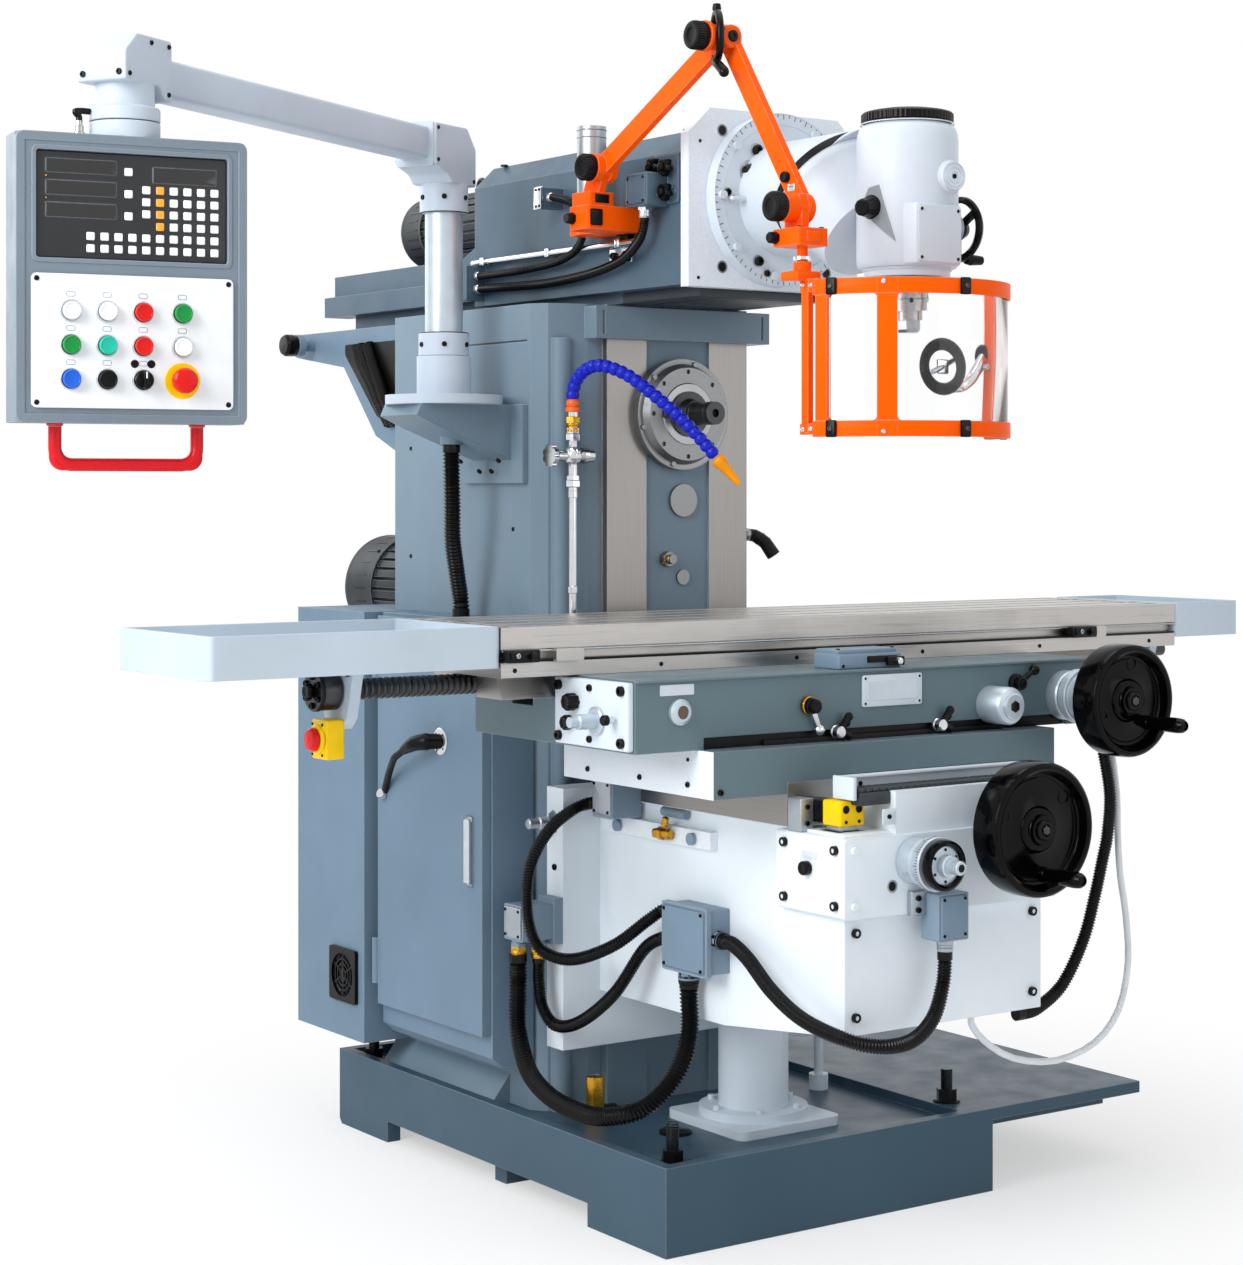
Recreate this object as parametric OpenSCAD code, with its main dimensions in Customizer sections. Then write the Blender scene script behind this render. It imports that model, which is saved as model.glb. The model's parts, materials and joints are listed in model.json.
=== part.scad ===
/* [Base] */
// Width of the base casting, left to right
base_w = 756; // [700:2:820]
// Length of the base casting, front to back
base_l = 1160; // [1100:2:1240]
// Height of the tray floor above the ground
base_h = 136; // [110:1:170]
// Height of the drip rim above the tray floor
rim_h = 19; // [10:1:30]
// Thickness of the drip rim
rim_t = 22; // [14:1:30]
// Height of the arch between the feet
foot_h = 42; // [20:1:60]
// Length of the front foot
front_foot_l = 240; // [160:5:300]
// Length of the rear foot
rear_foot_l = 200; // [120:5:260]
// Wall of the hollow base casting
base_wall = 30; // [20:1:45]
// Reach of the chip shelf past the right side
shelf_w = 390; // [300:5:440]
// Thickness of the chip shelf
shelf_t = 22; // [12:1:30]
// Back edge of the chip shelf, measured from the middle
shelf_back = 200; // [100:5:300]

/* [Column] */
// Width of the steel ways on the column front
way_w = 336; // [300:2:380]
// Width of the recessed strip between the ways
way_gap_w = 150; // [120:2:180]
// Depth of the recessed strip
way_gap_d = 6; // [3:0.5:10]
// Distance from the middle to the front of the ways
way_front = 96; // [80:1:120]
// Distance from the middle to the left side of the column
column_left = 300; // [280:2:330]
// Distance from the middle to the right side of the column
column_right = 240; // [210:2:270]
// Distance from the middle to the back of the column
column_back = 505; // [460:5:560]
// Height of the column top above the ground
column_top = 1670; // [1640:2:1720]
// Wall of the hollow column
column_wall = 34; // [24:1:44]
// Height of the horizontal spindle above the ground
spindle_z = 1462; // [1430:2:1490]

/* [Knee] */
// Width of the knee
knee_w = 444; // [420:2:470]
// Distance from the middle to the knee front
knee_front = 868; // [840:2:900]
// Height of the knee underside at the column
knee_low = 375; // [350:5:400]
// Height of the knee shoulder above the ground
knee_shoulder = 745; // [735:1:755]
// Height of the saddle ways above the ground
knee_top = 820; // [812:1:830]
// Width of the saddle ways
knee_way_w = 466; // [440:2:470]
// Width of the slab that rides on the column
knee_slab_w = 610; // [560:5:640]
// Thickness of the slab that rides on the column
knee_slab_t = 55; // [40:1:70]

/* [Saddle] */
// Width of the saddle block that straddles the knee
saddle_w = 780; // [740:5:820]
// Width of the table support
support_w = 1040; // [980:5:1100]
// Distance from the middle to the front of the table support
support_front = 690; // [670:2:720]
// Distance from the middle to the back of the table support
support_back = 190; // [160:2:220]
// Height of the table support
support_h = 122; // [110:1:130]

/* [Table] */
// Length of the work table
table_l = 1600; // [1400:10:1700]
// Width of the work table
table_w = 360; // [320:2:400]
// Height of the table slab
table_h = 84; // [76:1:96]
// Width of a T-slot at the table face
slot_w = 18; // [14:1:22]
// Width of a T-slot at its foot
slot_foot_w = 30; // [26:1:36]
// Distance between T-slots
slot_pitch = 80; // [63:1:100]
// Distance from the middle to the left end of the table
table_left = 677; // [640:1:720]
// Distance from the middle to the table front
table_front = 527; // [500:1:560]
// Diameter of the table screw
lead_d = 36; // [28:1:40]
// Length of the left drip tray
left_tray_l = 531; // [400:5:600]
// Length of the right drip tray
right_tray_l = 187; // [140:5:260]

/* [Ram and head] */
// Width of the ram housing
ram_w = 380; // [360:2:410]
// Distance from the middle to the ram face
ram_front = 400; // [380:2:420]
// Height of the swivel axis above the ground
swivel_z = 1849; // [1830:1:1870]
// Distance from the middle to the vertical spindle axis
head_y = 770; // [750:2:790]
// Radius of the vertical head
head_r = 88; // [80:1:96]
// Radius of the graduated swivel ring
swivel_r = 159; // [145:1:170]

/* [Guard] */
// Radius of the clear guard
guard_r = 195; // [170:1:220]
// Height of the clear guard
guard_h = 258; // [220:1:280]

/* [Control pendant] */
// Width of the control panel
panel_w = 360; // [320:2:400]
// Height of the control panel
panel_h = 440; // [400:2:480]
// Depth of the control panel
panel_d = 80; // [60:1:110]
// Reach of the pendant arm
pendant_reach = 1011; // [900:1:1100]

/* [Hidden] */
$fn = 48;
gap = 0.3;
way_gap = 0.5;
run_gap = 0.05;

// A box given by its two corners on each axis
module box(x, y, z)
  translate([x[0], y[0], z[0]]) cube([x[1] - x[0], y[1] - y[0], z[1] - z[0]]);

// A round bar along X from x[0] to x[1]
module bar_x(x, y, z, r)
  translate([x[0], y, z]) rotate([0, 90, 0]) cylinder(r = r, h = x[1] - x[0]);

// A round bar along Y from y[0] to y[1]
module bar_y(x, y, z, r)
  translate([x, y[1], z]) rotate([90, 0, 0]) cylinder(r = r, h = y[1] - y[0]);

// A round bar along Z from z[0] to z[1]
module bar_z(x, y, z, r)
  translate([x, y, z[0]]) cylinder(r = r, h = z[1] - z[0]);

// A rectangle with round corners, from its low to its high corner
module round_rect(x, y, r) {
  translate([x[0] + r, y[0]]) square([x[1] - x[0] - 2 * r, y[1] - y[0]]);
  translate([x[0], y[0] + r]) square([x[1] - x[0], y[1] - y[0] - 2 * r]);
  for (cx = [x[0] + r, x[1] - r], cy = [y[0] + r, y[1] - r]) translate([cx, cy]) circle(r);
}

// A box whose upright edges are round
module round_box(x, y, z, r)
  translate([0, 0, z[0]]) linear_extrude(z[1] - z[0]) round_rect(x, y, r);

// A box whose edges along Y are round
module round_box_y(x, y, z, r)
  translate([0, y[1], 0]) rotate([90, 0, 0]) linear_extrude(y[1] - y[0]) round_rect(x, z, r);

// A box whose edges along X are round
module round_box_x(x, y, z, r)
  translate([x[0], 0, 0]) rotate([90, 0, 90]) linear_extrude(x[1] - x[0]) round_rect(y, z, r);

// An outline in the Y-Z plane carried along X
module side_profile(x, points)
  translate([x[0], 0, 0]) rotate([90, 0, 90]) linear_extrude(x[1] - x[0]) polygon(points);

// An outline in the X-Z plane carried along Y
module front_profile(y, points)
  translate([0, y[1], 0]) rotate([90, 0, 0]) linear_extrude(y[1] - y[0]) polygon(points);

// A turned part on +Z from a list of radius and height pairs
module turned(points) rotate_extrude() polygon(points);

// A cap screw head on a face at p, standing out along -Y
module screw_y(x, y, z, r = 7, h = 6) bar_y(x, [y - h, y], z, r);

// A cap screw head standing out along -X
module screw_x(x, y, z, r = 7, h = 6) bar_x([x - h, x], y, z, r);

// One straight run between two points
function unit(v) = v / norm(v);
function side_of(d) = abs(d[2]) > 0.9 ? unit(cross(d, [0, 1, 0])) : unit(cross(d, [0, 0, 1]));

// A smooth curve through hand-chosen points, steps points to each span
function smooth(p, steps) = [
  for (i = [0 : len(p) - 2], k = [0 : steps - 1])
    let (a = p[max(i - 1, 0)], b = p[i], c = p[i + 1], d = p[min(i + 2, len(p) - 1)], t = k / steps)
      i == 0 || i == len(p) - 2 ? b + (c - b) * t : 0.5 * (2 * b + (c - a) * t + (2 * a - 5 * b + 4 * c - d)
        * t * t
        + (3 * b - a - 3 * c + d) * t * t * t),
  p[len(p) - 1]];

// Corner points of the rings of a tube that follows points p with radii r
function ring_points(p, r, sides) = [for (i = [0 : len(p) - 1])
  let (d = unit(p[min(i + 1, len(p) - 1)] - p[max(i - 1, 0)]), u = side_of(d), v = cross(d, u))
    for (k = [0 : sides - 1]) p[i] + r[i] * (cos(360 * k / sides) * u + sin(360 * k / sides) * v)];

// Triangles between n rings, the first point at index start, facing out or in
function ring_walls(n, sides, start, out) = [for (i = [0 : n - 2], k = [0 : sides - 1])
  let (a = start + i * sides + k, b = start + i * sides + (k + 1) % sides)
    each (out ? [[a, b + sides, b], [a, a + sides, b + sides]] : [[a, b, b + sides], [a, b + sides,
      a + sides]])];

// A solid tube along points with one radius for each ring, as triangles
module tube(points, radii, sides) {
  n = len(points);
  ends = [[for (k = [0 : sides - 1]) k], [for (k = [sides - 1 : -1 : 0]) (n - 1) * sides + k]];
  polyhedron(points = ring_points(points, radii, sides),
    faces = concat(ring_walls(n, sides, 0, true), ends), convexity = 6);
}

// A hollow tube: outer rings and a bore with rings of its own, joined at both ends
module hollow_tube(points, radii, core, bore_r, sides) {
  n = len(points);
  m = len(core);
  inner = n * sides;
  first = [for (k = [0 : sides - 1]) let (j = (k + 1) % sides)
    each [[k, j, inner + j], [k, inner + j, inner + k]]];
  last = [for (k = [0 : sides - 1]) let (j = (k + 1) % sides, a = (n - 1) * sides, b = inner + (m - 1)
    * sides)
    each [[a + k, b + j, a + j], [a + k, b + k, b + j]]];
  polyhedron(points = concat(ring_points(points, radii, sides), ring_points(core, [for (p = core) bore_r],
    sides)),
    faces = concat(ring_walls(n, sides, 0, true), ring_walls(m, sides, inner, false), first, last),
    convexity = 8);
}

// A plain cord of one radius
module cord(points, r, steps = 4, sides = 8) {
  line = smooth(points, steps);
  tube(line, [for (p = line) r], sides);
}

// Heights and places that follow from the sizes above
bx = base_w / 2;
by = base_l / 2;
rim_z = base_h + rim_h;
tube_y = -335;
tube_r = 65.5;
tube_top = 640;
way_x = way_w / 2;
ram_seat = column_top + gap;

// Hollow base with feet, drip rim, stiffening rib and chip shelf
module base_casting() color("#48565f") {
  difference() {
    union() {
      box([-bx, bx], [-by, by], [0, base_h]);
      box([-bx, -bx + rim_t], [-by, by], [base_h, rim_z]);
      box([-bx, bx], [-by, -by + rim_t], [base_h, rim_z]);
      box([-bx, bx], [by - rim_t, by], [base_h, rim_z]);
      box([bx - 66, bx], [-by, by], [base_h, rim_z]);
      box([bx - 0.01, bx + shelf_w], [-by, shelf_back], [rim_z - shelf_t, rim_z]);
      side_profile([bx, bx + shelf_w - 40],
        [[-by + 60, rim_z - shelf_t], [-by + 72, rim_z - shelf_t], [-by + 72, rim_z - 50], [-by + 60,
          rim_z - 50]]);
    }
    for (s = [0, 1]) mirror([0, s, 0])
      box([-bx + base_wall, bx - base_wall], [20, by - base_wall], [-1, base_h - 24]);
    box([-bx - 1, -bx + base_wall + 1], [-by + front_foot_l, by - rear_foot_l], [-1, foot_h]);
    box([bx - base_wall - 1, bx + 1], [-by + front_foot_l, by - rear_foot_l], [-1, foot_h]);
    side_profile([-bx - 1, bx - base_wall], [[by - 10, -1], [by + 1, -1], [by + 1, 12]]);
    for (p = bolt_spots) bar_z(p[0], p[1], [-1, rim_z + 1], bolt_r + 0.3);
    bar_z(stop_x, stop_y, [base_h - 12, base_h + 1], stop_r);
  }
  brass_drain();
}
module brass_drain() bar_z(-232, -150, [base_h, base_h + 78], 16);
bolt_r = 11;
bolt_spots = [[72 - bx, 80 - by], [bx - 33, 92 - by], [48 - bx, by - 60], [bx - 33, by - 60]];
stop_x = 262;
stop_y = -206;
stop_r = 9;

// Four levelling bolts, each with its nut and washer
module levelling_bolts() color("#1c1e20") for (p = bolt_spots) {
  seat = p[0] > 0 ? rim_z : base_h;
  bar_z(p[0], p[1], [2, seat + 62], bolt_r);
  translate([p[0], p[1], seat]) difference() {
    union() {
      cylinder(r = 24, h = 5);
      translate([0, 0, 5]) cylinder(r = 20, h = 20, $fn = 6);
    }
    translate([0, 0, -1]) cylinder(r = bolt_r, h = 40);
  }
}

// Column outline seen from above
column_plan = [[-way_x, -way_front], [-way_gap_w / 2, -way_front],
  [-way_gap_w / 2, -way_front + way_gap_d], [way_gap_w / 2, -way_front + way_gap_d],
  [way_gap_w / 2, -way_front], [way_x, -way_front], [way_x, -30], [column_right, 50],
  [column_right, column_back - 20], [column_right - 20, column_back],
  [-column_left + 20, column_back], [-column_left, column_back - 20], [-column_left, -30],
  [-column_left + 22, -58], [-way_x - 34, -80], [-way_x, -80]];
cap_front = 118;
cap_low = 1604;
dove_h = 34;
dove_low = 110;
dove_high = 132;

// Column: tapered foot, hollow body, spindle bores, cap and the dovetail for the ram
module column_casting() color("#6b7a84") {
  difference() {
    union() {
      translate([0, 0, base_h]) linear_extrude(column_top - base_h) polygon(column_plan);
      bar_z(-column_left + 48, -64, [base_h, cap_low], 20);
      front_profile([40, column_back - 40], [[-column_left - 46, base_h], [-column_left + 1, base_h],
        [-column_left + 1, base_h + 60]]);
      box([-way_x - 40, way_x + 40], [-cap_front, 59], [cap_low, column_top - 5]);
      front_profile([-cap_front + 20, column_back], [[-dove_low, column_top - 1], [-dove_low, column_top],
        [-dove_high, column_top + dove_h], [dove_high, column_top + dove_h], [dove_low, column_top],
        [dove_low, column_top - 1]]);
    }
    translate([0, 0, base_h - 1]) linear_extrude(hollow_top - base_h + 1) polygon(column_hollow);
    bar_y(0, [-way_front - 60, 60], spindle_z, flange_bore);
    bar_y(0, [column_back - 80, column_back + 60], shaft_z, 17 + run_gap);
    box([-column_left - 1, -column_left + 6], [-20, 372], [cap_low - 6, cap_low - 2]);
    for (s = [-1, 1]) box([s * (way_x + 22) - 3, s * (way_x + 22) + 3], [-cap_front - 1, -cap_front + 4],
      [cap_low + 8, column_top - 12]);
  }
  rear_bearing_wall();
}
column_hollow = [[-way_x, -way_front + column_wall], [way_x - 30, -way_front + column_wall],
  [column_right - column_wall, 70], [column_right - column_wall, column_back - column_wall],
  [-column_left + column_wall, column_back - column_wall], [-column_left + column_wall, 0]];

// Inner wall that carries the back ends of the spindle and the drive shaft
module rear_bearing_wall() difference() {
  box([-column_left + 20, column_right - 20], [250, 280], [shaft_z - 90, hollow_top + 1]);
  bar_y(0, [249, 281], spindle_z, 45 + run_gap);
  bar_y(0, [249, 281], shaft_z, 17 + run_gap);
}
flange_bore = 74;
hollow_top = 1600;

// Hollow tube on the base that holds the knee's screw, with its foot flange
module lift_pedestal() color("#dfe3e6") {
  pedestal_tube();
  stop_rod();
}
module pedestal_tube() translate([0, tube_y, base_h]) difference() {
  union() {
    cylinder(r = tube_r, h = tube_top - base_h);
    cylinder(r = 102, h = 32);
    linear_extrude(17) round_rect([-118, 118], [-118, 118], 20);
    for (a = [0 : 60 : 359]) rotate(a) translate([86, 0, 32]) cylinder(r = 6.5, h = 8);
  }
  translate([0, 0, 24]) cylinder(r = tube_r - 9, h = 600);
}

// Rod that stops the knee, with its clamp collar
module stop_rod() translate([stop_x, stop_y, base_h - 12]) {
  cylinder(r = stop_r, h = 560);
  translate([0, 0, 12]) difference() {
    cylinder(r = 19, h = 30);
    translate([0, 0, -1]) cylinder(r = stop_r, h = 40);
  }
}

// Bearing flange round the horizontal spindle
module spindle_flange() color("#8d9296") translate([0, -way_front, spindle_z]) rotate([90, 0, 0])
  difference() {
    union() {
      translate([0, 0, -90]) cylinder(r = flange_bore, h = 91);
      cylinder(r = 108, h = 18);
      translate([0, 0, 18]) cylinder(r1 = 98, r2 = 90, h = 16);
      for (a = [15 : 60 : 359]) rotate(a) translate([100, 0, 18]) cylinder(r = 5, h = 5);
    }
    translate([0, 0, -91]) cylinder(r = spindle_r + run_gap, h = 140);
    for (a = [45 : 45 : 359]) rotate(a) translate([82, 0, 26]) cylinder(r = 4.5, h = 9);
  }
spindle_r = 60;

// Gear outline: n teeth of module m
function gear_outline(n, m) = [for (i = [0 : n - 1], k = [0 : 3])
  let (rp = n * m / 2, half = 90 / n, a = 360 * i / n,
    w = [half * 1.55, half * 0.42, -half * 0.42, -half * 1.55][3 - k],
    r = (k == 0 || k == 3) ? rp - 1.25 * m : rp + m)
  r * [cos(a + w), sin(a + w)]];
gear_module = 5;
bull_teeth = 48;
pinion_teeth = 28;
gear_y = 110;
gear_t = 38;
shaft_z = spindle_z - gear_module * (bull_teeth + pinion_teeth) / 2;

// Horizontal spindle with its nose, draw face and drive dogs
module horizontal_spindle() color("#2a2c2e") {
  spindle_body();
  bull_gear();
}
module spindle_body() translate([0, 0, spindle_z]) rotate([90, 0, 0])
  difference() {
    union() {
      translate([0, 0, -30]) cylinder(r = spindle_r, h = way_front + 30 + 28);
      translate([0, 0, -285]) cylinder(r = 45, h = 256);
      translate([0, 0, way_front + 28]) cylinder(r = 44, h = 12);
      translate([0, 0, way_front + 40]) cylinder(r1 = 30, r2 = 26, h = 20);
      translate([0, 0, way_front + 60]) cylinder(r = 22, h = 62);
      for (s = [-1, 1]) translate([s * 52 - 7, -9, way_front + 27]) cube([14, 18, 14]);
    }
    translate([0, 0, way_front + 110]) cylinder(r = 8, h = 30);
  }

// Large gear on the spindle
module bull_gear() translate([0, gear_y + gear_t / 2, spindle_z]) rotate([90, 0, 0])
  difference() {
    linear_extrude(gear_t) polygon(gear_outline(bull_teeth, gear_module));
    translate([0, 0, -1]) cylinder(r = 45, h = gear_t + 2);
    for (a = [0 : 60 : 359]) rotate(a) translate([78, 0, -1]) cylinder(r = 16, h = gear_t + 2);
  }

// Drive shaft with its pinion, half a tooth turned so that the teeth mesh
module drive_shaft() color("#9aa0a4") translate([0, 0, shaft_z]) rotate([90, 0, 0]) {
  translate([0, 0, -column_back - 30]) cylinder(r = 17, h = column_back + 30 - 60);
  translate([0, 0, -gear_y - gear_t / 2]) difference() {
    rotate(90 + 180 / pinion_teeth) linear_extrude(gear_t)
      polygon(gear_outline(pinion_teeth, gear_module));
    translate([0, 0, -1]) cylinder(r = 17, h = gear_t + 2);
  }
}

// Sheet steel cabinets on the left: a front one with a doorway and a rear one with louvres
cab_x = 392;
cab_y = [-42, 372];
cab_z = [247, 1070];
rear_cab_x = [-425, -140];
rear_cab_y = [392, 675];
rear_cab_z = [203, 1070];
sheet_t = 3;
fan_y = 470;
fan_z = 330;
fan_r = 44;
module electrical_cabinet() color("#66757f") {
  difference() {
    box([-cab_x, -column_left], cab_y, cab_z);
    box([-cab_x - 1, -column_left - sheet_t], [cab_y[0] + 14, cab_y[1] - 14], [cab_z[0] + 50, cab_z[1] - 14]);
  }
  front_profile([cab_y[0], cab_y[1]], [[-cab_x, cab_z[0]], [-column_left, cab_z[0]],
    [-column_left, cab_z[0] - 20], [-cab_x + 22, cab_z[0] - 20]]);
  difference() {
    box(rear_cab_x, [column_back, rear_cab_y[1]], rear_cab_z);
    box([rear_cab_x[0] + sheet_t, rear_cab_x[1] - sheet_t], [column_back + sheet_t, rear_cab_y[1] - sheet_t],
      [rear_cab_z[0] + sheet_t, rear_cab_z[1] - sheet_t]);
    cabinet_fan_hole();
  }
  difference() {
    box([rear_cab_x[0], -column_left], [rear_cab_y[0], column_back], rear_cab_z);
    box([rear_cab_x[0] + sheet_t, -column_left - sheet_t], [rear_cab_y[0] + sheet_t, column_back + 1],
      [rear_cab_z[0] + sheet_t, rear_cab_z[1] - sheet_t]);
    cabinet_fan_hole();
  }
  bar_x([-cab_x - 7, -cab_x + 13], cab_y[1] - 7, 500, 5);
}
module cabinet_fan_hole() bar_x([rear_cab_x[0] - 1, rear_cab_x[0] + 10], fan_y, fan_z, fan_r);

// Equipment in the cabinets: mounting plate with contactors and ducts, and the fan
module cabinet_equipment() color("#2b2e31") {
  contactor_panel();
  cabinet_fan();
}
module contactor_panel() {
  x = -column_left - sheet_t;
  box([x - 6, x], [cab_y[0] + 40, cab_y[1] - 40], [cab_z[0] + 90, cab_z[1] - 60]);
  for (r = [0 : 3], c = [0 : 4])
    round_box_x([x - 6 - (r == 1 ? 52 : 38), x - 6], [cab_y[0] + 62 + c * 56, cab_y[0] + 106 + c * 56],
      [cab_z[0] + 150 + r * 150, cab_z[0] + 220 + r * 150], 4);
  for (r = [0 : 4]) box([x - 6 - 30, x - 6], [cab_y[0] + 50, cab_y[1] - 50], [cab_z[0] + 102 + r * 150,
    cab_z[0] + 128 + r * 150]);
}

// Fan with its guard in the side of the rear cabinet
module cabinet_fan() translate([rear_cab_x[0], fan_y, fan_z]) rotate([0, -90, 0]) {
  difference() {
    linear_extrude(8) round_rect([-54, 54], [-54, 54], 6);
    translate([0, 0, -1]) cylinder(r = fan_r, h = 10);
  }
  for (r = [12 : 10 : 32]) translate([0, 0, 3]) difference() {
    cylinder(r = r + 1.5, h = 3);
    translate([0, 0, -1]) cylinder(r = r - 1.5, h = 5);
  }
  for (a = [0 : 60 : 359]) rotate(a) translate([4, -2, 3.5]) cube([fan_r - 3, 4, 2]);
  translate([0, 0, 2]) cylinder(r = 6, h = 5);
}

// Main motor at the back of the column: feet ring, finned body and fan cowl
motor_z = shaft_z - 178;
motor_r = 112;
module main_motor() color("#23282c") translate([0, column_back, motor_z]) rotate([-90, 0, 0]) {
  cylinder(r = motor_r + 18, h = 20);
  cylinder(r = 60, h = 70);
  translate([0, 0, 60]) difference() {
    cylinder(r = motor_r, h = 350);
    for (a = [0 : 12 : 359]) rotate(a) translate([motor_r - 12, -3.5, -1]) cube([20, 7, 352]);
  }
  translate([0, 0, 410]) turned([[0, 0], [motor_r + 5, 0], [motor_r + 5, 120], [motor_r - 16, 140], [0,
    140]]);
  translate([-58, -motor_r - 52, 150]) cube([116, 58, 120]);
}

// Plugs, sight disc, handles and small covers on the column
module column_fittings() color("#b8a04a") {
  bar_y(13, [-way_front + way_gap_d - 8, -way_front + way_gap_d], 1295, 32);
  bar_y(-27, [-way_front + way_gap_d - 16, -way_front + way_gap_d], 1181, 14);
  bar_y(-27, [-way_front + way_gap_d - 28, -way_front + way_gap_d - 16], 1181, 9);
  bar_y(14, [-way_front + way_gap_d - 5, -way_front + way_gap_d], 1145, 15);
  bar_x([way_x, way_x + 26], -62, 1226, 9);
  translate([way_x + 26, -62, 1226]) sphere(r = 13);
}

// Shut-off valve on the column corner with its steel riser and hose tail
valve = [-252, -104, 1380];
module coolant_pipe() color("#b9bdc0") translate(valve) {
  difference() {
    union() {
      translate([0, 0, -70]) cylinder(r = 9, h = 130);
      sphere(r = 19);
      rotate([0, 90, 0]) translate([0, 0, -36]) cylinder(r = 10, h = 60);
      translate([0, 0, 28]) cylinder(r = 13, h = 24, $fn = 6);
      translate([0, 0, 60]) cylinder(r = 12, h = 22);
      translate([0, 0, -60]) cylinder(r = 13, h = 22, $fn = 6);
    }
  }
  bar_y(0, [10, 20], 0, 12);
  translate([0, 0, -70]) rotate([180, 0, 0]) cylinder(r = 7.5, h = 290);
}
module coolant_knob() color("#c2c6c9") translate(valve + [0, 0, 0]) translate([-36 - gap, 0, 0])
  rotate([0, -90, 0]) {
    cylinder(r = 7, h = 14);
    translate([0, 0, 8]) difference() {
      cylinder(r = 22, h = 9);
      for (a = [0 : 45 : 359]) rotate(a) translate([24, 0, -1]) cylinder(r = 5, h = 11);
    }
  }

// Ball-segment coolant hose and its nozzle: one bead after another along the route
hose_route = [[-252, -104, 1462 + gap], [-252, -104, 1500], [-250, -126, 1532], [-240, -170, 1548],
  [-214, -220, 1532], [-182, -264, 1494], [-146, -300, 1450], [-112, -326, 1406], [-88, -342, 1372]];
module coolant_hose() color("#1f3fb5") {
  line = smooth(hose_route, 5);
  n = len(line);
  tube([for (i = [0 : n - 1]) line[i]], [for (i = [0 : n - 1]) i % 2 == 0 ? 8.5 : 12], 8);
  nozzle_dir = unit(line[n - 1] - line[n - 2]);
  tube([line[n - 1], line[n - 1] + 14 * nozzle_dir, line[n - 1] + 60 * nozzle_dir], [12.5, 14, 6], 8);
}

// Tapered duct and bracket that hang under the back of the ram
module rear_duct() color("#66757f") {
  side_profile([-column_left + 30, -column_left + 150], [[column_back, 1385], [column_back, 1660],
    [980, 1660], [980, 1610], [760, 1580], [620, 1430]]);
  bar_x([-column_left + 2, -column_left + 30], 900, 1632, 12);
  translate([-column_left - 14, 900, 1632]) rotate([0, 90, 0]) cylinder(r = 24, h = 16);
}

// Gusset bracket and socket for the pendant post
post = [-420, 88];
post_r = 36;
module pendant_bracket() color("#9aa7b0") {
  side_top = 1478;
  front_profile([post[1] - 70, post[1] + 70], [[-column_left, side_top - 110], [-column_left, side_top],
    [post[0] - 90, side_top], [post[0] - 100, side_top - 22], [post[0] - 60, side_top - 40]]);
  bar_z(post[0], post[1], [side_top, side_top + 18], 112);
  bar_z(post[0], post[1], [side_top + 18, side_top + 92], 52);
  box([-column_left - 12, -column_left], [post[1] - 110, post[1] + 110], [side_top - 150, side_top]);
  bar_z(post[0] + 12, post[1] - 8, [side_top - 76, side_top - 30], 22);
}
pendant_pivot_z = 1478 + 92;

// Corrugated hose with its bore: a rib is two rings of eight, small and then large
module ribbed(points, r, count) {
  line = smooth(points, 12);
  last = len(line) - 1;
  hollow_tube([for (i = [0 : count * 2]) line[round(i * last / (count * 2))]],
    [for (i = [0 : count * 2]) i % 2 == 0 ? r * 0.84 : r],
    [for (i = [0 : count]) line[round(i * last / count)]], r * 0.45, 8);
}

// Pendant hose from the bracket down into the front cabinet
pendant_hose = [[-408, 80, 1402], [-408, 80, 1360], [-404, 84, 1290], [-396, 96, 1220],
  [-378, 112, 1160], [-362, 124, 1108], [-360, 124, 1090], [-360, 124, 1070]];
module pendant_conduit() color("#141516") ribbed(pendant_hose, 17, 17);

// Sheet steel door with a turned-in edge and a hinge barrel at its back edge
door_t = 20;
door_x = -cab_x - gap;
door_z = [cab_z[0] + 42, cab_z[1] - 6];
module cabinet_door() color("#66757f") {
  for (z = [[door_z[0] + 40, door_z[0] + 130], [door_z[1] - 130, door_z[1] - 40]])
    bar_z(door_x - door_t, cab_y[1] - 7, z, 8);
  difference() {
    box([door_x - door_t, door_x], [cab_y[0] + 4, cab_y[1] - 14], door_z);
    box([door_x - door_t + sheet_t, door_x + 1], [cab_y[0] + 20, cab_y[1] - 30],
      [door_z[0] + 16, door_z[1] - 16]);
    box([door_x - door_t - 1, door_x - door_t + 2.5], [latch_y - 6, latch_y + 6], latch_z);
  }
}
latch_y = 4;
latch_z = [566, 700];
module door_latch() color("#c9ced2") {
  round_box_x([door_x - door_t - 9, door_x - door_t - gap], [latch_y - 10, latch_y + 10],
    [latch_z[0] + 10, latch_z[1] - 6], 6);
  bar_y(door_x - door_t - gap - 4.4, [latch_y - 10, latch_y + 10], latch_z[0] + 10, 4.4);
}

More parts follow.
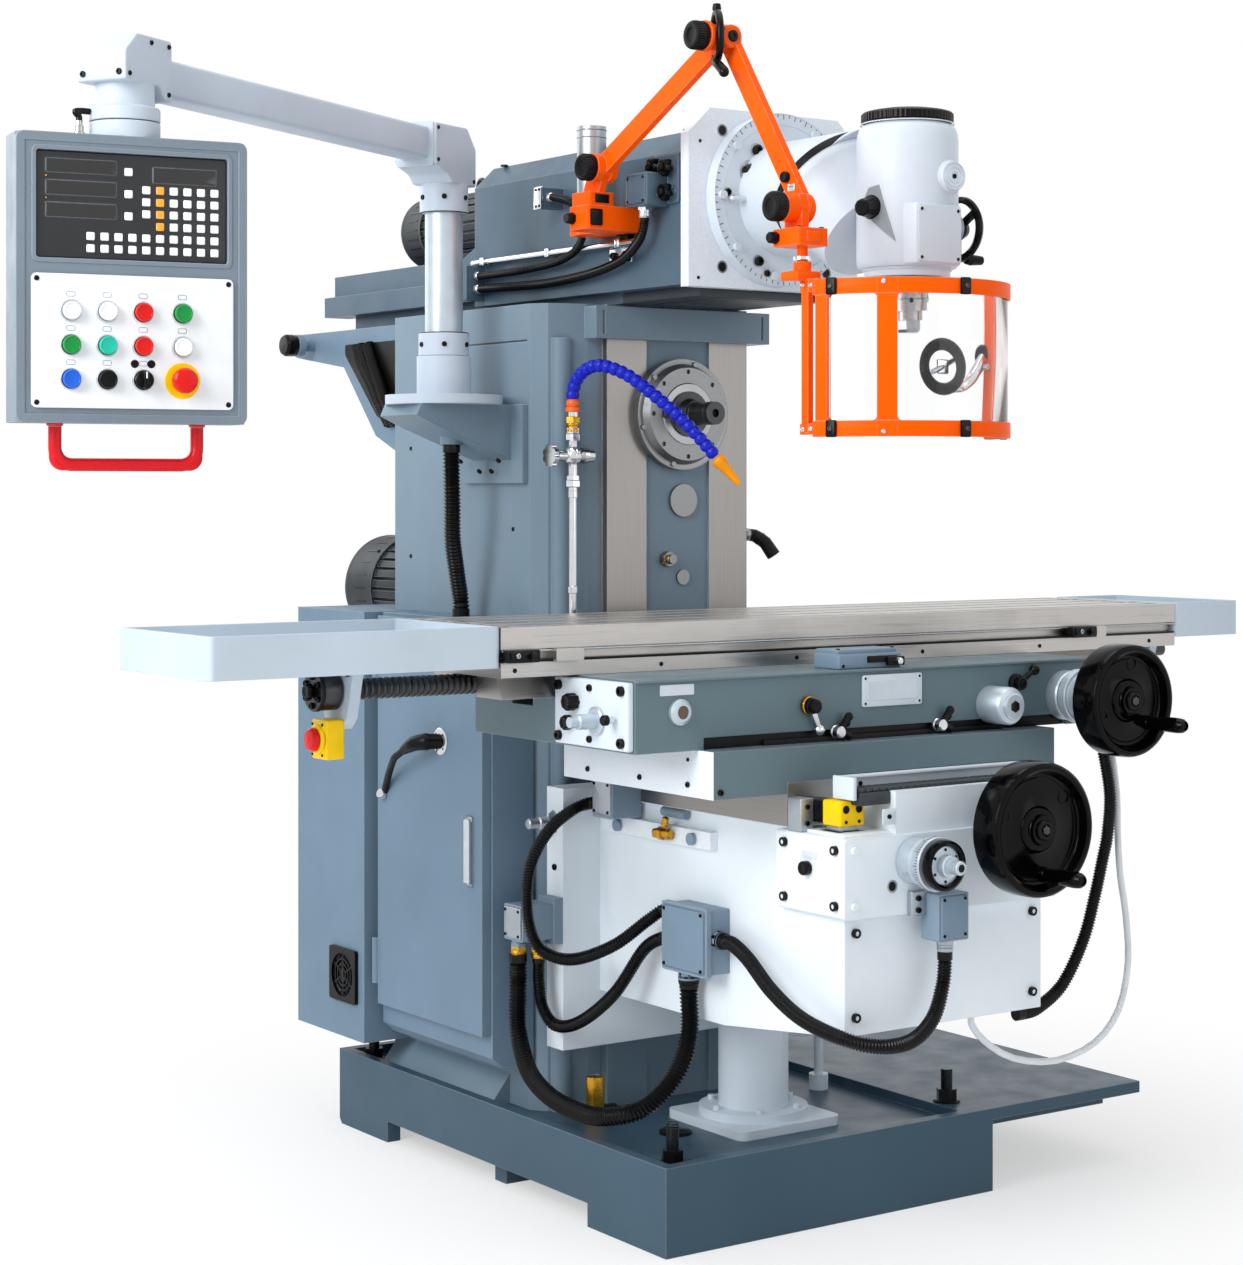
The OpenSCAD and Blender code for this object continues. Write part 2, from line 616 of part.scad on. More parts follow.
// Knee: hollow casting with the slab on the column ways and the saddle ways on top
slab_y = [-way_front - gap - knee_slab_t, -way_front - gap];
box_front = knee_front + 22;
box_low = 607;
box_side = knee_w / 2 + 18;
box_back = -708;
module knee_casting() color("#e9edef") {
  x = knee_w / 2;
  difference() {
    union() {
      side_profile([-x, x], [[-knee_front, knee_low + 36], [-knee_front, knee_shoulder - 4],
        [-knee_front + 8, knee_shoulder], [slab_y[0], knee_shoulder], [slab_y[0], knee_low],
        [-knee_front + 330, knee_low]]);
      box([-knee_way_w / 2, knee_way_w / 2], [-knee_front + 138, slab_y[0]], [knee_shoulder - 1,
        knee_top - gap]);
      box([-120, knee_way_w / 2], [-knee_front - 10, -knee_front + 139], [knee_shoulder - 6, knee_top - 8]);
      round_box_y([-box_side, box_side], [-box_front, box_back], [box_low, knee_shoulder - 5], 8);
      box([-knee_slab_w / 2, knee_slab_w / 2], slab_y, [knee_low - 104, knee_shoulder + 14]);
    }
    bar_z(0, tube_y, [knee_low - 60, 762], tube_r + 4);
    box([-x + 28, x - 28], [-knee_front + 28, tube_y - 96], [knee_low - 2 + 40, knee_shoulder - 28]);
    bar_z(stop_x, stop_y, [knee_low - 120, knee_top + 10], stop_r + 4);
  }
  for (s = [-1, 1], z = [box_low + 22, knee_shoulder - 24])
    screw_y(s * (box_side - 20), -box_front, z);
  for (s = [-1, 1], z = [knee_low + 66, box_low - 26]) screw_y(s * (x - 22), -knee_front, z);
  for (y = [-box_front + 24, box_back - 24], z = [box_low + 22, knee_shoulder - 24]) screw_x(-box_side, y, z);
}

// Screw that lifts the knee, hanging from the knee into the pedestal
module elevating_screw() color("#9aa0a4") {
  translate([0, tube_y, 292]) turned(concat([[0, 0], [17, 0]],
    [for (i = [0 : 38]) each [[17, i * 12 + 2], [20, i * 12 + 5], [20, i * 12 + 9], [17, i * 12 + 12]]],
    [[17, 470], [0, 470]]));
  translate([0, tube_y, 690]) difference() {
    cylinder(r = 44, h = 72);
    translate([0, 0, -1]) cylinder(r = 20, h = 74);
  }
}

// Boxes, rails, glands and screws fixed to the knee
jbox = [[-276, -knee_w / 2], [-555, -430], [468, 582]];
switch_box = [[-74, -8], [-box_front - 44, -box_front], [562, 642]];
limit_box = [[-392, -knee_slab_w / 2], [-148, -84], [470, 556]];
module knee_fittings() color("#a7adb1") {
  x = knee_w / 2;
  round_box_x([jbox[0][0] + 10, jbox[0][1]], jbox[1], jbox[2], 4);
  round_box_x([jbox[0][0], jbox[0][0] + 10], [jbox[1][0] - 4, jbox[1][1] + 4], [jbox[2][0] - 4,
    jbox[2][1] + 4], 5);
  bar_z(-249, -470, [jbox[2][0] - 20, jbox[2][0]], 19);
  bar_y(-249, [jbox[1][0] - 14, jbox[1][0]], 530, 15);
  bar_y(-249, [jbox[1][1], jbox[1][1] + 14], 560, 15);
  bar_y(-249, [jbox[1][1], jbox[1][1] + 14], 510, 15);
  round_box_y(switch_box[0], switch_box[1], switch_box[2], 4);
  box([switch_box[0][0] - 26, switch_box[0][0] + 1], [-box_front - 10, -box_front], [612, 640]);
  bar_z(-41, -box_front - 22, [switch_box[2][0] - 18, switch_box[2][0]], 13);
  round_box_x([limit_box[0][0], limit_box[0][1] - 20], limit_box[1], [480, 546], 4);
  box([limit_box[0][1] - 20, limit_box[0][1]], [slab_y[0], slab_y[1] - 2], limit_box[2]);
  for (p = [[-374, -104], [-344, -128]]) {
    bar_z(p[0], p[1], [452, 480], 12);
    translate([p[0], p[1], 462]) cylinder(r = 15, h = 10, $fn = 6);
  }
  box([-x - 16, -x], [-520, -180], [680, 712]);
  bar_x([-x - 26, -x - 16], -240, 696, 11);
  bar_x([-x - 26, -x - 16], -470, 696, 11);
  round_box_x([-x - 74, -knee_way_w / 2], [-300, -236], [716, 790], 4);
  bar_y(-x - 46, [-236, -222], 735, 14);
  bar_y(-x - 9, [-440, -370], 735, 9);
}

// Hoses clipped to the knee: from box to box, all moving with it
hose_a = [[-249, -416, 510], [-249, -392, 510], [-262, -350, 484], [-290, -298, 400], [-312, -220, 338],
  [-330, -164, 324], [-340, -134, 356], [-344, -128, 404], [-344, -128, 428], [-344, -128, 452]];
hose_b = [[-268, -222, 735], [-268, -198, 735], [-290, -172, 724], [-340, -166, 692], [-386, -174, 640],
  [-406, -184, 584], [-406, -192, 520], [-390, -208, 476], [-356, -256, 462], [-312, -324, 492],
  [-270, -372, 540], [-249, -392, 560], [-249, -416, 560]];
hose_c = [[-249, -470, 448], [-249, -470, 420], [-256, -480, 350], [-296, -490, 284], [-352, -470, 232],
  [-396, -416, 214], [-406, -340, 212], [-404, -250, 222], [-394, -170, 250], [-380, -114, 310],
  [-374, -104, 390], [-374, -104, 426], [-374, -104, 452]];
hose_d = [[-249, -569, 530], [-249, -594, 530], [-256, -650, 512], [-266, -730, 470], [-264, -810, 436],
  [-240, -890, 414], [-190, -924, 402], [-128, -930, 406], [-78, -924, 436], [-48, -914, 484],
  [-41, -912, 524], [-41, -912, 544]];
module knee_conduits() color("#141516") {
  ribbed(hose_a, 12, 13);
  ribbed(hose_b, 12, 24);
  ribbed(hose_c, 17, 24);
  ribbed(hose_d, 13, 22);
}

// Hoses between the table support and the knee on the right
hose_e = [[486, -756, 878 - gap], [486, -756, 850], [478, -784, 760], [456, -800, 690], [440, -802, 640],
  [424, -800, 580], [398, -796, 500], [352, -790, 424], [296, -786, 388], [262, -786, 382], [240, -786, 382]];
hose_f = [[520, -744, 878 - gap], [520, -744, 850], [510, -770, 760], [486, -796, 680], [476, -812, 612],
  [490, -812, 540], [500, -808, 450], [480, -804, 366], [424, -800, 312], [330, -796, 290],
  [230, -792, 306], [160, -790, 346], [130, -790, 380], [130, -790, 392]];
module saddle_hoses() color("#141516") {
  ribbed(hose_e, 12, 18);
  cord(hose_f, 6, 3);
}

// Boss, dial and hand ring of the crank that lifts the knee
crank = [-91, 696];
module elevation_crank() color("#c2c6c9") translate([crank[0], -box_front - gap, crank[1]]) rotate([90, 0, 0])
  difference() {
    union() {
      cylinder(r = 40, h = 46);
      translate([0, 0, 46]) cylinder(r = 46, h = 16);
      translate([0, 0, 62]) cylinder(r = 18, h = 30);
      translate([0, 0, 70]) difference() {
        cylinder(r = 34, h = 12);
        translate([0, 0, -1]) cylinder(r = 24, h = 14);
      }
      translate([-3, -30, 72]) cube([6, 60, 8]);
      translate([0, 0, 92]) cylinder(r = 12, h = 26);
    }
    translate([0, 0, -1]) cylinder(r = 9, h = 6);
  }

// Handwheel with rim, web, hub and a seat for its handle
module handwheel(r, seat, hub_l) difference() {
  union() {
    turned([[0, 0], [hub_r, 0], [hub_r, hub_l - 12], [r - 22, hub_l], [r - 14, hub_l - 12],
      [r - 4, hub_l - 12], [r, hub_l - 6], [r, hub_l + 22], [r - 6, hub_l + 28], [r - 14, hub_l + 28],
      [r - 22, hub_l + 18], [hub_r + 4, hub_l + 8], [hub_r - 6, hub_l + 24], [12, hub_l + 28], [0,
        hub_l + 28]]);
    translate([seat, 0, hub_l]) cylinder(r = 11, h = 18);
  }
  translate([seat, 0, hub_l + 4]) cylinder(r = 6 + run_gap, h = 30);
}
hub_r = 34;
wheel_handle_l = 84;

// Turning handle of a handwheel: spindle and swelling grip
module wheel_handle() {
  cylinder(r = 6, h = 40);
  translate([0, 0, 14 + gap]) turned([[0, 0], [8, 0], [10, 6], [12.5, 40], [11, wheel_handle_l - 8],
    [7, wheel_handle_l], [0, wheel_handle_l]]);
}
cross_axis = [92, 745];
cross_r = 113;
module cross_handwheel() color("#141516") translate([cross_axis[0], -box_front - gap, cross_axis[1]])
  rotate([90, 80, 0]) handwheel(cross_r, 78, 96);
module cross_handle() color("#2a2c2e") translate([cross_axis[0], -box_front - gap, cross_axis[1]])
  rotate([90, 80, 0]) translate([78, 0, 96 + 4 + gap]) wheel_handle();

// Saddle block that straddles the knee ways
saddle_z = [knee_shoulder + 55, knee_top + 60];
module saddle_block() color("#e9edef") difference() {
  x = saddle_w / 2;
  union() {
    front_profile([-730, -283], [[-x, saddle_z[0]], [-x, saddle_z[1]], [x, saddle_z[1]], [x, saddle_z[0]]]);
    box([-x + 60, x - 60], [-284, -support_back], [knee_top + 2, saddle_z[1]]);
  }
  box([-knee_way_w / 2 - gap, knee_way_w / 2 + gap], [-731, -280], [saddle_z[0] - 1, knee_top]);
  for (s = [-1, 1]) box([s * (x - 90) - 50, s * (x - 90) + 50], [-700, -320], [saddle_z[0] - 1,
    saddle_z[1] - 22]);
}

// Table support with the dovetail that guides the table and the cavity for the nut
support_z = [saddle_z[1], saddle_z[1] + support_h];
table_bottom = support_z[1] + 1 + gap - 1;
tongue_w = 200;
tongue_h = 42;
tongue_y = -347;
module support_outline() polygon([[-support_front, support_z[0]], [-support_front, support_z[1]],
  [tongue_y - tongue_w / 2 - gap, support_z[1]], [tongue_y - tongue_w / 2 - 20 - gap,
    support_z[1] - tongue_h - gap],
  [tongue_y + tongue_w / 2 + 20 + gap, support_z[1] - tongue_h - gap], [tongue_y + tongue_w / 2 + gap,
    support_z[1]],
  [-support_back, support_z[1]], [-support_back, support_z[0]]]);
module table_support() color("#66757f") {
  x = support_w / 2;
  difference() {
    translate([-x, 0, 0]) rotate([90, 0, 90]) linear_extrude(support_w) support_outline();
    box([-x - 1, x + 1], [tongue_y - 34, tongue_y + 34], [support_z[1] - 62, support_z[1] - 10]);
    side_profile([-380, x - 60], [[-support_front - 1, support_z[0] - 1], [-support_front - 1,
      support_z[0] + 20],
      [-support_front + 8, support_z[0] + 24], [-support_front + 8, support_z[0] - 1]]);
    for (y = [-600, -250]) box([-x + 40, x - 40], [y - 46, y + 46], [support_z[0] - 1, support_z[1] - 70]);
  }
  translate([-20, tongue_y - 34, support_z[1] - 62 - 0.01]) difference() {
    cube([60, 68, 50]);
    translate([-1, 34, screw_z - support_z[1] + 62]) rotate([0, 90, 0]) cylinder(r = lead_d / 2 + gap,
      h = 70);
  }
}
screw_z = 981;

// Bosses, dial, sight glass, covers and plates on the table support
wheel_axis = [453, 935];
module support_fittings() color("#c2c6c9") {
  f = -support_front;
  difference() {
    bar_y(wheel_axis[0], [f - 34, f], wheel_axis[1], 46);
    bar_y(wheel_axis[0], [f - 35, f - 10], wheel_axis[1], 17 + run_gap);
  }
  bar_y(268, [f - 60, f], 926, 34);
  bar_y(268, [f - 66, f - 60], 926, 24);
  bar_y(-430, [f - 10, f], 946, 19);
  bar_y(-430, [f - 12, f - 10], 946, 13);
  round_box_y([-35, 100], [f - 4, f], [936, 990], 4);
  round_box_y([-84, 60], [f + 4, f + 74], [support_z[1], support_z[1] + 34], 4);
  box([-support_w / 2 - 14, -support_w / 2], [f + 2, -470], [support_z[0] + 4, support_z[1] - 4]);
  for (y = [f + 22, -492], z = [support_z[0] + 24, support_z[1] - 22])
    bar_x([-support_w / 2 - 20, -support_w / 2 - 14], y, z, 8);
  bar_x([-support_w / 2 - 70, -support_w / 2 - 14], -600, 930, 14);

  box([wheel_axis[0] + 8, wheel_axis[0] + 86], [f - 74, f], [support_z[0] - 2, support_z[0] + 14]);
}

// Silver lever that clamps the saddle
clamp = [-158, 944];
module lever(l, r, tip) {
  cylinder(r = r * 1.7, h = 18);
  translate([0, 0, 10]) rotate([90, 0, 0]) cylinder(r1 = r, r2 = r * 0.75, h = l);
  translate([0, -l, 10]) sphere(r = tip);
}
module clamp_lever() color("#b9bdc0") translate([clamp[0], -support_front - gap, clamp[1]])
  rotate([90, 0, 0]) rotate(24) lever(46, 8, 10);

// Two small black levers that lock the saddle
module lock_lever(x) color("#141516") translate([x, -support_front - gap, support_z[0] + 16])
  rotate([90, 0, 0]) rotate(130) lever(24, 6, 8);
module left_lock_lever() lock_lever(-98);
module right_lock_lever() lock_lever(137);

// Black lever that picks the table feed
feed = [330, 962];
module feed_lever() color("#141516") translate([feed[0], -support_front - gap, feed[1]])
  rotate([90, 0, 0]) rotate(120) lever(46, 6, 10);

module table_handwheel() color("#141516") translate([wheel_axis[0], -support_front - 34 - gap, wheel_axis[1]])
  rotate([90, 40, 0]) {
    handwheel(100, 66, 118);
    translate([0, 0, -24 + gap]) cylinder(r = 17, h = 26);
  }
module table_handle() color("#2a2c2e") translate([wheel_axis[0], -support_front - 34 - gap, wheel_axis[1]])
  rotate([90, 40, 0]) translate([66, 0, 118 + 4 + gap]) wheel_handle();

// Work table: slab with T-slots, drain channel, dog slot and dovetail tongue
table_x = [-table_left, table_l - table_left];
table_y = [-table_front, table_w - table_front];
table_z = [table_bottom, table_bottom + table_h];
module t_slot(y) side_profile([table_x[0] - 1, table_x[1] + 1],
  [[y - slot_w / 2, table_z[1] + 1], [y - slot_w / 2, table_z[1] - 16], [y - slot_foot_w / 2,
    table_z[1] - 16],
   [y - slot_foot_w / 2, table_z[1] - 30], [y + slot_foot_w / 2, table_z[1] - 30],
   [y + slot_foot_w / 2, table_z[1] - 16], [y + slot_w / 2, table_z[1] - 16], [y + slot_w / 2,
     table_z[1] + 1]]);
module table() color("#a29d99") {
  mid = (table_y[0] + table_y[1]) / 2;
  difference() {
    union() {
      box(table_x, table_y, table_z);
      difference() {
        side_profile([table_x[0] + 40, table_x[1] - 40],
          [[tongue_y - tongue_w / 2, table_z[0] + 1], [tongue_y - tongue_w / 2, table_z[0]],
           [tongue_y - tongue_w / 2 - 19, table_z[0] - tongue_h + gap], [tongue_y + tongue_w / 2 + 19,
             table_z[0] - tongue_h + gap],
           [tongue_y + tongue_w / 2, table_z[0]], [tongue_y + tongue_w / 2, table_z[0] + 1]]);
        box([table_x[0], table_x[1]], [tongue_y - 37, tongue_y + 37], [table_z[0] - 60, table_z[0] + 0.5]);
      }
    }
    for (k = [-1, 0, 1]) t_slot(mid + k * slot_pitch);
    for (s = [-1, 1]) round_channel(mid + s * (table_w / 2 - 24));
    for (e = [table_x[0] + 34, table_x[1] - 34]) box([e - 9, e + 9], [table_y[0] + 15, table_y[1] - 15],
      [table_z[1] - 9, table_z[1] + 1]);
    box([table_x[0] - 1, table_x[1] + 1], [table_y[0] - 1, table_y[0] + 16], [table_z[0] + 25,
      table_z[0] + 47]);
  }
  for (x = [-560, -536, 700]) round_box_y([x - 16, x + 16], [table_y[0] - 14, table_y[0] + 15.5],
    [table_z[0] + 25.5, table_z[0] + 46.5], 4);
}
module round_channel(y) side_profile([table_x[0] + 30, table_x[1] - 30],
  [[y - 8, table_z[1] + 1], [y - 8, table_z[1] - 8], [y + 8, table_z[1] - 8], [y + 8, table_z[1] + 1]]);

// Brackets that carry the table screw at both ends
module table_brackets() {
  for (e = [[table_x[0] - 213, table_x[0] - 193], [table_x[1] + 62, table_x[1] + 82]]) difference() {
    side_profile(e, [[tongue_y - 62, table_z[0] + 17], [tongue_y + 62, table_z[0] + 17],
      [tongue_y + 40, screw_z - 44], [tongue_y + 20, screw_z - 64], [tongue_y - 20, screw_z - 64],
        [tongue_y - 40, screw_z - 44]]);
    bar_x([e[0] - 1, e[1] + 1], tongue_y, screw_z, lead_d / 2 - 4 + run_gap);
  }
}

// Shallow drip trays beyond both ends of the table
tray_z = [table_bottom + 17, table_bottom + 86];
module tray(x) difference() {
  round_box(x, [table_y[0], table_y[1] - 20], tray_z, 10);
  round_box([x[0] + 9, x[1] - 9], [table_y[0] + 9, table_y[1] - 29], [tray_z[0] + 10, tray_z[1] + 1], 6);
}
module end_trays() color("#e9edef") {
  table_brackets();
  stop_box();
  tray([table_x[0] - left_tray_l, table_x[0]]);
  tray([table_x[1], table_x[1] + right_tray_l]);
}

// Table screw with its thread on the open left stretch and its end flange
module lead_screw() color("#141516") {
  x0 = table_x[0] - 230;
  r = lead_d / 2;
  translate([x0, tongue_y, screw_z]) rotate([0, 90, 0]) turned(concat([[0, 0], [r - 4, 0], [r - 4, 37 + gap]],
    [for (i = [0 : 31]) each [[r - 3.5, 38 + i * 12], [r, 41 + i * 12], [r, 45 + i * 12], [r - 3.5,
      49 + i * 12]]],
    [[r - 4, 424], [r - 4, table_l + 380], [0, table_l + 380]]));
  translate([x0 - 26, tongue_y, screw_z]) rotate([0, 90, 0]) difference() {
    cylinder(r = 33, h = 40 - gap);
    for (a = [0 : 60 : 359]) rotate(a) translate([25, 0, -1]) cylinder(r = 5, h = 10);
  }
}

// Stop button and its box on the left bracket
stop_at = [table_x[0] - 245, tongue_y - 4, screw_z - 80];
module stop_box() difference() {
  round_box_x([stop_at[0], table_x[0] - 213], [stop_at[1] - 24, stop_at[1] + 24], [stop_at[2] - 30,
    stop_at[2] + 30], 6);
  bar_x([stop_at[0] - 1, stop_at[0] + 24], stop_at[1], stop_at[2], 8 + gap);
}
module table_stop_button() color("#d3202a") translate(stop_at) rotate([0, -90, 0])
  turned([[0, -18], [8, -18], [8, 6], [19, 7], [20, 15], [16, 21], [0, 23]]);

// Ram: faceted housing in front, narrow slide behind, dovetail groove below
ram_x = ram_w / 2;
ram_low = column_top + 20;
ram_top = 2010;
ram_mid = 350;
ram_back = 985;
module ram_housing() color("#6b7a84") difference() {
  union() {
    front_profile([-ram_front + 24, ram_mid], [[-ram_x, ram_low], [-ram_x, ram_top - 78], [-ram_x + 46,
      ram_top - 34],
      [ram_x - 46, ram_top - 34], [ram_x, ram_top - 78], [ram_x, ram_low]]);
    front_profile([-ram_front, -ram_front + 24], [[-ram_x - 8, ram_low - 6], [-ram_x - 8, ram_top - 48],
      [-ram_x + 40, ram_top], [ram_x - 40, ram_top], [ram_x + 8, ram_top - 48], [ram_x + 8, ram_low - 6]]);
    side_profile([-ram_x + 20, ram_x - 20], [[ram_mid - 1, ram_low + 12], [ram_mid - 1, ram_low + 138],
      [ram_mid + 80, ram_low + 104],
      [ram_back, ram_low + 104], [ram_back, ram_low + 12]]);
    box([-ram_x - 6, ram_x + 6], [ram_mid - 20, ram_back], [ram_low + 12, ram_low + 56]);
    box([-150, 150], [-ram_front + 30, ram_back - 60], [ram_seat, ram_low + 13]);
    round_box_x([-ram_x - 52, -ram_x], [-330, -270], [1836, 1892], 5);
    box([-ram_x - 46, -ram_x], [308, 328], [1700, 1770]);
    box([-ram_x - 52, -ram_x], [20, 44], [1860, 1900]);
  }
  front_profile([-ram_front + 60, ram_mid - 40], [[-ram_x + 34, ram_low + 96], [-ram_x + 34, ram_top - 92],
    [-ram_x + 66, ram_top - 62], [ram_x - 66, ram_top - 62], [ram_x - 34, ram_top - 92], [ram_x - 34,
      ram_low + 96]]);
  front_profile([-ram_front + 29, ram_back + 1], [[-dove_low - way_gap, ram_seat - 1],
    [-dove_low - way_gap, column_top], [-dove_high - way_gap, column_top + dove_h + gap],
    [dove_high + way_gap, column_top + dove_h + gap], [dove_low + way_gap, column_top],
    [dove_low + way_gap, ram_seat - 1]]);
  bar_y(0, [-ram_front - 1, -ram_front + 40], swivel_z, 70);
}

// Motor on the ram with fins, feet ring and cowl
ram_motor_z = 1889;
module ram_motor() color("#23282c") translate([0, ram_mid + 130, ram_motor_z]) rotate([-90, 0, 0]) {
  translate([0, 0, -130]) cylinder(r = 52, h = 132);
  cylinder(r = 84, h = 16);
  translate([0, 0, 16]) difference() {
    cylinder(r = 76, h = 270);
    for (a = [0 : 15 : 359]) rotate(a) translate([68, -3, -1]) cube([14, 6, 272]);
  }
  translate([0, 0, 286]) turned([[0, 0], [80, 0], [80, 78], [66, 92], [0, 92]]);
  translate([-46, -8, 90]) cube([92, 98, 70]);
}

// Hoses that ride on the ram's left side, from the connector block and the clamps on it
hose_g = [[-224, -300, 1836], [-224, -300, 1812], [-222, -280, 1776], [-214, -210, 1744], [-210, -100, 1726],
  [-208, 60, 1718], [-212, 200, 1720], [-214, 284, 1722], [-214, 308, 1722]];
hose_h = [[-226, 20, 1880], [-226, 0, 1880], [-224, -60, 1862], [-220, -92, 1822], [-216, -70, 1780],
  [-212, 0, 1758], [-210, 120, 1750], [-212, 220, 1748], [-214, 284, 1748], [-214, 308, 1748]];
module ram_conduits() color("#141516") {
  ribbed(hose_g, 9, 16);
  ribbed(hose_h, 8, 16);
}

// Swivel: graduated ring, round neck and the face at 45 degrees that carries the head
seam_y = -590;
seam = [0, seam_y, swivel_z];
neck_r = 104;
seam_r = 124;
module beyond_seam(s) translate(seam) rotate([s > 0 ? 135 : -45, 0, 0])
  translate([-400, -400, gap / 2]) cube([800, 800, 800]);
module swivel_knuckle() color("#e9edef") {
  bar_y(0, [-ram_front - gap - 26, -ram_front - gap], swivel_z, swivel_r);
  bar_y(0, [-ram_front - 1, -ram_front + 30], swivel_z, 60);
  difference() {
    bar_y(0, [seam_y - 110, -ram_front - 20], swivel_z, neck_r);
    beyond_seam(1);
  }
  translate(seam) rotate([-45, 0, 0]) translate([0, 0, gap / 2]) cylinder(r = seam_r, h = 18);
  for (a = [20 : 40 : 359]) translate([0, -ram_front - gap - 26, swivel_z]) rotate([90, a, 0])
    translate([swivel_r - 16, 0, 0]) cylinder(r = 8, h = 8);
}

// Vertical head: body, neck to the seam, quill boss, cover and cap
head_low = 1696;
head_top = 1947;
module vertical_head() color("#eef1f3") {
  difference() {
    union() {
      translate([0, -head_y, head_low]) turned([[0, 0], [head_r - 8, 0], [head_r, 8], [head_r, 214],
        [head_r - 4, 240], [head_r - 10, head_top - head_low], [0, head_top - head_low]]);
      translate(seam) rotate([135, 0, 0]) translate([0, 0, gap / 2]) cylinder(r = seam_r, h = 18);
      translate(seam) rotate([135, 0, 0]) translate([0, 0, gap / 2]) cylinder(r = seam_r - 16, h = 100);
      bar_x([0, head_r + 18], -head_y, 1773, 30);
      round_box([-head_r + 60, head_r + 6], [-head_y - head_r - 4, -head_y - 20], [head_low + 4, 1792], 14);
      bar_y(20, [-head_y - head_r - 10, -head_y], 1850, 24);
    }
    beyond_seam(-1);
    bar_z(0, -head_y, [head_low - 20, head_low + 120], 46);
    bar_x([head_r - 30, head_r + 19], -head_y, 1773, 10 + run_gap);
  }
  translate([0, -head_y, head_low - 14]) difference() {
    cylinder(r = 74, h = 14);
    translate([0, 0, -1]) cylinder(r = 46, h = 16);
  }
  translate([0, -head_y, head_top]) difference() {
    turned([[0, 0], [74, 0], [78, 8], [78, 16], [70, 22], [0, 22]]);
    translate([0, 110 - 16, 12]) cube([200, 60, 40], center = true);
  }
  for (s = [0 : 1]) bar_z(-head_r * 0.3 + s * 40, -head_y - 30, [head_top + 20, head_top + 26], 5);
}

// Spindle nose with its taper mouth, dogs and draw ring
module vertical_spindle() color("#9aa0a4") translate([0, -head_y, 0]) difference() {
  union() {
    bar_z(0, 0, [head_low - 30, head_low + 110], 46 - run_gap);
    bar_z(0, 0, [1632, head_low - 30], 44);
    bar_z(0, 0, [1604, 1632], 34);
    for (s = [-1, 1]) translate([s * 34 - 7, -8, 1620]) cube([14, 16, 14]);
    bar_z(0, 0, [1592, 1604], 26);
  }
  bar_z(0, 0, [1591, 1660], 15);
}

// Side handwheel that feeds the quill
module quill_handwheel() color("#141516") translate([head_r + 18 + gap, -head_y, 1773]) rotate([0, 90, 0]) {
  difference() {
    union() {
      turned([[46, 10], [52, 6], [57, 10], [58, 16], [54, 22], [47, 20]]);
      turned([[0, 0], [20, 0], [20, 14], [14, 26], [0, 26]]);
      for (a = [0 : 120 : 359]) rotate(a) translate([10, -6, 6]) cube([40, 12, 8]);
    }
  }
  translate([0, 0, -40]) cylinder(r = 10, h = 42);
  translate([52, 0, 18]) cylinder(r = 5, h = 44);
  translate([52, 0, 30]) turned([[0, 0], [8, 0], [10, 10], [8, 36], [0, 40]]);
}

// Orange guard arm: bracket with a steel post, two links with knob joints, and a wrist
arm_x = -285;
base_pin = [arm_x, -221];
hinge_low = [arm_x, -250, 1905];
hinge_mid = [arm_x, -615, 2091];
hinge_top = [arm_x, -821, 1781];
link_t = 14;
module guard_base() color("#f4581a") {
  difference() {
    union() {
      round_box([arm_x - 34, -ram_x], [-252, -190], [1793, 1837], 8);
      bar_z(-240, -150, [1793, 1996], 27.5);
      box([-262, -ram_x], [-196, -110], [1793, 1837]);
    }
    bar_z(base_pin[0], base_pin[1], [1792, 1838], 14 + run_gap);
  }
}
// A link plate between two hinge points, with round ends and a lightening rib
module link(a, b, w, side) {
  d = b - a;
  translate([arm_x + side, 0, 0]) rotate([90, 0, 90]) linear_extrude(link_t) {
    translate([a[1], a[2]]) circle(w);
    translate([b[1], b[2]]) circle(w);
    translate([a[1], a[2]]) rotate(atan2(d[2], d[1])) translate([0, -w * 0.8]) square([norm(d), w * 1.6]);
  }
}
module guard_link_low() color("#f4581a") difference() {
  union() {
    bar_z(base_pin[0], base_pin[1], [1794, 1841], 14);
    round_box([arm_x - 30, arm_x + 30], [-250, -192], [1837 + gap, 1862], 8);
    side_profile([arm_x - 7, arm_x + 7], [[-250, 1861], [-196, 1861], [-224, 1918], [-276, 1918]]);
    link(hinge_low, hinge_mid, 24, -7);
    bar_x([arm_x - 24, arm_x - 7], hinge_low[1], hinge_low[2], 26);
  }
  bar_x([arm_x - 30, arm_x + 30], hinge_mid[1], hinge_mid[2], 8 + run_gap);
}
module guard_link_high() color("#f4581a") difference() {
  union() {
    link(hinge_mid, hinge_top, 22, 7 + gap);
    bar_x([arm_x - 30, arm_x + 8], hinge_mid[1], hinge_mid[2], 8);
    bar_x([arm_x - 40, arm_x - 7 - gap], hinge_mid[1], hinge_mid[2], 22);
  }
  bar_x([arm_x - 10, arm_x + 60], hinge_top[1], hinge_top[2], 8 + run_gap);
}
module guard_wrist() color("#f4581a") {
  side_profile([arm_x - 8, arm_x + 7], [[hinge_top[1] - 24, 1781], [hinge_top[1] - 16, 1803],
    [hinge_top[1] + 16, 1803],
    [hinge_top[1] + 24, 1781], [hinge_top[1] + 22, 1744], [hinge_top[1] - 22, 1744]]);
  round_box([arm_x - 32, arm_x + 32], [hinge_top[1] - 44, hinge_top[1] + 26], [1716, 1745], 6);
  bar_x([arm_x + 6, arm_x + 30], hinge_top[1], hinge_top[2], 8);
  bar_x([arm_x - 34, arm_x - 8], hinge_top[1], hinge_top[2], 24);
  bar_z(guard_pin[0], guard_pin[1], [guard_z[1] + 1, 1717], 9);
  bar_z(guard_pin[0], guard_pin[1], [guard_z[1] + 15 + gap, 1690], 15);
}
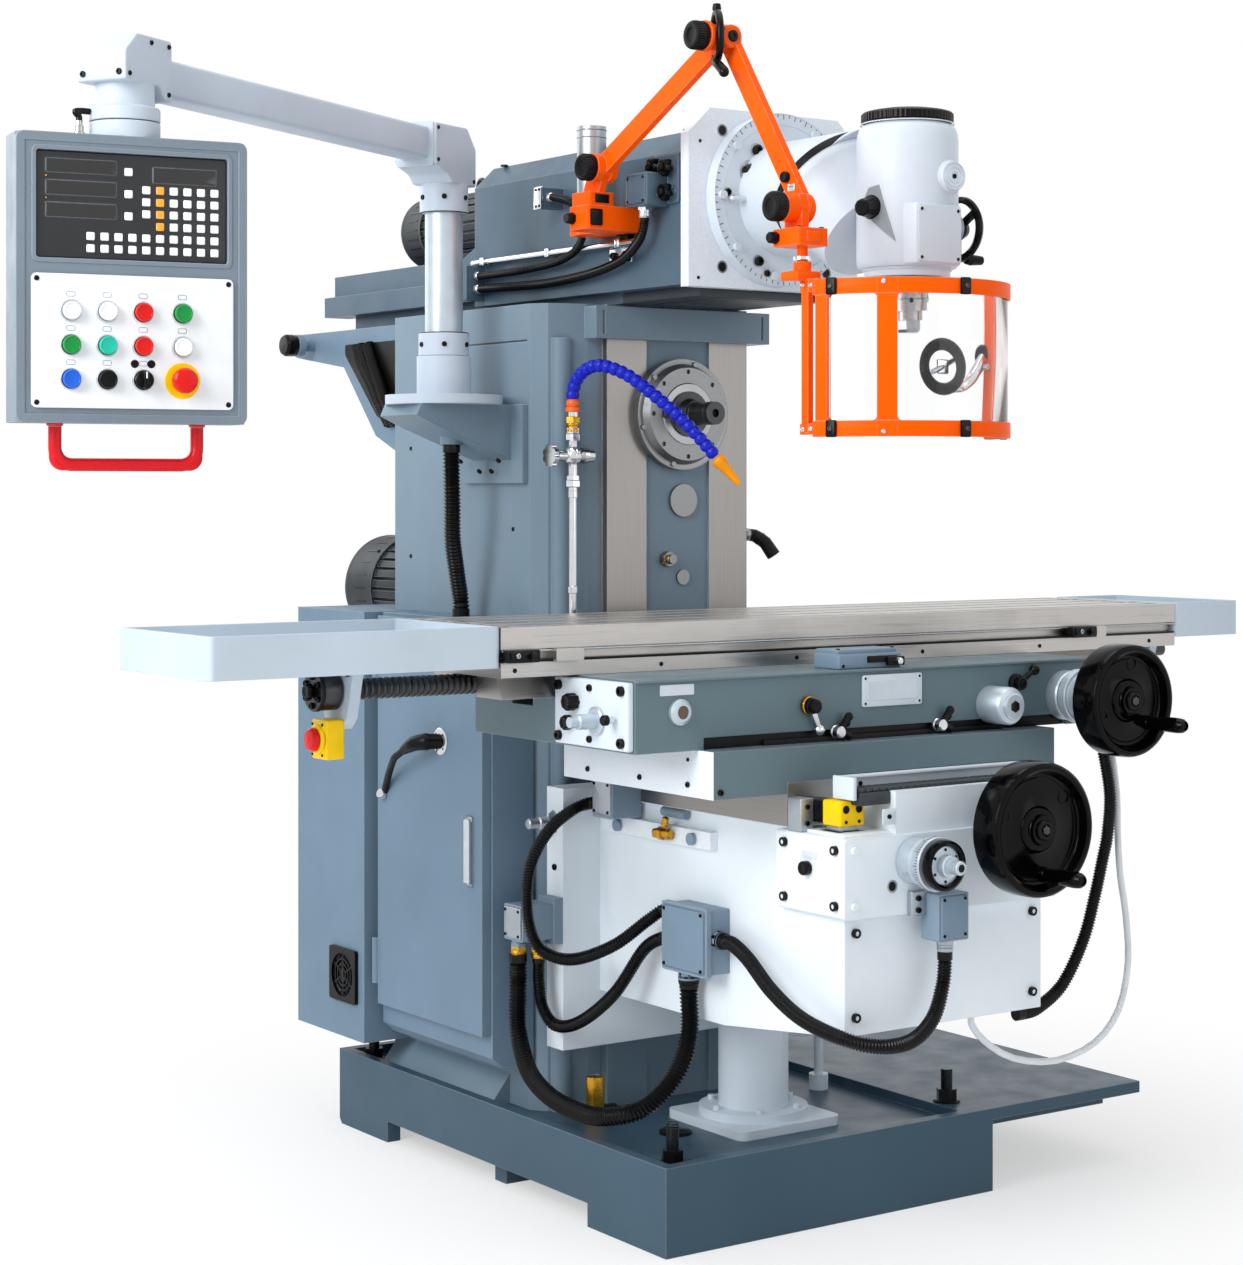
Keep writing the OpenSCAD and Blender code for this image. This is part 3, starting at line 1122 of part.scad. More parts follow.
guard_pin = [arm_x, -835];
guard_c = [arm_x + guard_r, -830];
guard_z = [1660 - guard_h, 1660];
guard_arc = 155;

// A band of the guard: a wall round its centre from angle a0 to a1
module arc_wall(r0, r1, z, a0, a1) translate([guard_c[0], guard_c[1], z[0]])
  rotate(a0) rotate_extrude(angle = a1 - a0, $fn = 96) translate([r0, 0]) square([r1 - r0, z[1] - z[0]]);
pane_t = 3;
module guard_frame() color("#f4581a") {
  a0 = 180;
  a1 = 180 + guard_arc;
  r = guard_r;
  difference() {
    union() {
      arc_wall(r - 6, r + 6, [guard_z[1] - 26, guard_z[1]], a0, a1);
      arc_wall(r - 6, r + 6, [guard_z[0], guard_z[0] + 26], a0, a1);
      for (a = [a0, a0 + 62, a1 - 6]) arc_wall(r - 5, r + 5, guard_z, a, a + 6);
      round_box([arm_x - 26, arm_x + 26], [guard_c[1] - 24, guard_c[1] + 22], [guard_z[1], guard_z[1] + 15],
        5);
    }
    bar_z(guard_pin[0], guard_pin[1], [guard_z[1] - 1, guard_z[1] + 20], 9 + run_gap);
    arc_wall(r - pane_t / 2 - 0.2, r + pane_t / 2 + 0.2, [guard_z[0] + 7.8, guard_z[1] - 7.8], a0 + 0.9,
      a1 - 0.9);
  }
}
module guard_panes() color("#dfe8ee", 0.4)
  arc_wall(guard_r - pane_t / 2, guard_r + pane_t / 2, [guard_z[0] + 8, guard_z[1] - 8], 181,
    179 + guard_arc);

// Post and arm of the pendant: turned post, corner casting, square arm and elbow rings
reach_dir = [-0.868, -0.497];
elbow = [post[0] + pendant_reach * reach_dir[0], post[1] + pendant_reach * reach_dir[1]];
arm_z = 1965;
module pendant_arm() color("#aab4bb") {
  bar_z(post[0], post[1], [pendant_pivot_z + gap, pendant_pivot_z + 44], 48);
  bar_z(post[0], post[1], [pendant_pivot_z + 40, 1850], post_r);
  bar_z(post[0], post[1], [1844, 1900], 46);
  translate([post[0], post[1], 0]) rotate(180 + atan2(-reach_dir[1], -reach_dir[0])) {
    round_box([-48, 60], [-44, 44], [1894, 2004], 10);
    box([50, pendant_reach - 52], [-30, 30], [arm_z - 30, arm_z + 30]);
    box([50, 110], [-38, 38], [arm_z - 42, arm_z + 38]);
  }
  translate([elbow[0], elbow[1], 0]) rotate(180 + atan2(-reach_dir[1], -reach_dir[0]))
    front_profile([-46, 46], [[-60, 1936], [-60, 2052], [-30, 2072], [44, 2072], [60, 2040], [60, 1936]]);
  bar_z(elbow[0], elbow[1], [1906, 1937], 44);
  bar_z(elbow[0], elbow[1], [1886 + gap, 1906], 46);
}

// Control panel box, square to its own face, with bezel, recess and grip bar
panel_turn = 9;
panel_z = [1858 - panel_h, 1858];
face_y = -52;
grip_half = 112;
module at_panel() translate([elbow[0], elbow[1], 0]) rotate(-panel_turn) children();
button_r = 14;
button_pitch = [56, 52];
button_low = [-98, panel_z[0] + 66];
module control_panel() color("#5c6670") at_panel() {
  difference() {
    union() {
      round_box([-panel_w / 2, panel_w / 2], [face_y, face_y + panel_d], panel_z, 12);
      round_box_y([-panel_w / 2 + 22, panel_w / 2 - 22], [face_y - 3, face_y], [panel_z[0] + 22,
        panel_z[0] + 226], 8);
    }
    round_box_y([-panel_w / 2 + 30, panel_w / 2 - 30], [face_y - 1, face_y + 8], [panel_z[1] - 190,
      panel_z[1] - 26], 6);
    for (c = [0 : 3], r = [0 : 2]) if (!(c == 3 && r == 0)) bar_y(button_x(c), [face_y - 4, face_y + 24],
      button_z(r), 10 + gap);
    bar_y(button_x(3), [face_y - 4, face_y + 30], button_z(0), 10 + gap);
  }
  for (r = [0 : 3], c = [0 : 8]) round_box_y([-110 + c * 26, -92 + c * 26], [face_y + 4, face_y + 8],
    [panel_z[1] - 176 + r * 24, panel_z[1] - 160 + r * 24], 3);
  bar_z(0, 0, [panel_z[1] - 1, 1886], 40);
  translate([0, 0, panel_z[0]]) for (s = [-1, 1]) {
    bar_z(s * grip_half, face_y + 40, [-52, 1], 9);
    translate([s * (grip_half - 12), face_y + 40, -52]) rotate([90, 0, 0]) rotate(s > 0 ? -90 : 180)
      rotate_extrude(angle = 90) translate([12, 0]) circle(9);
  }
  bar_x([12 - grip_half, grip_half - 12], face_y + 40, panel_z[0] - 64, 9);
}
function button_x(c) = button_low[0] + c * button_pitch[0] + (c == 3 ? 6 : 0);
function button_z(r) = button_low[1] + r * button_pitch[1];

// Round push buttons that stand out of the panel, each with its stem
module push_button(c, r, cap_r) {
  bar_y(button_x(c), [face_y - 3 - 14, face_y - 3 - 5], button_z(r), cap_r);
  bar_y(button_x(c), [face_y - 8, face_y + 14], button_z(r), 10);
}
module top_button_row() color("#d9dcde") at_panel() for (c = [0 : 3]) push_button(c, 2, button_r);
module middle_button_row() color("#d9dcde") at_panel() for (c = [0 : 3]) push_button(c, 1, button_r);
module low_button_row() color("#2f62b0") at_panel() for (c = [0 : 1]) push_button(c, 0, button_r);
module panel_stop_button() color("#d3202a") at_panel() {
  push_button(3, 0, 20);
}
module panel_selector() color("#17191b") at_panel() {
  push_button(2, 0, button_r);
  box([button_x(2) - 3, button_x(2) + 3], [face_y - 26, face_y - 16], [button_z(0) - 12, button_z(0) + 12]);
}

base_casting();
levelling_bolts();
column_casting();
lift_pedestal();
spindle_flange();
electrical_cabinet();
cabinet_equipment();
main_motor();
column_fittings();
coolant_pipe();
rear_duct();
pendant_bracket();
pendant_conduit();
cabinet_door();
door_latch();
horizontal_spindle();
drive_shaft();
coolant_hose();
coolant_knob();
knee_casting();
elevating_screw();
knee_fittings();
knee_conduits();
saddle_hoses();
elevation_crank();
cross_handwheel();
cross_handle();
saddle_block();
table_support();
support_fittings();
clamp_lever();
left_lock_lever();
right_lock_lever();
feed_lever();
table_handwheel();
table_handle();
table();
end_trays();
lead_screw();
table_stop_button();
ram_housing();
ram_motor();
ram_conduits();
swivel_knuckle();
vertical_head();
vertical_spindle();
quill_handwheel();
guard_base();
guard_link_low();
guard_link_high();
guard_wrist();
guard_frame();
guard_panes();
pendant_arm();
control_panel();
top_button_row();
middle_button_row();
low_button_row();
panel_stop_button();
panel_selector();
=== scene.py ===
"""Universal milling machine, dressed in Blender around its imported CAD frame.

Every piece is worked out in millimetres as whole numpy arrays, put into a mesh in metres in
the shared frame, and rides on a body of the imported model.
"""

from __future__ import annotations

import json
import logging
import math
from collections.abc import Sequence
from dataclasses import dataclass
from enum import Enum
from functools import partial
from itertools import product

import bpy
import numpy as np
from mathutils import Matrix

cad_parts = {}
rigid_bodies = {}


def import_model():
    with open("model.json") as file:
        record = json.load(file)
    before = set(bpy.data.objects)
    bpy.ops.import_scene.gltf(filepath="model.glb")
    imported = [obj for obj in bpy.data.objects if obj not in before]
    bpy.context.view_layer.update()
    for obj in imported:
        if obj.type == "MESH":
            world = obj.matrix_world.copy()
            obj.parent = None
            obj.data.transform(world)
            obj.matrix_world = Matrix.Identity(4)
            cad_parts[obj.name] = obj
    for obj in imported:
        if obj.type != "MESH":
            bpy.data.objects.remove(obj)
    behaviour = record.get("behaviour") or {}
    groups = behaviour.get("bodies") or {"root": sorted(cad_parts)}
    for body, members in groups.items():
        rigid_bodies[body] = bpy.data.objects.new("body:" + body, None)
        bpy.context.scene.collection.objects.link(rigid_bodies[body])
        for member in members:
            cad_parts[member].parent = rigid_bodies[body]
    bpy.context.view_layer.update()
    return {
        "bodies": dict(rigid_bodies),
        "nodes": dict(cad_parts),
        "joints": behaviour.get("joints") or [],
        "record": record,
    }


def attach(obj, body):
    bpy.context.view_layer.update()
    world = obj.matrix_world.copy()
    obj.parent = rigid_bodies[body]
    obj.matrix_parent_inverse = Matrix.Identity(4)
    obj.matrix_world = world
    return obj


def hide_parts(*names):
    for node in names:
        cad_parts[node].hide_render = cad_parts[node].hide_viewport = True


LOG = logging.getLogger("milling_machine")
MM = 0.001
X, Y, Z = np.eye(3)
Vec = Sequence[float]
Grid = np.ndarray


# Forms: closed surfaces as functions of two parameters

def unit(vector: Vec) -> Grid:
    """Return the vector divided by its length."""
    array = np.asarray(vector, float)
    return array / np.linalg.norm(array)


def compass(degrees: float) -> Grid:
    """Return the level direction (cos a, sin a, 0)."""
    return np.array([math.cos(math.radians(degrees)), math.sin(math.radians(degrees)), 0])


def triad(along: Vec) -> tuple[Grid, Grid, Grid]:
    """Return an axis w as a unit, a direction square to it and w x that direction.

    Args:
        along: The axis, of any length.

    Returns:
        The three directions, each a unit.
    """
    w = unit(along)
    first = unit(np.cross(w, Y if abs(w @ Y) < 0.9 else X))
    return w, first, np.cross(w, first)


def around(at: Vec, along: Vec, radius: float, degrees: float) -> Grid:
    """Return a point on a circle about an axis: at + r (cos a * first + sin a * second).

    Args:
        at: Middle of the circle.
        along: Its axis.
        radius: Its radius.
        degrees: Angle from the axis's first direction.

    Returns:
        The point.
    """
    _, first, second = triad(along)
    turn = math.radians(degrees)
    return np.asarray(at, float) + radius * (math.cos(turn) * first + math.sin(turn) * second)


def rounded(lo: Vec, hi: Vec, radius: float, steps: int = 4) -> Grid:
    """Outline of a rectangle with round corners, anticlockwise.

    Each corner is a quarter circle: centre + radius * (cos a, sin a), a over 90 degrees.

    Args:
        lo: Lowest corner, in two numbers.
        hi: Highest corner, in two numbers.
        radius: Radius of the corners.
        steps: Points after the first on each corner.

    Returns:
        The outline's points, one a row.
    """
    angle = np.linspace(0, math.pi / 2, steps + 1)
    quarter = np.stack([np.cos(angle), np.sin(angle)], 1) * radius
    turn = np.array([[0, 1], [-1, 0]])
    centres = [(hi[0] - radius, hi[1] - radius), (lo[0] + radius, hi[1] - radius),
               (lo[0] + radius, lo[1] + radius), (hi[0] - radius, lo[1] + radius)]
    return np.concatenate([np.array(c) + quarter @ np.linalg.matrix_power(turn, k)
                           for k, c in enumerate(centres)])


def eased(corners: Sequence[Vec], radius: float) -> Grid:
    """Outline with its corners rounded: a curve (1-t)^2 a + 2t(1-t) c + t^2 b at each corner c.

    Args:
        corners: Anticlockwise corners, in two numbers.
        radius: How far from a corner its curve starts and ends.

    Returns:
        The outline's points, one a row.
    """
    points = np.array(corners, float)
    rows = []
    for before, here, after in zip(np.roll(points, 1, 0), points, np.roll(points, -1, 0)):
        start, end = here + unit(before - here) * radius, here + unit(after - here) * radius
        rows += [(1 - t) ** 2 * start + 2 * t * (1 - t) * here + t * t * end
                 for t in (0.0, 0.25, 0.5, 0.75, 1.0)]
    return np.array(rows)


def inset(outline: Grid, amount: float) -> Grid:
    """Move every side of an outline inwards.

    A corner moves along the sum of its two sides' normals over 1 + their dot product.

    Args:
        outline: Anticlockwise points in two numbers.
        amount: How far each side moves.

    Returns:
        The moved points, as many as before.
    """
    side = np.roll(outline, -1, 0) - outline
    side /= np.linalg.norm(side, axis=1, keepdims=True)
    normal = np.stack([-side[:, 1], side[:, 0]], 1)
    before = np.roll(normal, 1, 0)
    share = 1 + np.sum(normal * before, 1, keepdims=True)
    return outline + amount * (normal + before) / np.maximum(share, 0.3)


def smooth_path(points: Sequence[Vec], steps: int) -> Grid:
    """Catmull-Rom curve through the points, straight in its first and last span.

    In a span from b to c with neighbours a and d, at t from 0 to 1:
    half of 2b + (c-a)t + (2a-5b+4c-d)t^2 + (3b-a-3c+d)t^3.

    Args:
        points: Points of the route.
        steps: Samples in each span.

    Returns:
        The samples, one a row.
    """
    p = np.asarray(points, float)
    last = len(p) - 1
    i, t = np.meshgrid(np.arange(last), np.arange(steps) / steps, indexing="ij")
    i, t = i.ravel(), t.ravel()[:, None]
    a, b, c, d = p[np.maximum(i - 1, 0)], p[i], p[i + 1], p[np.minimum(i + 2, last)]
    curve = 0.5 * (2 * b + (c - a) * t + (2 * a - 5 * b + 4 * c - d) * t ** 2
                   + (3 * b - a - 3 * c + d) * t ** 3)
    straight = ((i == 0) | (i == last - 1))[:, None]
    return np.vstack([np.where(straight, b + (c - b) * t, curve), p[-1:]])


def path_length(path: Grid) -> float:
    """Return the sum of the lengths of a path's segments."""
    return float(np.linalg.norm(np.diff(path, axis=0), axis=1).sum())


def resampled(path: Grid, spacing: float) -> Grid:
    """Take points of a path at equal arc length.

    Args:
        path: Points of the path.
        spacing: About how far apart the new points lie.

    Returns:
        The new points, one a row, with the first and the last kept.
    """
    run = np.concatenate([[0], np.cumsum(np.linalg.norm(np.diff(path, axis=0), axis=1))])
    count = max(2, round(run[-1] / spacing) + 1)
    at = np.linspace(0, run[-1], count)
    return np.stack([np.interp(at, run, path[:, k]) for k in range(3)], 1)


def carried_frames(path: Grid) -> tuple[Grid, Grid]:
    """Two directions square to a path that turn as little as possible along it.

    Each frame is the one before it, less its part along the new tangent, made a unit again.

    Args:
        path: Points of the path.

    Returns:
        The first and second direction at each point.
    """
    tangent = np.gradient(path, axis=0)
    tangent /= np.linalg.norm(tangent, axis=1, keepdims=True)
    start = X if abs(tangent[0] @ X) < 0.8 else Y
    first = np.empty_like(path)
    for k, along in enumerate(tangent):
        start = unit(start - along * (start @ along))
        first[k] = start
    return first, np.cross(tangent, first)


class Form:
    """Closed surfaces in millimetres, gathered for one piece, each face with a finish number."""

    def __init__(self) -> None:
        """Start with nothing."""
        self.points: list[Grid] = []
        self.faces: list[list[int]] = []
        self.finish: list[int] = []
        self.count = 0

    def grid(self, points: Grid, finish: int = 0, loop: bool = False) -> "Form":
        """Take in a surface from a grid of points whose rows are rings.

        Face (i, j) joins points (i, j), (i, j+1), (i+1, j+1) and (i+1, j).

        Args:
            points: Rows by columns by three numbers.
            finish: Which of the piece's finishes it has.
            loop: Whether the last row joins the first, where both are closed by a face if not.

        Returns:
            This form.
        """
        rows, cols = points.shape[:2]
        number = np.arange(rows * cols).reshape(rows, cols) + self.count
        if loop:
            number = np.vstack([number, number[:1]])
        ring = np.hstack([number, number[:, :1]])
        quads = np.stack([ring[:-1, :-1], ring[:-1, 1:], ring[1:, 1:], ring[1:, :-1]], -1)
        faces = quads.reshape(-1, 4).tolist()
        if not loop:
            faces += [number[0, ::-1].tolist(), number[-1].tolist()]
        self.points.append(points.reshape(-1, 3))
        self.faces += faces
        self.finish += [finish] * len(faces)
        self.count += rows * cols
        return self

    def prism(self, outline: Grid, depth: Vec, at: Vec = (0, 0, 0), right: Vec = X, up: Vec = Y,
              bevel: float = 0.0, finish: int = 0) -> "Form":
        """Take in an outline carried along its normal, with round edges at both ends.

        An edge's rings are inset by b(1 - sin a) at b(1 - cos a) from the end, a to 90 degrees.

        Args:
            outline: Anticlockwise points in two numbers.
            depth: Start and end along the normal, right x up.
            at: Where the outline's zero point lies.
            right: Direction of the outline's first number.
            up: Direction of its second number.
            bevel: Radius of the edges.
            finish: Which finish it has.

        Returns:
            This form.
        """
        u, v = unit(right), unit(up)
        angle = np.radians([0, 30, 60, 90]) if bevel else np.zeros(1)
        shrink, height = bevel * (1 - np.sin(angle)), bevel * (1 - np.cos(angle))
        levels = np.concatenate([depth[0] + height, depth[1] - height[::-1]])
        shrinks = np.concatenate([shrink, shrink[::-1]])
        rings = np.stack([inset(outline, s) if s else outline for s in shrinks])
        return self.grid(np.asarray(at, float) + rings[..., :1] * u + rings[..., 1:] * v
                         + levels[:, None, None] * np.cross(u, v), finish)

    def block(self, lo: Vec, hi: Vec, radius: float = 2.0, finish: int = 0, axis: int = 2) -> "Form":
        """Take in a block with round edges.

        Args:
            lo: Lowest corner.
            hi: Highest corner.
            radius: Radius of its corners, and 1.25 times that of its edges.
            finish: Which finish it has.
            axis: Number of the axis that its corners are rounded about.

        Returns:
            This form.
        """
        u, v = (axis + 1) % 3, (axis + 2) % 3
        outline = rounded((lo[u], lo[v]), (hi[u], hi[v]), radius)
        return self.prism(outline, (lo[axis], hi[axis]), (0, 0, 0), np.eye(3)[u], np.eye(3)[v],
                          radius * 0.8, finish)

    def turned(self, profile: Sequence[Vec], at: Vec, along: Vec = Z, finish: int = 0,
               count: int = 48) -> "Form":
        """Take in a profile turned about an axis.

        Point (r, h) becomes at + h * axis + r * (cos a * first + sin a * second).

        Args:
            profile: Radius and height pairs, outwards at the bottom first.
            at: Where the axis starts.
            along: Direction of the axis.
            finish: Which finish it has.
            count: Points round the axis.

        Returns:
            This form.
        """
        w, first, second = triad(along)
        rh = np.asarray(profile, float)
        angle = np.linspace(0, 2 * math.pi, count, endpoint=False)
        round_ = np.cos(angle)[:, None] * first + np.sin(angle)[:, None] * second
        radius = np.maximum(rh[:, 0], 0.01)[:, None, None]
        return self.grid(np.asarray(at, float) + rh[:, 1][:, None, None] * w + radius * round_, finish)

    def tube(self, path: Sequence[Vec], radius: float | Grid, sides: int = 16, finish: int = 0) -> "Form":
        """Take in a circle carried along a path: point + r * (cos a * first + sin a * second).

        Args:
            path: Points of the path.
            radius: One radius, or one for each point.
            sides: Points round the circle.
            finish: Which finish it has.

        Returns:
            This form.
        """
        path = np.asarray(path, float)
        first, second = carried_frames(path)
        angle = np.linspace(0, 2 * math.pi, sides, endpoint=False)
        size = np.broadcast_to(np.asarray(radius, float), len(path))[:, None, None]
        return self.grid(path[:, None] + size * (np.cos(angle)[None, :, None] * first[:, None]
                                                 + np.sin(angle)[None, :, None] * second[:, None]),
                         finish)

    def torus(self, at: Vec, along: Vec, big: float, small: float, finish: int = 0,
              count: int = 48, sides: int = 12) -> "Form":
        """Take in a ring: a small circle turned about an axis at the big radius.

        Args:
            at: Its centre.
            along: Direction of its axis.
            big: Radius of the circle's middle line.
            small: Radius of its section.
            finish: Which finish it has.
            count: Points round the axis.
            sides: Points round the section.

        Returns:
            This form.
        """
        angle = np.linspace(0, 2 * math.pi, sides, endpoint=False)
        w, first, second = triad(along)
        turn = np.linspace(0, 2 * math.pi, count, endpoint=False)
        out = np.cos(turn)[:, None] * first + np.sin(turn)[:, None] * second
        world = (np.asarray(at, float) + (big + small * np.cos(angle))[None, :, None] * out[:, None]
                 + (small * np.sin(angle))[None, :, None] * w)
        return self.grid(world[:, ::-1], finish, loop=True)

    def ball(self, at: Vec, radius: float, finish: int = 0, count: int = 24) -> "Form":
        """Take in a sphere: a half circle turned about its own axis."""
        angle = np.radians(np.linspace(-90, 90, count // 2 + 1))
        return self.turned(np.stack([np.cos(angle), np.sin(angle)], 1) * radius, at, Z, finish, count)

    def cap_screw(self, at: Vec, along: Vec, radius: float, finish: int = 0,
                  height: float | None = None) -> "Form":
        """Take in a socket screw's head with its hexagon recess, seated at a point.

        Args:
            at: Middle of its seat.
            along: Direction that it stands in.
            radius: Radius of the head.
            finish: Which finish it has.
            height: Height of the head, 0.9 of its radius where none is given.

        Returns:
            This form.
        """
        h = radius * 0.9 if height is None else height
        return self.turned([(radius, -0.5), (radius, h - 0.8), (radius - 0.8, h), (radius * 0.52, h),
                            (radius * 0.5, h - 0.3), (radius * 0.5, h * 0.35), (0, h * 0.35)],
                           at, along, finish, 24)

    def cap_screws(self, x: float | Vec, y: float | Vec, z: float | Vec, *head: object) -> "Form":
        """Take in a cap screw at every combination of the given x, y and z, with the same head."""
        for at in product(*map(np.atleast_1d, (x, y, z))):
            self.cap_screw(at, *head)
        return self

    def moved(self, matrix: Grid) -> "Form":
        """Move all that was taken in by a 4 x 4 matrix."""
        self.points = [points @ matrix[:3, :3].T + matrix[:3, 3] for points in self.points]
        return self

    def build(self, name: str, finishes: Sequence["Finish"], body: str, slot: str,
              replaces: Sequence[str] = (), crease: float = 32.0) -> bpy.types.Object:
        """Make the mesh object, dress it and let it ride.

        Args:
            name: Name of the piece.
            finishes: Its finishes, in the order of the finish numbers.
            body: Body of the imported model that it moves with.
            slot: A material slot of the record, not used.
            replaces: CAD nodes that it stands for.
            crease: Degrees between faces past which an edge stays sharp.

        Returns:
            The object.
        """
        mesh = bpy.data.meshes.new(name)
        mesh.from_pydata((np.vstack(self.points) * MM).tolist(), [], self.faces)
        for finish in finishes:
            mesh.materials.append(finish.material())
        mesh.polygons.foreach_set("material_index", self.finish)
        mesh.shade_smooth()
        mesh.set_sharp_from_angle(angle=math.radians(crease))
        mesh.validate()
        piece = bpy.data.objects.new(name, mesh)
        bpy.context.scene.collection.objects.link(piece)
        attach(piece, body)
        if replaces:
            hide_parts(*replaces)
        LOG.info("piece %s: %d faces on %s", name, len(self.faces), body)
        return piece


def grip_knob(form: Form, at: Vec, along: Vec, radius: float, height: float, lobes: int = 24,
              depth: float = 0.06, finish: int = 0) -> None:
    """Take in a moulded knob, its rim waved: radius * (1 - depth * (1 - cos(lobes * a)) / 2).

    Args:
        form: The piece that takes it in.
        at: Centre of its seat.
        along: Direction that it stands in.
        radius: Outer radius.
        height: Its height.
        lobes: Waves round the rim, none for a plain knob.
        depth: Depth of a wave as a share of the radius.
        finish: Which of the piece's finishes it has.
    """
    w, first, second = triad(along)
    angle = np.linspace(0, 2 * math.pi, max(48, 6 * lobes), endpoint=False)
    wave = 1 - depth * (1 - np.cos(lobes * angle)) / 2
    profile = [(0.82, 0.0), (0.95, 0.04), (1.0, 0.14), (1.0, 0.76), (0.96, 0.9), (0.88, 0.98),
               (0.78, 1.0), (0.5, 0.97), (0.46, 0.9), (0.01, 0.88)]
    rings = []
    for share, level in profile:
        size = radius * share * (wave if share > 0.8 else 1)
        rings.append(np.asarray(at, float) + height * level * w + (size * np.cos(angle))[:, None] * first
                     + (size * np.sin(angle))[:, None] * second)
    form.grid(np.stack(rings), finish)


def gland(form: Form, at: Vec, along: Vec, radius: float, finish: int = 0) -> None:
    """Take in a cable gland: a hexagon nut, then a domed nut with a groove.

    Args:
        form: The piece that takes it in.
        at: Centre of its seat.
        along: Direction that it stands in.
        radius: Radius over the hexagon's corners.
        finish: Which of the piece's finishes it has.
    """
    form.turned([(radius, 0), (radius, radius * 0.55)], at, along, finish, 6)
    dome = np.array([(0.9, 0.5), (1, 0.6), (1, 0.8), (0.93, 0.84), (0.93, 0.9), (1, 0.94),
                     (0.97, 1.3), (0.78, 1.5), (0.6, 1.5)])
    form.turned(dome * (radius * 0.93, radius), at, along, finish, 32)


def dial_marks(form: Form, at: Vec, radius: float, count: int, rim: float, lengths: Vec,
               half: float) -> None:
    """Take in a dial's marks as slips 0.35 mm proud, from its front rim backwards.

    Args:
        form: The piece that takes them in.
        at: Where the dial's axis starts, along -Y.
        radius: Radius of the dial.
        count: Marks round it.
        rim: How far in front of the start they begin.
        lengths: Length of a mark, and of every fifth one.
        half: Half the width of a mark.
    """
    for k in range(count):
        long = lengths[0] if k % 5 else lengths[1]
        spot = around(at, -Y, radius, 360 / count * k) + (0, long / 2 - rim, 0)
        out = unit(np.array([spot[0] - at[0], 0, spot[2] - at[2]]))
        form.prism(rounded((-long / 2, -half), (long / 2, half), 0.3, 1), (-0.4, 0.35), spot, Y,
                   np.cross(out, Y), 0, 1)


# Finishes: what each surface really is and how it was made

def linear(code: str) -> tuple[float, float, float, float]:
    """Turn an sRGB hex colour to linear red, green, blue and an alpha of 1.

    Args:
        code: The colour as # and six hex figures.

    Returns:
        The four numbers.
    """
    value = np.array([int(code[k:k + 2], 16) for k in (1, 3, 5)]) / 255
    low, high = value / 12.92, ((value + 0.055) / 1.055) ** 2.4
    return (*np.where(value <= 0.04045, low, high).tolist(), 1.0)


def socket(value: bpy.types.Node | bpy.types.NodeSocket) -> bpy.types.NodeSocket:
    """Return a socket as it is, and for a node its first output."""
    return value.outputs[0] if isinstance(value, bpy.types.Node) else value


def add_node(tree: bpy.types.NodeTree, kind: str, links: dict | None = None,
             **settings: object) -> bpy.types.Node:
    """Add a node, set it up and link it.

    Args:
        tree: The material's or world's node tree.
        kind: Blender's name of the node type, after its ShaderNode.
        links: For each input, by name or number, a node or socket to link or a value to set.
        settings: Values of the node's own properties.

    Returns:
        The node.
    """
    made = tree.nodes.new("ShaderNode" + kind)
    for name, value in settings.items():
        setattr(made, name, value)
    for key, value in (links or {}).items():
        if isinstance(value, (bpy.types.Node, bpy.types.NodeSocket)):
            tree.links.new(socket(value), made.inputs[key])
        else:
            made.inputs[key].default_value = value
    return made


class Making(Enum):
    """How a surface was made, which gives its grain."""

    # The paler edges of the sprayed finish are a painted highlight, with some wear.
    SPRAYED = "two-pack enamel sprayed on filled castings: a faint orange peel, paler worn edges"
    GROUND = "ground, scraped or turned metal: fine scratches along the travel or the turning"
    MOULDED = "moulded plastic or rubber: a fine even grain"
    POLISHED = "buffed and plated: smooth, with faint wipe marks"
    CLEAR = "clear polycarbonate: lets light through"


@dataclass(frozen=True)
class Finish:
    """A real material, named for its common name and how its surface was made.

    Its zones are boxes, low and high corner in millimetres, that have another colour: ground
    metal by default, or another enamel where zone_metal is 0.
    """

    name: str
    colour: str
    making: Making
    rough: float = 0.4
    metal: float = 0.0
    coat: float = 0.0
    specular: float = 0.5
    grain: Vec = (1.0, 1.0, 1.0)
    zones: tuple[tuple[Vec, Vec], ...] = ()
    zone_colour: str = "#9b9895"
    zone_metal: float = 1.0

    def material(self) -> bpy.types.Material:
        """Return the material, made once.

        Returns:
            The material, the same one each time.
        """
        made = bpy.data.materials.get(self.name)
        if made is None:
            made = bpy.data.materials.new(self.name)
            made.use_nodes = True
            Layout(self, made.node_tree).dress()
            made.diffuse_color = linear(self.colour)
        return made


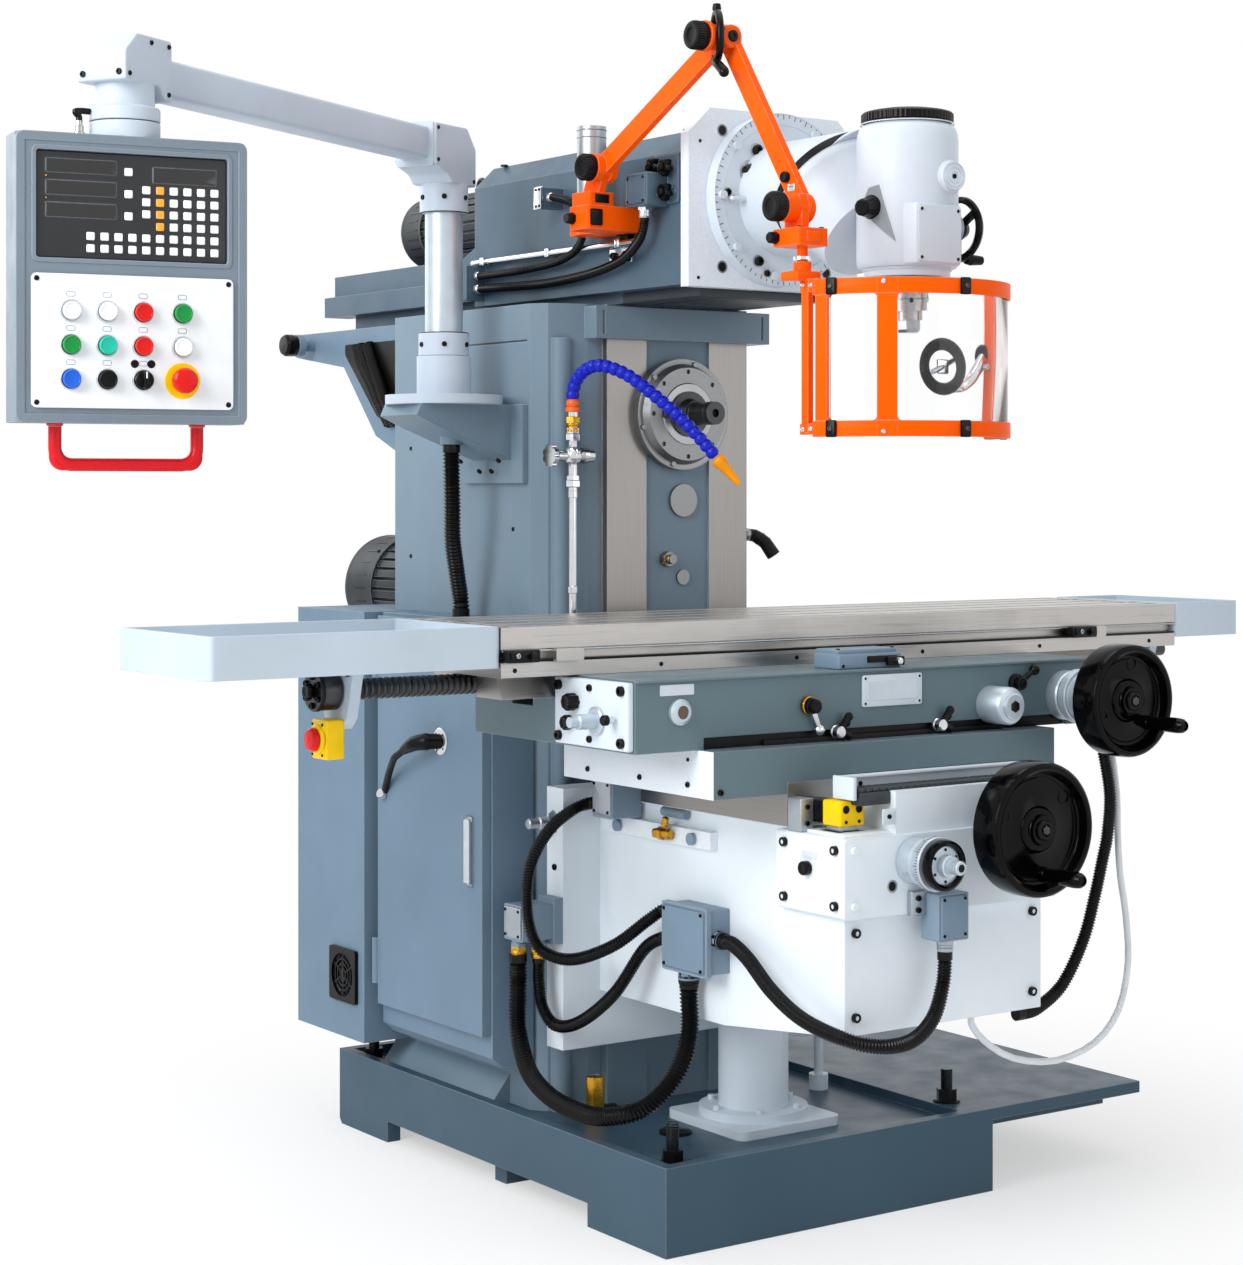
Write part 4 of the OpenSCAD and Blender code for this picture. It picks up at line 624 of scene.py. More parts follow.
class Layout:
    """The nodes of one finish, laid out on the shader that a new material has."""

    def __init__(self, finish: Finish, tree: bpy.types.NodeTree) -> None:
        """Keep the finish, its shader and the place on the piece.

        Args:
            finish: What the surface is.
            tree: Nodes of its material, with the shader in them.
        """
        self.finish, self.tree = finish, tree
        self.add = partial(add_node, tree)
        self.shader = tree.nodes["Principled BSDF"]
        self.place = self.add("TexCoord").outputs["Object"]

    def dress(self) -> None:
        """Set the shader's plain values, then lay out the pattern of the making."""
        f = self.finish
        for name, value in (("Metallic", f.metal), ("Coat Weight", f.coat),
                            ("Coat Roughness", 0.08), ("Specular IOR Level", f.specular)):
            self.shader.inputs[name].default_value = value
        {Making.SPRAYED: self._sprayed, Making.GROUND: self._ground, Making.MOULDED: self._moulded,
         Making.POLISHED: self._polished, Making.CLEAR: self._clear}[f.making]()

    def _noise(self, size: float, grain: Vec = (1, 1, 1), detail: float = 2.0) -> bpy.types.Node:
        """Noise whose lumps are about size mm across, drawn out along an axis by a low grain."""
        spot = self.add("Mapping", {"Vector": self.place, "Scale": tuple(grain)})
        return self.add("TexNoise", {"Vector": spot, "Scale": 1000 / size, "Detail": detail})

    def _tinted(self, fac: bpy.types.Node, low: float, high: float, lo: float = 0.3,
                hi: float = 0.7, code: str = "") -> bpy.types.Node:
        """Go from a darker to a lighter shade of a colour.

        Args:
            fac: What drives it.
            low: The colour's gain at the start.
            high: Its gain at the end.
            lo: Where the drive starts to count.
            hi: Where it stops.
            code: Another colour than the finish's own.

        Returns:
            The colour ramp.
        """
        base = np.array(linear(code or self.finish.colour)[:3])
        ramp = self.add("ValToRGB", {0: fac})
        for stop, at, gain in zip(ramp.color_ramp.elements, (lo, hi), (low, high)):
            stop.position = at
            stop.color = (*np.minimum(base * gain, 1).tolist(), 1.0)
        return ramp

    def _gloss(self, fac: bpy.types.Node, less: float, more: float, lo: float = 0.3,
               hi: float = 0.7) -> bpy.types.Node:
        """Roughness from less under the finish's own to more above it, as fac goes lo to hi."""
        rough = self.finish.rough
        return self.add("MapRange", {"Value": fac, "From Min": lo, "From Max": hi,
                                     "To Min": rough - less, "To Max": rough + more})

    def _zone(self) -> bpy.types.Node:
        """Return a node that is 1 inside the zones and 0 outside.

        Returns:
            The node with the greatest of the zones' values.
        """
        axes = self.add("SeparateXYZ", {0: self.place}).outputs
        total = None
        for lo, hi in self.finish.zones:
            inside = None
            for k in range(3):
                near = self.add("Math", {0: axes[k], 1: (lo[k] + hi[k]) / 2 * MM,
                                         2: (hi[k] - lo[k]) / 2 * MM}, operation="COMPARE")
                inside = near if inside is None else self.add(
                    "Math", {0: inside, 1: near}, operation="MULTIPLY")
            total = inside if total is None else self.add(
                "Math", {0: total, 1: inside}, operation="MAXIMUM")
        return total

    def _edges(self, radius: float) -> tuple[bpy.types.Node, bpy.types.Node]:
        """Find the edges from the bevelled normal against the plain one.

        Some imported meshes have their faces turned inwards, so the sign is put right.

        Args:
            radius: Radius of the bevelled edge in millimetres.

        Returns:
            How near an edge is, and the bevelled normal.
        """
        bevel = self.add("Bevel", {"Radius": radius * MM}, samples=4)
        plain = self.add("NewGeometry").outputs["Normal"]
        dot = self.add("VectorMath", {0: bevel, 1: plain}, operation="DOT_PRODUCT").outputs["Value"]
        same = self.add("Math", {0: dot}, operation="SIGN")
        facing = self.add("VectorMath", {0: bevel, "Scale": same}, operation="SCALE")
        flat = self.add("Math", {0: dot}, operation="ABSOLUTE")
        return self.add("MapRange", {"Value": flat, "From Min": 0.86, "From Max": 0.995,
                                     "To Min": 1.0, "To Max": 0.0}), facing

    def _sprayed(self) -> None:
        """Enamel: broad thin clouds in the coat, 2 mm orange peel, and paler edges that are a painted
        highlight with some wear.
        """
        f = self.finish
        edge, normal = self._edges(2.2)
        # Edges are mixed towards a paler colour: a painted highlight along them, with some wear.
        worn_and_lit = self.add("Math", {0: edge, 1: 0.5}, operation="MULTIPLY")
        lit = tuple((0.55 * np.array(linear(f.colour)) + 0.45).tolist())
        colour = self.add("Mix", {0: worn_and_lit, 6: self._tinted(self._noise(260, detail=4), 0.93, 1.06),
                                  7: lit}, data_type="RGBA").outputs[2]
        rough = self._gloss(self._noise(60), 0.06, 0.08)
        if f.zones:
            zone, scratch = self._zone(), self._noise(3, f.grain)
            other = self._tinted(scratch, 0.94, 1.05, code=f.zone_colour)
            colour = self.add("Mix", {0: zone, 6: colour, 7: other}, data_type="RGBA").outputs[2]
            share = self.add("Math", {0: zone, 1: f.zone_metal}, operation="MULTIPLY")
            self.tree.links.new(share.outputs[0], self.shader.inputs["Metallic"])
            low = self.add("MapRange", {"Value": scratch, "From Min": 0.3, "From Max": 0.7,
                                        "To Min": 0.34, "To Max": 0.42})
            rough = self.add("Mix", {0: zone, 2: rough, 3: low}, data_type="FLOAT")
        self._finish(colour, rough, {"Strength": 0.12, "Distance": 0.0004,
                                     "Height": self._noise(2.4), "Normal": normal})

    def _ground(self) -> None:
        """Ground or turned metal: scratches drawn as coarse as 3 mm so that they show."""
        scratch = self._noise(3, self.finish.grain, 3)
        both = self.add("Math", {0: scratch, 1: self._noise(140, detail=3)}, operation="ADD")
        edge, normal = self._edges(1.2)
        # Edges are mixed towards a colour 1.3 times lighter: a painted highlight along them.
        lit = tuple(np.minimum(np.array(linear(self.finish.colour)) * 1.3, 1).tolist())
        colour = self.add("Mix", {0: edge, 6: self._tinted(both, 0.92, 1.07, 0.8, 1.2), 7: lit},
                          data_type="RGBA").outputs[2]
        self._finish(colour, self._gloss(both, 0.06, 0.1, 0.8, 1.2),
                     {"Strength": 0.05, "Distance": 0.0001, "Height": scratch, "Normal": normal})

    def _moulded(self) -> None:
        """Moulded plastic or rubber: 1.6 mm grain and slow changes of gloss."""
        cloud = self._noise(45, detail=3)
        self._finish(self._tinted(cloud, 0.94, 1.06), self._gloss(cloud, 0.05, 0.07),
                     {"Strength": 0.08, "Distance": 0.0003, "Height": self._noise(1.6),
                      "Normal": self._edges(0.8)[1]})

    def _polished(self) -> None:
        """Plated or buffed: 30 mm wipe marks in the gloss alone."""
        wipe = self._noise(30, detail=4)
        self._finish(self._tinted(wipe, 0.94, 1.05), self._gloss(wipe, 0.02, 0.03),
                     {"Strength": 0.03, "Distance": 0.00002, "Height": self._noise(6)})

    def _clear(self) -> None:
        """Clear plastic: lets light through, with wipe marks in its gloss."""
        wipe = self._noise(40, detail=4)
        self.shader.inputs["Transmission Weight"].default_value = 1.0
        self.shader.inputs["IOR"].default_value = 1.3
        self._finish(self._tinted(wipe, 0.98, 1.02), self._gloss(wipe, 0.0, 0.05),
                     {"Strength": 0.02, "Distance": 0.0002, "Height": wipe})

    def _finish(self, colour: bpy.types.Node | bpy.types.NodeSocket, rough: bpy.types.Node,
                bump: dict) -> None:
        """Link the colour, the roughness and a bump, given by its inputs, to the shader."""
        for name, value in (("Base Color", colour), ("Roughness", rough),
                            ("Normal", self.add("Bump", bump))):
            self.tree.links.new(socket(value), self.shader.inputs[name])


def enamel(name: str, colour: str, rough: float = 0.36, **more: object) -> Finish:
    """Return an enamel or powder coat, whose gloss is soft because it is sprayed thick."""
    return Finish(name, colour, Making.SPRAYED, rough, **{"specular": 0.2} | more)


def plastic(name: str, colour: str, rough: float, **more: object) -> Finish:
    """Return a moulded plastic or rubber."""
    return Finish(name, colour, Making.MOULDED, rough, **more)


def plated(name: str, colour: str, rough: float, metal: float = 1.0, **more: object) -> Finish:
    """Return a smooth buffed, plated or glazed surface."""
    return Finish(name, colour, Making.POLISHED, rough, metal, **more)


ALONG_X, ALONG_Y, ALONG_Z = (0.02, 1.0, 1.0), (1.0, 0.02, 1.0), (1.0, 1.0, 0.02)
# Two-pack enamels of the castings and powder coats of the sheet: flat colour with a soft gloss, a
# faint orange peel and paler edges, a painted highlight with some wear. Ground ways on a painted
# casting shine straight and metallic
COLUMN_PAINT = enamel("grey_blue_enamel", "#728796", grain=ALONG_Z, zones=(
    ((-170, -98, 300), (-74.8, -95.8, 1604)), ((74.8, -98, 300), (170, -95.8, 1604)),
    ((-170, -96, 300), (-167.9, -56, 1604)), ((167.9, -96, 300), (170, -56, 1604))))
BASE_PAINT = enamel("dark_base_enamel", "#3b5363", 0.34)
CABINET_PAINT = enamel("sheet_steel_powder_coat", "#687f92", 0.42)
RAM_PAINT = enamel("ram_enamel", "#4a5f6f", 0.38, zone_colour="#dbe4ec", zone_metal=0.0,
                   zones=(((-210, -402, 1670), (210, -375.9, 2020)),))
SADDLE_PAINT = enamel("saddle_enamel", "#63777f")
WHITE_PAINT = enamel("cool_white_enamel", "#cdd8e2", 0.34)
KNEE_PAINT = enamel("white_knee_enamel", "#e3ecf3", 0.34, grain=ALONG_Y, zones=(
    ((-234, -810, 745.2), (-120.2, -150, 822)), ((120, -730, 812.2), (234, -150, 822)),
    ((-120, -730, 812.2), (120, -150, 822))))
SADDLE_SIDES = enamel("saddle_enamel_white_end", "#63777f", zone_colour="#e4ecf3", zone_metal=0.0,
                      zones=(((-410, -760, 790), (-388.6, -270, 881)),))
KNEE_BOXES = enamel("grey_boxes_white_rail", "#7c90a1", 0.4, zone_colour="#e9f0f6", zone_metal=0.0,
                    zones=(((-240, -524, 676), (-220.5, -176, 716)),))
SILVER_PAINT = enamel("pale_silver_enamel", "#bcc8d5")
BRACKET_PAINT = enamel("bracket_two_enamels", "#bcc8d5", zone_colour="#728796", zone_metal=0.0,
                       zones=(((-620, -120, 1300), (-290, 320, 1477.5)),))
PANEL_GREY = enamel("panel_powder_coat", "#76838f", 0.4, zone_colour="#d3121c", zone_metal=0.0,
                    zones=(((-1500, -640, 1320), (-1100, -340, 1417)),))
TRAY_PAINT = enamel("tray_enamel", "#bccad6")
# Mid-grey painted shade for the head's tilt recess, a shell laid on the head in place of a hollow.
PAINTED_RECESS_SHADE = enamel("painted_recess_shade", "#8d979e", 0.4)
BOX_BLUE = enamel("blue_grey_box_enamel", "#71879a", 0.38)
MOTOR_PAINT = enamel("black_motor_enamel", "#2b3136", 0.42)
HANDLE_RED = enamel("red_powder_coat", "#d3121c", 0.24, coat=0.1)
GUARD_ORANGE = enamel("orange_powder_coat", "#fa5a00", specular=0.07)
GUARD_BLOCK = enamel("orange_block_and_steel_post", "#fa5a00", specular=0.07, grain=ALONG_Z,
                     zones=(((-275, -185, 1842), (-205, -115, 2000)),), zone_colour="#a9adb1")
# Ground and turned metal: bright, with fine lines that stretch the highlights
TABLE_IRON = Finish("ground_table_iron", "#b4b1ae", Making.GROUND, 0.34, 1.0, grain=ALONG_X)
DARK_STEEL = Finish("oiled_dark_steel", "#4a4b4d", Making.GROUND, 0.34, 1.0)
FLANGE_STEEL = Finish("oiled_turned_flange", "#8b8d8f", Making.GROUND, 0.38, 1.0)
BRASS = Finish("turned_brass", "#c9962f", Making.GROUND, 0.26, 1.0)
# Polished, plated, anodised and blacked metal, and glass: smooth, with clear reflections
BRIGHT_STEEL = plated("turned_bright_steel", "#a2a5a8", 0.26)
CHROME = plated("polished_chrome", "#d4d7da", 0.12)
GLAND_ALLOY = plated("nickel_plated_brass", "#b9b7b2", 0.22)
SATIN_ALLOY = plated("satin_anodised_aluminium", "#a9b1b8", 0.36, 0.8)
DIAL_ALLOY = plated("satin_chromed_dial", "#bcc8d2", 0.38, 0.55)
BLACK_OXIDE = plated("oil_blacked_steel", "#0e0f11", 0.3, 0.3, specular=0.25)
BLACK_WHEEL = plated("polished_black_phenolic", "#030304", 0.13, 0.0, specular=0.12)
SCREEN_DARK = plated("smoked_display_glass", "#07080a", 0.08, 0.0, coat=0.5)
SIGHT_GLASS = plated("oil_sight_glass", "#5a3a1c", 0.08, 0.0, coat=0.6)
# Moulded plastics and rubber: even colour, a fine grain and a broad soft highlight
BLACK_PLASTIC = plastic("moulded_black_plastic", "#060607", 0.28, specular=0.16)
BLACK_RUBBER = plastic("black_nitrile_rubber", "#09090a", 0.42, specular=0.2)
HOSE_BLACK = plastic("black_pvc_conduit", "#060607", 0.24, specular=0.22)
WHITE_PLASTIC = plastic("white_pvc_tube", "#d9dee2", 0.3)
BLUE_PLASTIC = plastic("blue_acetal_hose", "#0b1fb8", 0.22, specular=0.25)
ORANGE_PLASTIC = plastic("orange_acetal_ring", "#ef6412", 0.3)
NOZZLE_PLASTIC = plastic("amber_acetal_nozzle", "#f59a08", 0.3, specular=0.2)
YELLOW_PLASTIC = plastic("yellow_moulded_box", "#f6c800", 0.34, specular=0.2)
RED_PLASTIC = plastic("red_moulded_button", "#d31410", 0.24, coat=0.08, specular=0.2)
GREEN_PLASTIC = plastic("green_moulded_button", "#128a3c", 0.26, coat=0.08, specular=0.2)
TEAL_PLASTIC = plastic("teal_moulded_button", "#1fb39a", 0.26, coat=0.08, specular=0.2)
BLUE_BUTTON = plastic("blue_moulded_button", "#1b5fd0", 0.26, coat=0.08, specular=0.2)
WHITE_BUTTON = plastic("white_moulded_button", "#eceef0", 0.28, coat=0.3)
KEY_WHITE = plastic("white_key_plastic", "#eef0f1", 0.36)
KEY_AMBER = plastic("amber_key_plastic", "#f2a63a", 0.36)
PANEL_WHITE = plastic("white_panel_film", "#e9edf1", 0.34)
PLATE_WHITE = plastic("bare_label_plate", "#cfd9e2", 0.36)
SCREEN_FACE = plastic("dark_panel_film", "#1b1e22", 0.36)
COVER_DARK = plastic("dark_way_cover_rubber", "#2a3138", 0.5)
# Clear sheet: nearly unseen but for its edges and reflections
CLEAR_PANE = Finish("clear_polycarbonate", "#fdfefe", Making.CLEAR, 0.02)


# The studio and the camera

@dataclass
class Studio:
    """Pale floor, soft lamps, white surroundings and the photograph's camera.

    Each lamp has a name, a place, a side in metres and its watts.
    """

    eye: Vec = (-2.9414, -4.1350, 1.315)
    heading: float = -34.8
    lens: float = 73.0
    rise: float = -0.1126
    target: Vec = (0, -0.2, 1.0)
    lamps: tuple = (("key", (-4.4, -1.2, 3.0), 2.6, 172.0), ("fill", (1.6, -4.6, 2.4), 2.6, 20.0),
                    ("top", (0.0, -0.4, 4.6), 3.2, 50.0), ("rear", (-1.5, 4.0, 3.2), 3.0, 46.0))
    ambient: float = 0.6

    def build(self) -> None:
        """Make the camera, the lamps, the world and the floor."""
        scene = bpy.context.scene
        scene.view_settings.view_transform = "Standard"
        camera = bpy.data.cameras.new("camera")
        camera.lens, camera.sensor_width, camera.shift_y = self.lens, 36.0, self.rise
        camera.sensor_fit = "AUTO"
        holder = bpy.data.objects.new("camera", camera)
        holder.location = self.eye
        holder.rotation_euler = (math.pi / 2, 0, math.radians(self.heading))
        scene.collection.objects.link(holder)
        scene.camera = holder
        for name, place, size, watts in self.lamps:
            self._lamp(name, place, size, watts)
        self._world(scene)
        self._floor()

    def _lamp(self, name: str, place: Vec, size: float, watts: float) -> None:
        """Add a square soft lamp that faces the machine.

        Args:
            name: Its name.
            place: Where it stands, in metres.
            size: Length of its side in metres.
            watts: Its power.
        """
        lamp = bpy.data.lights.new(name, "AREA")
        lamp.size, lamp.energy = size, watts
        holder = bpy.data.objects.new(name, lamp)
        w = unit(np.array(place) - self.target)
        u = unit(np.cross(Z, w)) if abs(w[2]) < 0.999 else X
        turn = np.eye(4)
        turn[:3] = np.stack([u, np.cross(w, u), w, place], 1)
        holder.matrix_world = Matrix(turn.tolist())
        bpy.context.scene.collection.objects.link(holder)

    def _world(self, scene: bpy.types.Scene) -> None:
        """White to the camera and in gloss and glass, a plain level for the rest.

        Args:
            scene: The scene that it goes to.
        """
        world = bpy.data.worlds.new("studio_white")
        world.use_nodes = True
        scene.world = world
        add = partial(add_node, world.node_tree)
        path = add("LightPath").outputs
        seen = add("Math", {0: path["Is Camera Ray"], 1: path["Is Transmission Ray"]},
                   operation="MAXIMUM")
        seen = add("Math", {0: seen, 1: path["Is Glossy Ray"]}, operation="MAXIMUM")
        level = add("MapRange", {"Value": seen, "To Min": self.ambient, "To Max": 1.0})
        shade = world.node_tree.nodes["Background"]
        shade.inputs["Color"].default_value = (1, 1, 1, 1)
        world.node_tree.links.new(level.outputs[0], shade.inputs["Strength"])

    def _floor(self) -> None:
        """A pale floor that shows as white to the camera and keeps the soft shadow."""
        mesh = bpy.data.meshes.new("studio_floor")
        mesh.from_pydata([(-14, -10, 0), (14, -10, 0), (14, 18, 0), (-14, 18, 0)], [], [(0, 1, 2, 3)])
        paint = bpy.data.materials.new("studio_floor_paint")
        paint.use_nodes = True
        tree = paint.node_tree
        add, shader = partial(add_node, tree), tree.nodes["Principled BSDF"]
        for name, value in (("Base Color", (0.93, 0.93, 0.94, 1)), ("Roughness", 0.9),
                            ("Specular IOR Level", 0.1)):
            shader.inputs[name].default_value = value
        place = add("TexCoord").outputs["Object"]
        far = add("VectorMath", {0: place}, operation="LENGTH").outputs["Value"]
        fade = add("MapRange", {"Value": far, "From Min": 0.7, "From Max": 2.0, "To Min": 0.5},
                   interpolation_type="SMOOTHSTEP")
        path = add("LightPath").outputs
        seen = add("Math", {0: path["Is Camera Ray"], 1: path["Is Glossy Ray"]}, operation="MAXIMUM")
        both = add("Math", {0: seen, 1: fade}, operation="MULTIPLY")
        white = add("Emission", {"Color": (1, 1, 1, 1)})
        mixed = add("MixShader", {0: both, 1: shader, 2: white})
        tree.links.new(mixed.outputs[0], tree.nodes["Material Output"].inputs["Surface"])
        mesh.materials.append(paint)
        floor = bpy.data.objects.new("studio_floor", mesh)
        bpy.context.scene.collection.objects.link(floor)


# Hoses: the same routes as the CAD tubes, with the corrugations of the real conduit

@dataclass
class Conduit:
    """A hose or conduit between two glands.

    The corrugated kind's radius is r - 0.2 r * (0.5 - 0.5 cos(2 pi s / pitch))^0.8 at the run s,
    and plain over the sleeve at each end.
    """

    name: str
    route: Sequence[Vec]
    radius: float
    node: str = "knee_conduits"
    body: str = "knee"
    steps: int = 12
    pitch: float = 5.4
    finish: Finish = HOSE_BLACK
    sleeve: float = 16.0

    def path(self, spacing: float) -> Grid:
        """Return the route in millimetres at equal steps."""
        return resampled(smooth_path(self.route, self.steps), spacing)

    def build(self) -> bpy.types.Object:
        """Sweep the hose.

        Returns:
            The hose's object.
        """
        path = self.path(self.pitch / 6 if self.pitch else self.radius * 0.8)
        run = np.linspace(0, path_length(path), len(path))
        size = np.full(len(path), self.radius)
        if self.pitch:
            plain = (run < self.sleeve) | (run > run[-1] - self.sleeve)
            wave = 0.5 - 0.5 * np.cos(2 * math.pi * run / self.pitch)
            size = np.where(plain, self.radius, self.radius - 0.2 * self.radius * wave ** 0.8)
        form = Form().tube(path, size, 16 if self.radius < 14 else 20)
        piece = form.build(self.name, [self.finish], self.body, "black_conduit", [self.node], 60.0)
        return piece


CONDUITS = (
    Conduit("pendant_hose", (
        (-408, 80, 1402), (-408, 80, 1360), (-404, 84, 1290), (-396, 96, 1220), (-378, 112, 1160),
        (-362, 124, 1108), (-360, 124, 1090), (-360, 124, 1070)),
        17, "pendant_conduit", "machine_frame", pitch=7.0),
    Conduit("slab_hose", (
        (-249, -416, 510), (-249, -392, 510), (-262, -350, 484), (-290, -298, 400), (-312, -220, 338),
        (-330, -164, 324), (-340, -134, 356), (-344, -128, 404), (-344, -128, 428),
        (-344, -128, 452)), 12),
    Conduit("rail_hose", (
        (-268, -222, 735), (-268, -198, 735), (-290, -172, 724), (-340, -166, 692), (-386, -174, 640),
        (-406, -184, 584), (-406, -192, 520), (-390, -208, 476), (-356, -256, 462), (-312, -324, 492),
        (-270, -372, 540), (-249, -392, 560), (-249, -416, 560)), 12),
    Conduit("low_hose", (
        (-249, -470, 448), (-249, -470, 420), (-256, -480, 350), (-296, -490, 284), (-352, -470, 232),
        (-396, -416, 214), (-406, -340, 212), (-404, -250, 222), (-394, -170, 250), (-380, -114, 310),
        (-374, -104, 390), (-374, -104, 426), (-374, -104, 452)), 17, pitch=6.6),
    Conduit("front_hose", (
        (-249, -569, 530), (-249, -594, 530), (-256, -650, 512), (-266, -730, 470), (-264, -810, 436),
        (-240, -890, 414), (-190, -924, 402), (-128, -930, 406), (-78, -924, 436), (-48, -914, 484),
        (-41, -912, 524), (-41, -912, 544)), 13),
    Conduit("support_hose", (
        (486, -756, 877.7), (486, -756, 850), (478, -784, 760), (456, -800, 690), (440, -802, 640),
        (424, -800, 580), (398, -796, 500), (352, -790, 424), (296, -786, 388), (262, -786, 382),
        (240, -786, 382)), 12, "saddle_hoses"),
    Conduit("coolant_return", (
        (520, -744, 877.7), (520, -744, 850), (510, -770, 760), (486, -796, 680), (476, -812, 612),
        (490, -812, 540), (500, -808, 450), (480, -804, 366), (424, -800, 312), (330, -796, 290),
        (230, -792, 306), (160, -790, 346), (130, -790, 380), (130, -790, 392)),
        6, "saddle_hoses", steps=3, pitch=0, finish=WHITE_PLASTIC),
    Conduit("guard_cable_hose", (
        (-224, -300, 1836), (-224, -300, 1812), (-222, -280, 1776), (-214, -210, 1744),
        (-210, -100, 1726), (-208, 60, 1718), (-212, 200, 1720), (-214, 284, 1722),
        (-214, 308, 1722)), 9, "ram_conduits", "ram", pitch=5.0),
    Conduit("ram_motor_hose", (
        (-226, 20, 1880), (-226, 0, 1880), (-224, -60, 1862), (-220, -92, 1822), (-216, -70, 1780),
        (-212, 0, 1758), (-210, 120, 1750), (-212, 220, 1748), (-214, 284, 1748),
        (-214, 308, 1748)), 8, "ram_conduits", "ram", pitch=5.0),
)


# The pendant: control panel, its buttons and the arm

@dataclass(frozen=True)
class ControlPanel:
    """Front of the panel, worked out in the panel's own axes and turned with it.

    Its x goes to the right along the face, its y into the panel and its z up.
    """

    elbow: Vec = (-1297.5, -414.5, 0)
    turn: float = -9.0
    face: float = -52.0
    columns: tuple = (-98, -42, 14, 76)
    rows: tuple = (1484, 1536, 1588)
    screen: tuple = (-150, 150, 1668, 1832)
    plate: tuple = (-158, 158, 1440, 1644)

    def _placed(self, form: Form) -> Form:
        """Turn a finished form with the panel and set it at the elbow.

        Args:
            form: What is worked out in the panel's own axes.

        Returns:
            The same form, in the shared frame.
        """
        move = np.eye(4)
        move[:3, 0], move[:3, 1] = compass(self.turn), compass(self.turn + 90)
        move[:3, 3] = self.elbow
        return form.moved(move)

    def build(self) -> None:
        """Make the readout, the white plate, the buttons and the grip."""
        self._readout()
        self._plate()
        self._grip()
        self._shell_trim()
        whites, red, green = WHITE_BUTTON, RED_PLASTIC, GREEN_PLASTIC
        self._buttons("top_button_caps", "top_button_row", 2, (whites, whites, red, green))
        self._buttons("middle_button_caps", "middle_button_row", 1, (green, TEAL_PLASTIC, red, whites))
        self._buttons("low_button_caps", "low_button_row", 0, (BLUE_BUTTON, BLACK_PLASTIC))
        self._stop_button()
        self._selector()

    def _front(self, form: Form, lo: Vec, hi: Vec, y: Vec, radius: float, finish: int) -> None:
        """Add a slab on the face between two y depths, its corners rounded about y."""
        form.prism(rounded((lo[0], lo[1]), (hi[0], hi[1]), radius), (-y[1], -y[0]), (0, 0, 0),
                   X, Z, min(radius * 0.7, abs(y[1] - y[0]) * 0.45), finish)

    def _readout(self) -> None:
        """Dark film in the recess with four blank displays and the blank keys."""
        form = Form()
        x0, x1, z0, z1 = self.screen
        face = self.face
        self._front(form, (x0 + 0.5, z0 + 0.5), (x1 - 0.5, z1 - 0.5), (face + 3.6, face + 7.9), 5, 0)
        for lo, hi in (((-134, 1799), (-26, 1819)), ((-134, 1765), (-26, 1786)),
                       ((-134, 1731), (-26, 1752)), ((32, 1790), (132, 1813))):
            self._front(form, (lo[0] - 1.6, lo[1] - 1.6), (hi[0] + 1.6, hi[1] + 1.6),
                        (face + 3.1, face + 4), 2, 3)
            self._front(form, lo, hi, (face + 2.6, face + 4), 1.5, 1)
        keys = [(k, r) for r in (0, 1) for k in range(10)]
        keys += [(k, 2) for k in range(5, 10)]
        keys += [(k, r) for r in (3, 4, 5) for k in range(4, 10)]
        for column, row in keys:
            x, z = -66 + column * 21.7, 1684.5 + row * 18.6
            amber = column == 5 and row in (2, 3, 4, 5)
            self._front(form, (x - 6.4, z - 6.2), (x + 6.4, z + 6.2), (face + 0.6, face + 4), 2,
                        4 if amber else 2)
        for z in (1736, 1770, 1804):
            self._front(form, (-13.4, z - 6.2), (-0.6, z + 6.2), (face + 0.6, face + 4), 2, 2)
        for z in (1793, 1759):
            form.ball((-134, face + 3.4, z), 1.2, 4, 12)
        self._placed(form).build("readout", [SCREEN_FACE, SCREEN_DARK, KEY_WHITE, MOTOR_PAINT,
                                             KEY_AMBER], "control_panel", "black_phenolic")
        frame = Form()
        outer = rounded((x0 - 7, z0 - 7), (x1 + 7, z1 + 7), 10)
        self._border(frame, outer, 7.0, (face - 1.6, face + 0.5), 0)
        self._placed(frame).build("readout_bezel", [PANEL_GREY], "control_panel", "dark_blue_grey_enamel")

    def _border(self, form: Form, outer: Grid, width: float, y: Vec, finish: int) -> None:
        """Add a closed frame: its section is a rectangle between the outline and its inset.

        Args:
            form: Form that takes it in.
            outer: Outline of its outside.
            width: How wide its bars are.
            y: Its two depths.
            finish: Which finish it has.
        """
        inner = inset(outer, width)
        soft = 0.6
        rings = [(outer, y[1]), (outer, y[0] + soft), (inset(outer, soft), y[0]),
                 (inset(inner, -soft), y[0]), (inner, y[0] + soft), (inner, y[1])]
        grid = np.stack([np.stack([ring[:, 0], np.full(len(ring), depth), ring[:, 1]], 1)
                         for ring, depth in rings])
        form.grid(grid, finish, True)

